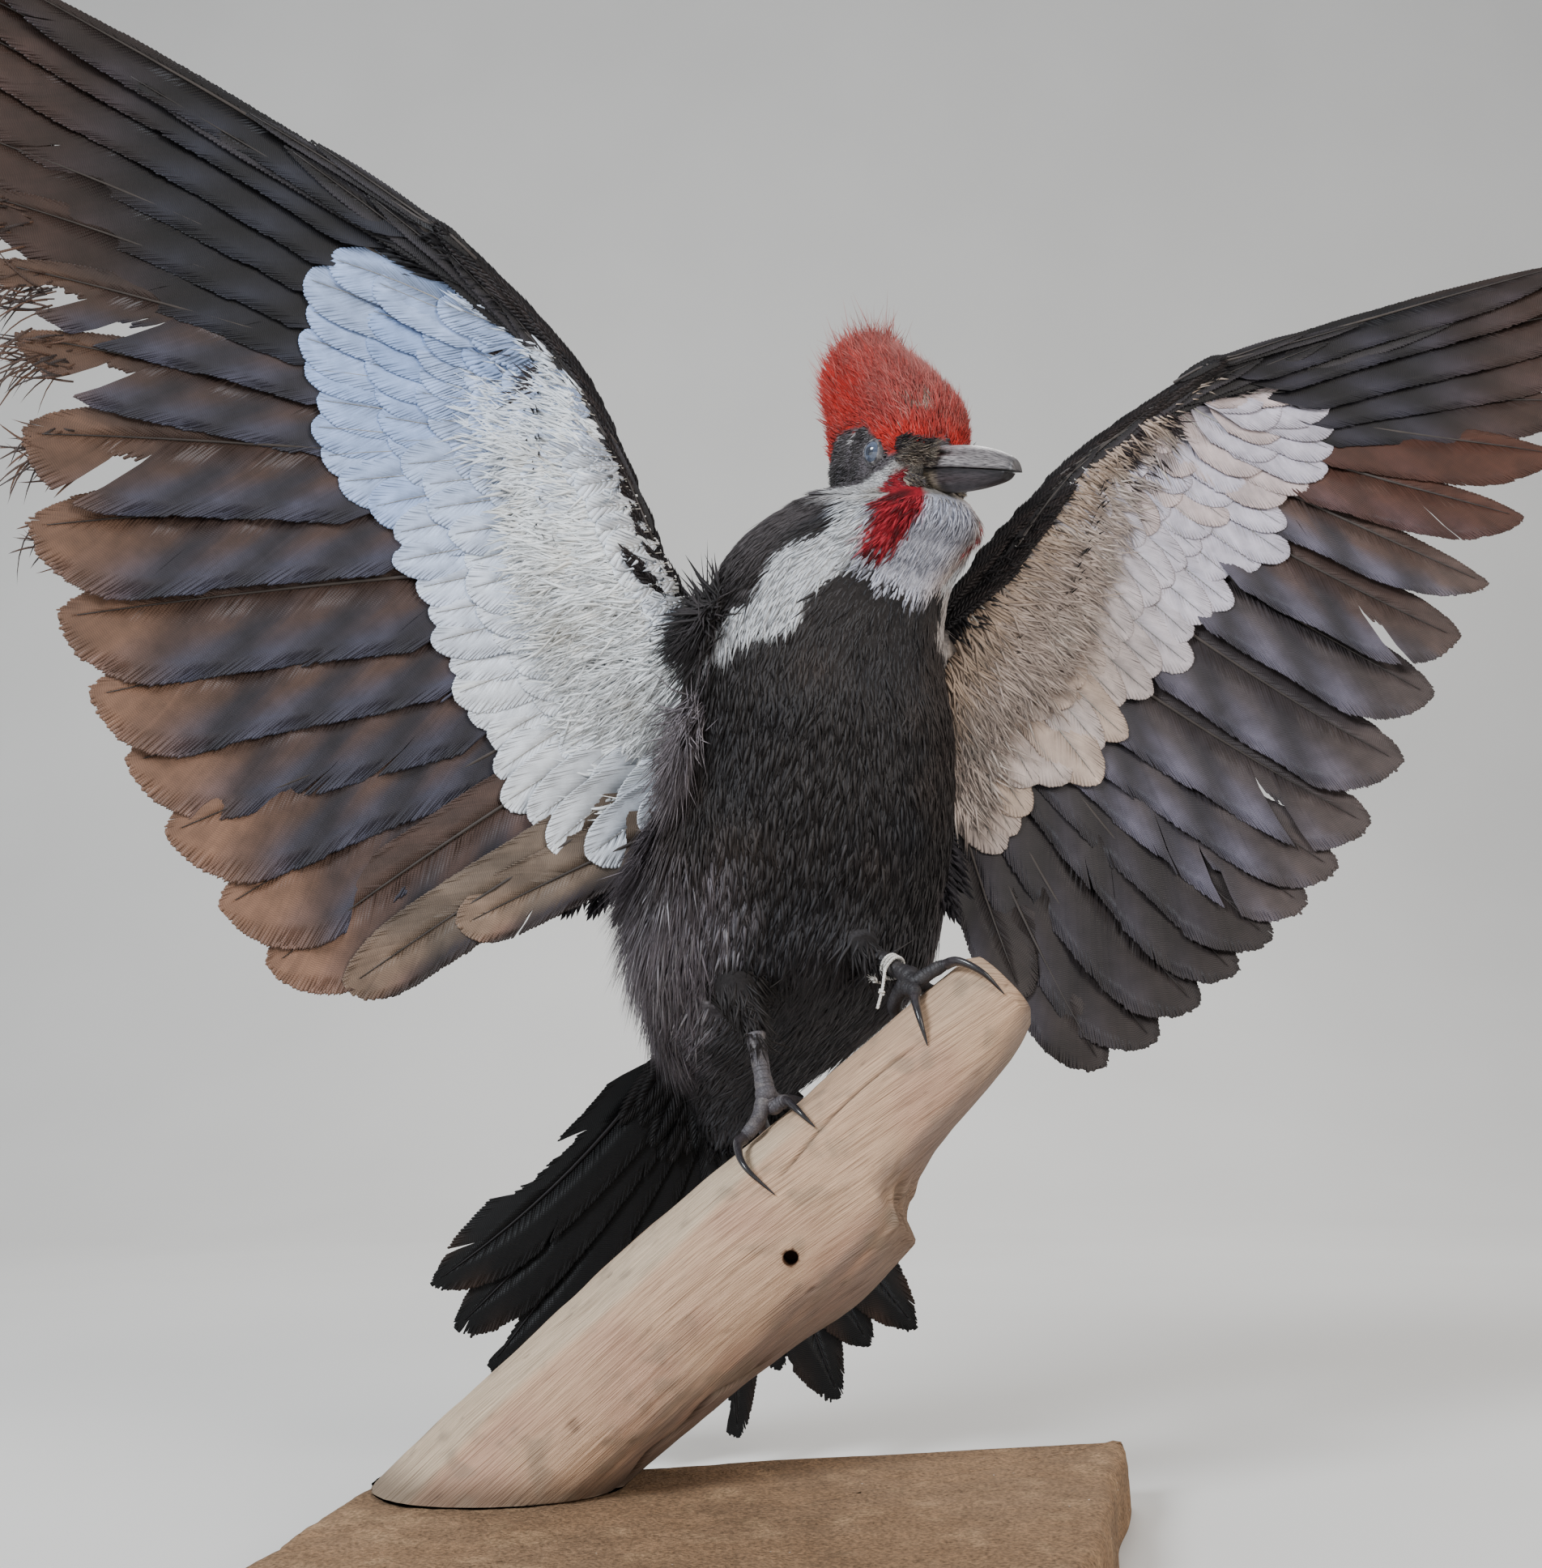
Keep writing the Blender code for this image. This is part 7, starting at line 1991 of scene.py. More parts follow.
for upper in (True, False):
    length = 49.0 if upper else 45.0
    rings, tones, lies = [], [], []
    cols, rows = 64, 84
    for j in range(rows):
        q = j / (rows - 1.0)
        w = 7.4 * (1 - 0.66 * q ** 1.8)
        h = (9.2 * (1 - 0.60 * q ** 3.0)) if upper else (8.2 * (1 - 0.70 * q ** 2.4))
        sag = -1.4 * q * q
        blunt = float(np.sqrt(np.maximum(1 - np.clip((q - 0.955) / 0.047, 0, 1) ** 2.4, 0.03)))
        w *= 0.25 + 0.75 * blunt
        ring, tone, lie = [], [], []
        for i in range(cols):
            if i < 44:
                a = math.pi * i / 43.0
                rise = abs(math.sin(a)) ** (1.15 if upper else 0.9)
                x = w * math.cos(a)
                up = h * rise
                if upper:
                    # sharp culmen, a ridge from the nostril forward, a groove beneath it
                    e = abs(a - math.pi / 2)
                    up += 0.35 * math.exp(-(e / 0.13) ** 2) * (1 - q)
                    k = abs(e - 0.62)
                    x *= 1 + 0.05 * math.exp(-(k / 0.10) ** 2) * (1 - q) - 0.07 * math.exp(-((e - 0.88) / 0.14) ** 2) * (1 - q)
                    slot_in = math.exp(-((q - 0.13) / 0.085) ** 2 - ((e - 0.86) / 0.11) ** 2)
                    x *= 1 - 0.16 * slot_in
                    d = math.exp(-((q - 0.13) / 0.07) ** 2 - ((e - 0.86) / 0.09) ** 2)
                else:
                    e = abs(a - math.pi / 2)
                    up -= 0.25 * math.exp(-(e / 0.2) ** 2) * (1 - q)
                    d = 0.0
                edge = math.exp(-(min(a, math.pi - a) / 0.16) ** 2)
                base_t = srgb(142, 136, 136) if upper else srgb(70, 65, 67)
                vein = noise(np.array([[q * 3.2, i * 0.42, 5.0 + upper]]), 1.0, 64)[0]
                base_t = base_t * (0.55 + 0.75 * vein)
                if upper:
                    # painted highlight: a pale band along the culmen
                    base_t = base_t + (srgb(172, 170, 174) - base_t) * math.exp(-((e - 0.02) / 0.36) ** 2) * (1 - 0.55 * q)
                    # painted shade in the groove beneath the nostril ridge
                    base_t = base_t * (1 - 0.55 * math.exp(-((e - 0.88) / 0.12) ** 2) * math.exp(-((q - 0.25) / 0.3) ** 2))
                base_t = base_t * (1 - 0.30 * q)
                # darker along the cutting edges; painted shade in the nostril slot
                base_t = base_t * (1 - 0.55 * edge) * (1 - 0.8 * d)
                if not upper:
                    base_t = base_t * (1 - max(0, 1 - q / 0.22) * 0.6) + srgb(186, 168, 140) * max(0, 1 - q / 0.22) * 0.6 * (1 - edge)
                base_t = base_t * (1 - 0.5 * float(smooth01(np.array(q), 0.86, 1.0)))
            else:
                b = (i - 43.0) / 21.0
                x = -w * (1 - 2 * b) * 0.985
                up = 0.0
                base_t = srgb(40, 38, 42)
            hgt = (up * blunt + 0.15) if up or i < 44 else 0.15
            z = -0.6 + sag + (hgt if upper else -hgt)
            ring.append(head_pt(0.2 + q * length - (1.2 * (up / max(h, 0.1)) * float(smooth01(np.array(q), 0.9, 1.0)) if True else 0), x, z))
            tone.append(base_t)
            lie.append((q * length, i * 0.55))
        rings.append(ring)
        tones.append(tone)
        lies.append(lie)
    v, f = loft_arrays(np.array(rings))
    tones = np.array(tones).reshape(-1, 3)
    lies = np.array(lies, float).reshape(-1, 2)
    cc = np.concatenate([tones, tones[:1], tones[-1:]])
    ll = np.concatenate([lies, lies[:1], lies[-1:]])
    name = "bill_upper" if upper else "bill_lower"
    with_lie(object_of("horn_" + name, v, f, horn.material, (name,), cc), ll)

# bristles over the nostrils, at the chin and round the gape
bristles = Pile()
for count, along_r, up_r, side_r, colours, aim_v, ln_r in (
        (620, (-6.0, 2.4), (0.5, 7.4), (0.35, 1.0), (srgb(112, 100, 92), srgb(76, 69, 68), srgb(158, 147, 132)), (0.95, 0.08, 0.05), (5.0, 10.5)),
        (200, (-3.0, 0.8), (-7.5, -3.2), (0.1, 0.95), (srgb(176, 164, 146), srgb(140, 132, 128), srgb(96, 90, 92)), (0.85, 0.05, -0.30), (3.5, 6.0)),
        (260, (-7.0, 1.0), (4.5, 10.0), (0.2, 0.9), (srgb(44, 40, 43), srgb(74, 68, 68)), (0.9, 0.05, 0.12), (4.0, 8.5))):
    for sign in (1, -1):
        al_ = rng.uniform(*along_r, count)
        up_ = rng.uniform(*up_r, count)
        ww = np.array([max(0.5, (lambda w, th, br, cr, u: w * math.sqrt(max(0, 1 - ((-2 - u) / (th - 2)) ** 2.2)) if u < -2
                                 else w * max(0.0, 1 - ((u + 2) / (cr + 2)) ** 3.8) ** 0.5)(*through(HEAD, a_), u_))
                       for a_, u_ in zip(al_, up_)])
        x_ = sign * ww * (1 - 0.05 * rng.rand(count))
        pts = head_pt(al_, x_, up_)
        nn = unit(H_LEFT * sign * 0.9 + H_UP * 0.2 * np.sign(up_)[:, None])
        dd = H_FWD * aim_v[0] + H_LEFT * (sign * aim_v[1]) + H_UP * aim_v[2] + 0.10 * rng.randn(count, 3)
        cc = np.array([colours[i] for i in rng.randint(0, len(colours), count)]) * (0.8 + 0.4 * rng.rand(count))[:, None]
        blades(bristles, p=pts, d=unit(dd), n=nn, length=rng.uniform(*ln_r, count), half=np.full(count, 0.22),
               lift=np.full(count, 0.05), settle=np.full(count, 0.05), sweep=0.15 * rng.randn(count),
               tip_c=cc, root_c=cc * 0.7, bake=np.tile([0.83, 0.42], (count, 1)) + np.stack([sign * 0.01 * (up_ + 8), al_ * 0.005], -1),
               stations=(0.0, 0.5), shape=(0.8, 1.0), thick=0.8, sink=0.3)
bristles.build("bill_bristles", SOFT, "head_plumage")

# --------------------------------------------------------------------------
# feet, claws
# --------------------------------------------------------------------------
scaled = Nodes("scaled_skin")
at = scaled.new("ShaderNodeAttribute", attribute_name="tint")
place = scaled.new("ShaderNodeTexCoord")
cells = scaled.new("ShaderNodeTexVoronoi")
cells.feature = "DISTANCE_TO_EDGE"
scaled.join(place.outputs["Object"], cells.inputs["Vector"])
cells.inputs["Scale"].default_value = 900.0
gaps_c = scaled.ramp(cells.outputs["Distance"], [(0.0, (0.55, 0.55, 0.55)), (0.12, (1.05, 1.05, 1.05))])
scaled.join(scaled.mix("MULTIPLY", 1.0, at.outputs["Color"], gaps_c), scaled.shader.inputs["Base Color"])
scaled.bump(cells.outputs["Distance"], 0.5, 0.0004)
scaled.set(Roughness=0.55, Specular_IOR_Level=0.4)
claw_n = Nodes("claw_horn")
at = claw_n.new("ShaderNodeAttribute", attribute_name="tint")
place = claw_n.new("ShaderNodeTexCoord")
fine = claw_n.new("ShaderNodeTexNoise")
claw_n.join(place.outputs["Object"], fine.inputs["Vector"])
fine.inputs["Scale"].default_value = 500.0
claw_n.join(claw_n.mix("MULTIPLY", 1.0, at.outputs["Color"],
                       claw_n.ramp(fine.outputs["Fac"], [(0.3, (0.7, 0.7, 0.7)), (0.7, (1.3, 1.3, 1.3))])),
            claw_n.shader.inputs["Base Color"])
claw_n.bump(fine.outputs["Fac"], 0.25, 0.0002)
claw_n.set(Roughness=0.26, Specular_IOR_Level=0.6)


def limb_out(s, a):
    """Away from the limb's axis at a place on its surface."""
    return unit(math.cos(a) * LIMB_N + math.sin(a) * LIMB_F)


for side, spec in FEET.items():
    joint = np.array(spec["tarsus"][-1], float)
    verts, faces, cols_, n_at = [], [], [], 0
    shank = smooth_path(spec["tarsus"], 60)
    runs = [(shank, through([(0.0, 3.5), (0.5, 2.85), (1.0, 3.2)], np.linspace(0, 1, 60)), 30, -LIMB_F * 0 + np.array([0, -1.0, 0.3]))]
    for toe, route in spec["toes"].items():
        keys = [tuple(joint)] + [tuple(limb_point(s, math.radians(a), h)) for s, a, h in route]
        path = smooth_path(keys, 190)
        cut = 94
        away = np.array([unit(q - (LIMB_FOOT + LIMB_AXIS * ((q - LIMB_FOOT) @ LIMB_AXIS) / (LIMB_AXIS @ LIMB_AXIS))) for q in path])
        toe_r = through([(0.0, 2.75), (0.3, 2.45), (0.6, 2.35), (0.85, 2.15), (1.0, 1.75)], np.linspace(0, 1, cut + 3))
        runs.append((path[:cut + 3], toe_r, 26, away[:cut + 3]))
        # claw: deep and narrow, hooked to a point
        cp, ca = path[cut:], away[cut:]
        m = len(cp)
        q = np.linspace(0, 1, m)
        rad = through([(0.0, 1.9), (0.3, 1.75), (0.7, 1.15), (0.92, 0.55), (1.0, 0.22)], q)
        hump = ca * (0.5 * np.sin(np.pi * np.minimum(1, q * 1.1)))[:, None]
        cp = cp + hump
        tan = unit(np.gradient(cp, axis=0))
        sd = unit(np.cross(tan, ca))
        nn = np.cross(sd, tan)
        a = 2 * np.pi * np.arange(22) / 22
        rings = cp[:, None] + (np.cos(a)[None] * rad[:, None] * 0.80)[..., None] * sd[:, None] \
            + (np.sin(a)[None] * rad[:, None] * 1.06)[..., None] * nn[:, None]
        v, f = loft_arrays(rings)
        tone = np.repeat(blend(np.broadcast_to(srgb(58, 54, 57), (m, 3)), srgb(32, 30, 33), smooth01(q, 0.1, 0.7)), 22, 0)
        cc = np.concatenate([tone, tone[:1], tone[-1:]])
        object_of("talon_%s_%s" % (toe, side), v, f, claw_n.material, ("claw_%s_%s" % (toe, side),), cc)
    for path, rad, sides_n, away in runs:
        m = len(path)
        away = np.broadcast_to(away, path.shape)
        tan = unit(np.gradient(path, axis=0))
        sd = unit(np.cross(tan, away))
        nn = np.cross(sd, tan)
        nn = nn * np.sign((nn * away).sum(1, keepdims=True))
        sd = np.cross(tan, nn)
        a = 2 * np.pi * np.arange(sides_n) / sides_n
        cum = np.concatenate([[0], np.cumsum(np.linalg.norm(np.diff(path, axis=0), axis=1))])
        scute = (cum / 1.55) % 1.0
        top_w = np.clip(np.sin(a), 0, 1)[None] ** 0.7
        plate = (scute ** 1.4)[:, None] * 0.16 - 0.06 * (scute[:, None] < 0.12)
        beads = 0.07 * np.sin(a[None] * 13 + 1.5 * np.sin(cum[:, None] * 2.2)) * np.sin(cum[:, None] * 4.6) * (1 - top_w)
        joint_lump = 0.18 * np.sin(cum / cum[-1] * np.pi * 3.0)[:, None] ** 2
        rr = rad[:, None] * (1 + joint_lump * 0.4) + plate * top_w + beads
        rings = path[:, None] + (np.cos(a)[None] * rr)[..., None] * sd[:, None] + (np.sin(a)[None] * rr)[..., None] * nn[:, None]
        v, f = loft_arrays(rings)
        groove = (scute < 0.14)[:, None] * top_w
        tone = blend(np.broadcast_to(srgb(80, 76, 80), (m, sides_n, 3)), srgb(36, 33, 36), 0.8 * groove)
        tone = blend(tone, srgb(108, 102, 100), 0.5 * smooth01(noise(rings, 2.4, 81), 0.55, 0.8))
        # painted shade: the left foot darkened to about a third of the right one
        tone = tone * (0.36 if side == "left" else 1.0)
        tone = tone.reshape(-1, 3)
        verts.append(v)
        faces += [ff + n_at for ff in f]
        cols_.append(np.concatenate([tone, tone[:1], tone[-1:]]))
        n_at += len(v)
    ball = []
    for th in np.linspace(0.05, math.pi - 0.05, 24):
        a = 2 * np.pi * np.arange(28) / 28
        r = 3.75 * (1 + 0.03 * np.sin(a * 9) * np.sin(th * 7))
        ball.append(joint + np.stack([np.sin(th) * np.cos(a) * r, np.sin(th) * np.sin(a) * r, np.cos(th) * r + 0 * a], -1))
    v, f = loft_arrays(np.array(ball))
    verts.append(v)
    faces += [ff + n_at for ff in f]
    # painted shade: the left ankle darkened like its foot
    cols_.append(np.tile(srgb(78, 74, 78) * (0.36 if side == "left" else 1.0), (len(v), 1)))
    object_of("scaled_foot_" + side, np.concatenate(verts), faces, scaled.material,
              ("foot_" + side,), np.concatenate(cols_))

# --------------------------------------------------------------------------
# string: three fine strands laid together
# --------------------------------------------------------------------------
cotton = Nodes("string")
place = cotton.new("ShaderNodeTexCoord")
fib = cotton.new("ShaderNodeTexNoise")
cotton.join(place.outputs["Object"], fib.inputs["Vector"])
fib.inputs["Scale"].default_value = 1500.0
fib.inputs["Detail"].default_value = 4.0
cotton.join(cotton.ramp(fib.outputs["Fac"], [(0.3, srgb(176, 172, 164)), (0.7, srgb(232, 230, 226))]), cotton.shader.inputs["Base Color"])
cotton.bump(fib.outputs["Fac"], 0.5, 0.0002)
cotton.set(Roughness=0.85, Specular_IOR_Level=0.15)
sa, sb = (np.array(FEET["left"]["tarsus"][i], float) for i in (0, -1))
axis = unit(sb - sa)
turn_mid = sa + (sb - sa) * 0.42
e1 = unit(UP - axis * axis[2])
e2 = np.cross(axis, e1)
q = np.linspace(0, 1, 34)
a = math.pi * (1.15 + 2 * 2.6 * q)
loops = turn_mid + ((q - 0.5) * 2.6 * 1.45)[:, None] * axis + (np.cos(a)[:, None] * e1 + np.sin(a)[:, None] * e2) * 4.15
d0, d1 = unit(loops[0] - loops[1]), unit(loops[-1] - loops[-2])
fray_a = [loops[0] + d0 * 3.0 + np.array([-1.0, -2.0, -1.0]), loops[0] + np.array([-6.0, -6.5, -2.0])]
knot_b = [loops[-1] + d1 * 2.5 + np.array([0.0, -3.0, -1.0]), loops[-1] + np.array([-3.0, -7.5, -9.0]), loops[-1] + np.array([-5.0, -8.0, -16.0])]
route = np.concatenate([smooth_path([fray_a[1], fray_a[0], loops[0]], 6)[:-1], loops, smooth_path([loops[-1]] + knot_b, 8)[1:]])
route = smooth_path(route, 320)
tan = unit(np.gradient(route, axis=0))
ref = unit(np.cross(tan, np.array([0.3, -0.8, 0.5])))
ref2 = np.cross(tan, ref)
verts, faces, n_at = [], [], 0
cum = np.concatenate([[0], np.cumsum(np.linalg.norm(np.diff(route, axis=0), axis=1))])


def add_tube(path, radius, sides_n):
    global n_at
    v, f = loft_arrays(tube_rings(path, radius, sides_n))
    verts.append(v)
    faces.extend([ff + n_at for ff in f])
    n_at += len(v)


for j in range(3):
    ph = cum / 3.2 * 2 * math.pi + j * 2 * math.pi / 3
    flare = 1 + 2.2 * smooth01(-cum, -2.6, 0.0)
    line = route + (np.cos(ph) * 0.27 * flare)[:, None] * ref + (np.sin(ph) * 0.27 * flare)[:, None] * ref2
    add_tube(line, np.full(len(line), 0.30), 8)
for j in range(26):
    start = route[0] + rng.randn(3) * 0.25
    aim = unit(-tan[0] + 0.5 * rng.randn(3))
    ln = 1.2 + 1.6 * rng.rand()
    line = start + aim * (np.linspace(0, ln, 8))[:, None] + (np.linspace(0, 1, 8) ** 2)[:, None] * rng.randn(3) * 0.5
    add_tube(line, np.linspace(0.09, 0.03, 8), 5)
kn = route[-14]
a = np.linspace(0, 2 * np.pi * 1.6, 60)
add_tube(kn + (np.cos(a)[:, None] * ref[-14] + np.sin(a)[:, None] * ref2[-14]) * 0.75 + tan[-14] * (np.linspace(-0.7, 0.7, 60))[:, None],
         np.full(60, 0.42), 8)
object_of("cotton_string", np.concatenate(verts), faces, cotton.material, ("leg_string",))

# --------------------------------------------------------------------------
# limb
# --------------------------------------------------------------------------
wood = Nodes("driftwood")
at = wood.new("ShaderNodeAttribute", attribute_name="tint")
uvn = wood.new("ShaderNodeUVMap", uv_map="lie")
mp = wood.new("ShaderNodeMapping")
wood.join(uvn.outputs["UV"], mp.inputs["Vector"])
mp.inputs["Scale"].default_value = (0.014, 0.95, 1.0)
grain = wood.new("ShaderNodeTexNoise")
wood.join(mp.outputs["Vector"], grain.inputs["Vector"])
grain.inputs["Scale"].default_value = 3.0
grain.inputs["Detail"].default_value = 8.0
grain.inputs["Distortion"].default_value = 0.5
mp2 = wood.new("ShaderNodeMapping")
wood.join(uvn.outputs["UV"], mp2.inputs["Vector"])
mp2.inputs["Scale"].default_value = (0.034, 1.7, 1.0)
dash = wood.new("ShaderNodeTexNoise")
wood.join(mp2.outputs["Vector"], dash.inputs["Vector"])
dash.inputs["Scale"].default_value = 2.0
dash.inputs["Detail"].default_value = 3.0
c1 = wood.mix("MULTIPLY", 1.0, at.outputs["Color"],
              wood.ramp(grain.outputs["Fac"], [(0.36, (0.62, 0.59, 0.57)), (0.50, (0.95, 0.95, 0.95)), (0.64, (1.14, 1.14, 1.13))]))
c2 = wood.mix("MULTIPLY", 1.0, c1, wood.ramp(dash.outputs["Fac"], [(0.33, (0.60, 0.57, 0.56)), (0.42, (1, 1, 1))]))
wood.join(c2, wood.shader.inputs["Base Color"])
both = wood.math("ADD", grain.outputs["Fac"], wood.math("MULTIPLY", dash.outputs["Fac"], 0.6))
wood.bump(both, 0.7, 0.0008)
wood.set(Roughness=0.82, Specular_IOR_Level=0.2)

rows_n, cols_n = 250, 216
ss = np.linspace(-0.26, 1.0, rows_n)
aa = 2 * np.pi * np.arange(cols_n) / cols_n
S, A = np.meshgrid(ss, aa, indexing="ij")
P0 = limb_point(S, A, np.where(S > 0.985, -2.2 * (S - 0.985) / 0.015, 0.0))
axis_u = unit(LIMB_AXIS)
mid = LIMB_FOOT + S[..., None] * LIMB_AXIS
outw = unit(P0 - mid)
reach = np.linalg.norm(P0 - mid, axis=-1)
along_mm = S * np.linalg.norm(LIMB_AXIS)
round_mm = np.cumsum(np.concatenate([np.zeros((rows_n, 1)), np.linalg.norm(np.diff(P0, axis=1), axis=-1)], 1), 1)
lie = np.stack([along_mm, round_mm], -1)
g3 = np.stack([along_mm * 0.12, P0[..., 1], P0[..., 2] - along_mm * 0.68], -1)
grain_d = rough(g3, 3.2, 91, 4) - 0.5
lump_d = rough(P0, 26.0, 92, 3) - 0.5
pit = smooth01(noise(np.stack([along_mm * 0.25, P0[..., 1], P0[..., 2] - along_mm * 0.68], -1), 2.2, 93), 0.90, 0.97) * 0.6
crack_a = np.exp(-(((A - 4.15 + 0.25 * np.sin(along_mm / 24.0) + 0.05 * np.sin(along_mm / 5.0)) / 0.028) ** 2)) * smooth01(S, 0.02, 0.08) * (1 - smooth01(S, 0.52, 0.62))
crack_c = np.exp(-(((A - 2.62 - 0.10 * np.sin(along_mm / 13.0) - 0.05 * np.sin(along_mm / 4.0)) / 0.045) ** 2)) * smooth01(S, -0.22, -0.10) * (1 - smooth01(S, 0.30, 0.44))
crack_b = np.exp(-(((A - 1.2 - 0.10 * np.sin(along_mm / 15.0)) / 0.02) ** 2)) * smooth01(S, 0.55, 0.60) * (1 - smooth01(S, 0.80, 0.86))
torn = np.exp(-((S - 0.665) / 0.05) ** 2) * smooth01(-np.cos(A), 0.35, 0.8)
splinter = torn * (noise(np.stack([along_mm * 0.2, P0[..., 1] * 1.6, P0[..., 2] * 0.2], -1), 2.0, 94) - 0.5) * 5.0
disp = 0.55 * grain_d * 1.6 + 1.6 * lump_d - 0.7 * pit - 3.2 * crack_a - 1.6 * crack_b - 2.2 * crack_c + splinter - 0.35
foot_fade = smooth01(S, -0.05, 0.02)
P = P0 + outw * disp[..., None]
# pull the top end in to a rounded, broken face
sunk = np.maximum(22.35 - P[..., 2], 0.0) / axis_u[2]
P = P + sunk[..., None] * axis_u
hole = np.array([13.4, 10.0, 91.9])
aim = unit(np.array([0.05, 1.0, 0.10]))
tone = np.broadcast_to(srgb(200, 166, 138), P.shape).copy()
# painted light: a pale cream upper side on the lower half of the limb
tone = blend(tone, srgb(206, 187, 162), 0.75 * (1 - smooth01(A + 0.06 * np.sin(along_mm / 17.0), 0.85, 1.0)) * (1 - smooth01(S, 0.55, 0.7)))
tone = blend(tone, srgb(188, 150, 128), 0.7 * smooth01(A, 0.9, 1.1) * smooth01(rough(P0, 30.0, 95), 0.45, 0.65))
tone = blend(tone, srgb(186, 160, 136), 0.75 * smooth01(S + 0.3 * (rough(P0, 18.0, 96) - 0.5), 0.70, 0.95) * smooth01(np.cos(A), -0.5, 0.6))
# painted shade: a grey-dark underside
tone = blend(tone, srgb(118, 106, 100), 0.8 * smooth01(-np.cos(A + 0.2) + 0.5 * grain_d, 0.55, 0.95))
# painted shadow: darker near the slab, where the limb meets it
tone = blend(tone, srgb(92, 78, 66), 0.7 * smooth01(-(P[..., 2]), -34.0, -24.0))
tone = blend(tone, srgb(60, 50, 44), np.clip(crack_a + crack_b * 0.8 + crack_c + 0.7 * pit, 0, 1))
tone = blend(tone, srgb(120, 96, 76), 0.6 * torn)
tone = blend(tone, srgb(136, 122, 106), 0.5 * smooth01(rough(P0, 8.0, 97), 0.55, 0.75))
v, f = loft_arrays(P)
cc = np.concatenate([tone.reshape(-1, 3), tone[0, :1], srgb(150, 124, 96)[None]])
ll = np.concatenate([lie.reshape(-1, 2), lie[0, :1], lie[-1, :1]])
limb = with_lie(object_of("driftwood_limb", v, f, wood.material, ("branch",), cc), ll)
bm = bmesh.new()
bmesh.ops.create_cone(bm, cap_ends=True, segments=40, radius1=2.4 * MM, radius2=2.4 * MM, depth=32 * MM)
me = bpy.data.meshes.new("screw_cutter")
bm.to_mesh(me)
bm.free()
cutter = bpy.data.objects.new("screw_cutter", me)
scene.collection.objects.link(cutter)
cutter.rotation_mode = "QUATERNION"
cutter.rotation_quaternion = Vector(aim).to_track_quat("Z", "Y")
cutter.location = Vector(hole * MM)
cut = limb.modifiers.new("screw_hole", "BOOLEAN")
cut.operation, cut.solver, cut.object = "DIFFERENCE", "MANIFOLD", cutter
bpy.context.view_layer.update()
new_me = bpy.data.meshes.new_from_object(limb.evaluated_get(bpy.context.evaluated_depsgraph_get()))
limb.modifiers.clear()
limb.data = new_me
at = new_me.color_attributes.get("tint")
spots = np.empty(len(new_me.vertices) * 3, np.float32)
new_me.vertices.foreach_get("co", spots)
spots = spots.reshape(-1, 3) / MM - hole
shades = np.empty(len(spots) * 4, np.float32)
at.data.foreach_get("color", shades)
shades = shades.reshape(-1, 4)
from_axis = np.linalg.norm(spots - (spots @ aim)[:, None] * aim, axis=1)
shades[from_axis < 2.55, :3] = srgb(92, 66, 48)
near_hole = (from_axis < 4.2) & (from_axis >= 2.55)
shades[near_hole, :3] *= 0.86
shades[:, 3] = 1.0
at.data.foreach_set("color", shades.ravel())
bpy.data.objects.remove(cutter, do_unlink=True)

# --------------------------------------------------------------------------
# slab
# --------------------------------------------------------------------------
grit = Nodes("slab")
at = grit.new("ShaderNodeAttribute", attribute_name="tint")
place = grit.new("ShaderNodeTexCoord")
sand = grit.new("ShaderNodeTexNoise")
grit.join(place.outputs["Object"], sand.inputs["Vector"])
sand.inputs["Scale"].default_value = 900.0
sand.inputs["Detail"].default_value = 6.0
blot = grit.new("ShaderNodeTexNoise")
grit.join(place.outputs["Object"], blot.inputs["Vector"])
blot.inputs["Scale"].default_value = 60.0
blot.inputs["Detail"].default_value = 6.0
grains = grit.new("ShaderNodeTexVoronoi")
grit.join(place.outputs["Object"], grains.inputs["Vector"])
grains.inputs["Scale"].default_value = 420.0
c1 = grit.mix("MULTIPLY", 1.0, at.outputs["Color"],
              grit.ramp(sand.outputs["Fac"], [(0.28, (0.45, 0.44, 0.42)), (0.5, (0.95, 0.95, 0.95)), (0.72, (1.45, 1.42, 1.38))]))
c1 = grit.mix("MULTIPLY", 1.0, c1, grit.ramp(blot.outputs["Fac"], [(0.3, (0.86, 0.85, 0.84)), (0.7, (1.12, 1.12, 1.12))]))
white_dots = grit.ramp(grains.outputs["Distance"], [(0.10, (1, 1, 1)), (0.16, (0, 0, 0))])
rare = grit.ramp(grains.outputs["Color"], [(0.86, (0, 0, 0)), (0.90, (1, 1, 1))])
mask = grit.mix("MULTIPLY", 1.0, white_dots, rare)
grit.join(grit.mix("MIX", mask, c1, (0.72, 0.70, 0.66)), grit.shader.inputs["Base Color"])
grit.bump(sand.outputs["Fac"], 0.9, 0.0010)
grit.set(Roughness=0.92, Specular_IOR_Level=0.15)

CORNERS = np.array(((134.0, 99.0), (-124.0, 51.5), (-142.0, -97.0), (78.0, -104.0)))
edge_pts = []
per = 90
for i in range(4):
    a_, b_ = CORNERS[i], CORNERS[(i + 1) % 4]
    d_ = b_ - a_
    nrm = unit(np.array([-d_[1], d_[0]]))
    for j in range(per):
        q = j / per
        wob = 0.9 * math.sin(11.0 * q + 2.1 * i) + 0.6 * math.sin(23.0 * q + 1.3 * i)
        p_ = a_ + d_ * q + nrm * (wob * math.sin(math.pi * q))
        inset = 2.5 * math.exp(-min(q, 1 - q) / 0.02)
        edge_pts.append(p_ * (1 - inset / np.linalg.norm(p_)))
edge_pts = np.array(edge_pts)
centre = edge_pts.mean(0)
inward = unit(centre - edge_pts)
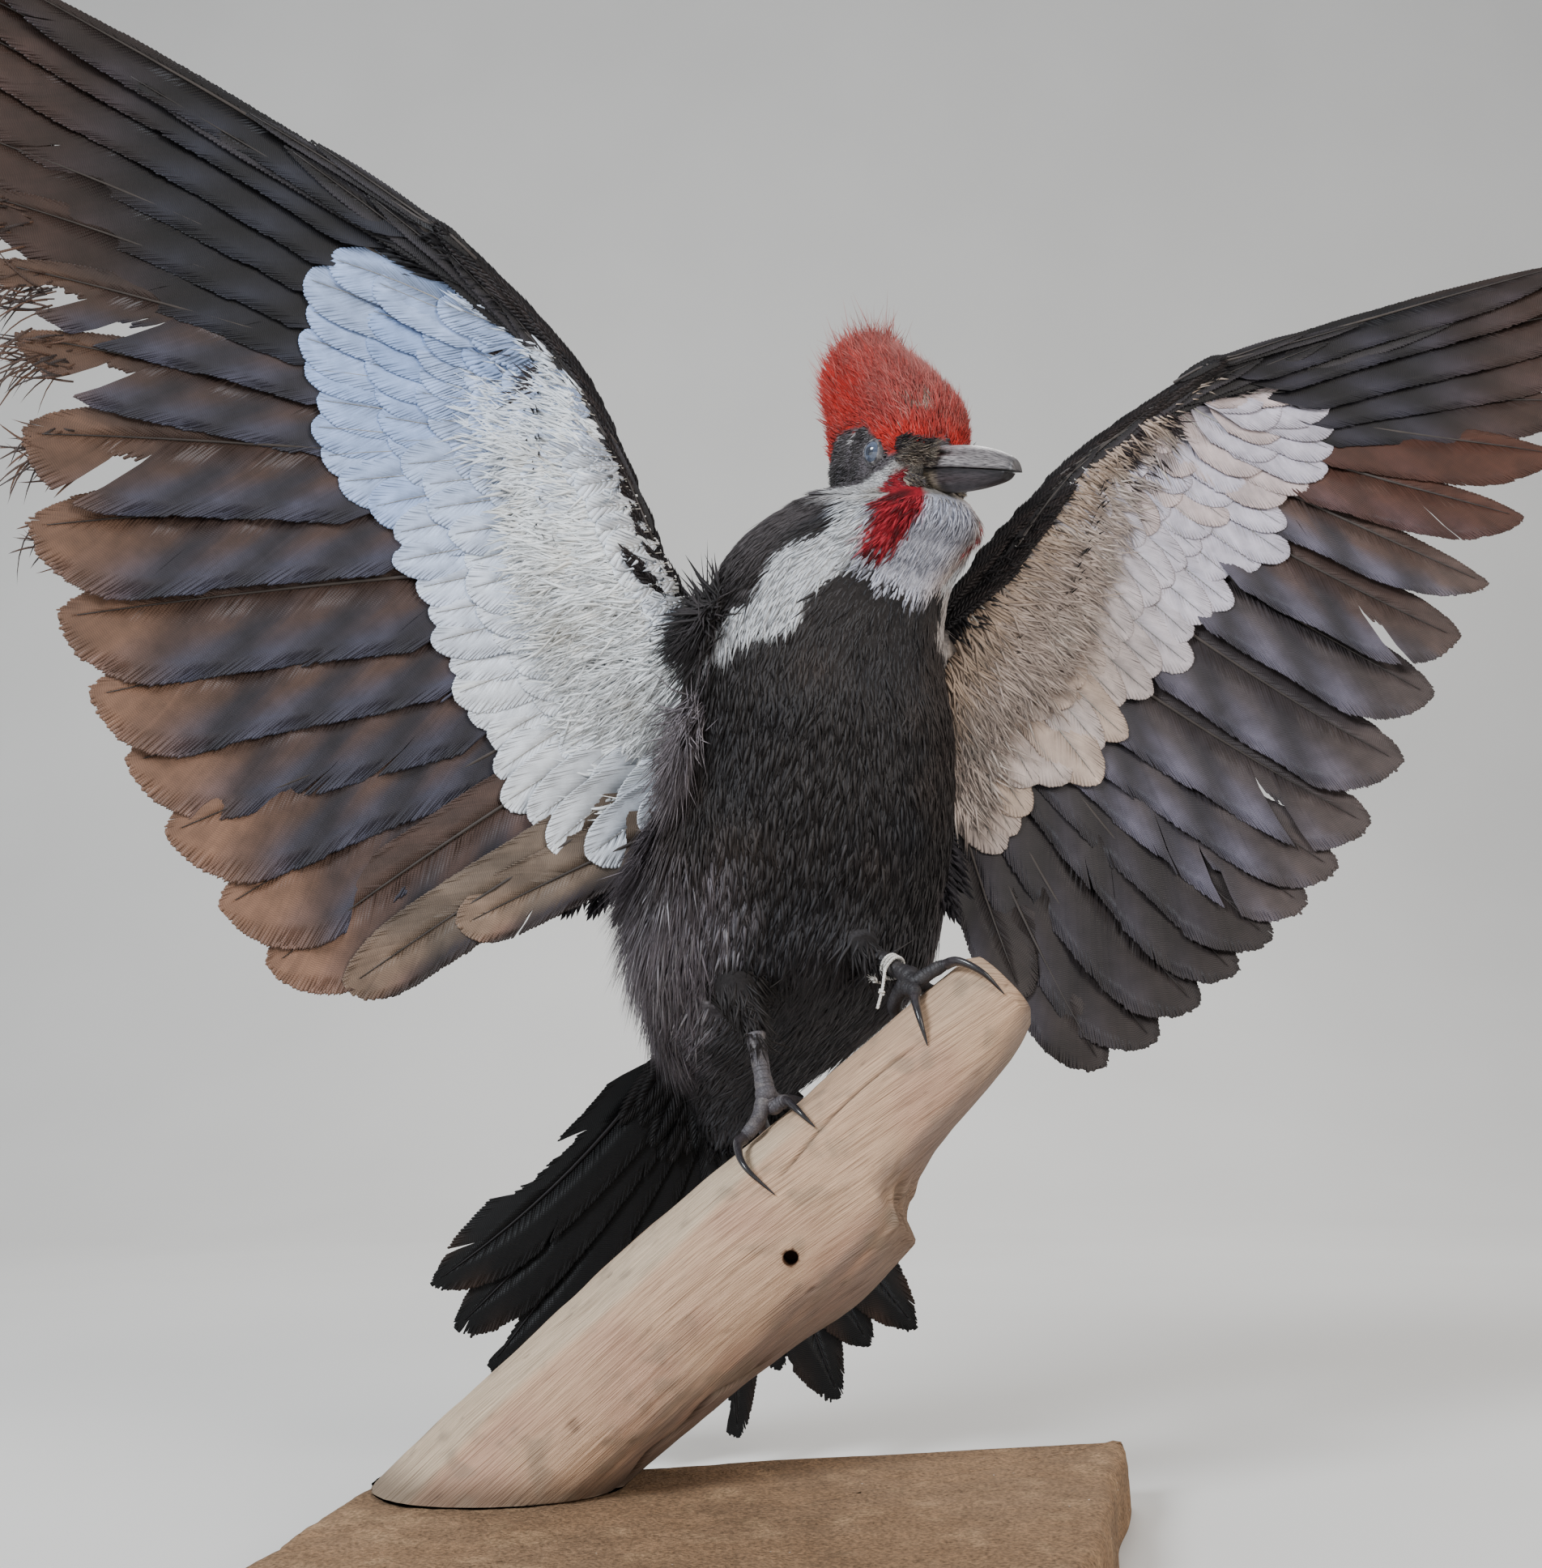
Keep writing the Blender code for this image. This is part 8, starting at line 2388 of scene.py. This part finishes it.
tan2 = unit(np.roll(edge_pts, -1, 0) - np.roll(edge_pts, 1, 0))
nrm2 = np.stack([tan2[:, 1], -tan2[:, 0]], -1)
nrm2 = nrm2 * np.sign(((edge_pts - centre) * nrm2).sum(1, keepdims=True))
rings = []
profile = [(0.0, 0.0, 0), (0.0, 0.6, 0.2), (0.0, 3.0, 1), (0.0, 6.5, 1), (0.0, 10.0, 1), (0.0, 13.5, 1), (0.0, 16.5, 1), (0.3, 18.8, 1),
           (1.2, 20.4, 1), (2.6, 21.4, 0.8), (4.4, 21.8, 0.5)]
for inset, z, amount in profile:
    base_p = edge_pts - nrm2 * inset
    p3 = np.concatenate([base_p, np.full((len(base_p), 1), z)], 1)
    off = (rough(p3, 7.0, 101, 4) - 0.62) * 3.2 * amount
    p3[:, :2] += nrm2 * np.minimum(off, 0.0)[:, None]
    rings.append(p3)
side_top = rings[-1]
for q in np.linspace(0, 1, 74)[1:-1]:
    e = q ** 0.9
    flat_p = side_top[:, :2] * (1 - e) + centre * e
    p3 = np.concatenate([flat_p, np.full((len(flat_p), 1), 21.95)], 1)
    p3[:, 2] += (rough(p3, 6.0, 102, 4) - 0.62).clip(-1, 0.02) * 1.5
    rings.append(p3)
rings = np.array(rings)
v, f = loft_arrays(rings)
height_z = v[:, 2]
tone = np.broadcast_to(srgb(136, 109, 84), v.shape).copy()
tone = blend(tone, srgb(128, 104, 82), 0.6 * smooth01(rough(v, 22.0, 103), 0.45, 0.7))
tone = blend(tone, srgb(164, 136, 106), 0.5 * smooth01(rough(v, 9.0, 104), 0.55, 0.75))
tone = blend(tone, srgb(104, 86, 70), 0.5 * (height_z < 17) * smooth01(rough(v, 14.0, 105), 0.4, 0.6))
foot_p = LIMB_FOOT + LIMB_AXIS * 0.0
# painted shadow of the limb on the slab round its foot
limb_shadow = np.exp(-(np.linalg.norm((v - foot_p)[:, :2] / np.array([62.0, 40.0]), axis=1) ** 4))
tone = blend(tone, srgb(84, 70, 58), 0.45 * limb_shadow)
object_of("gritty_slab", v, f, grit.material, ("base",), tone)
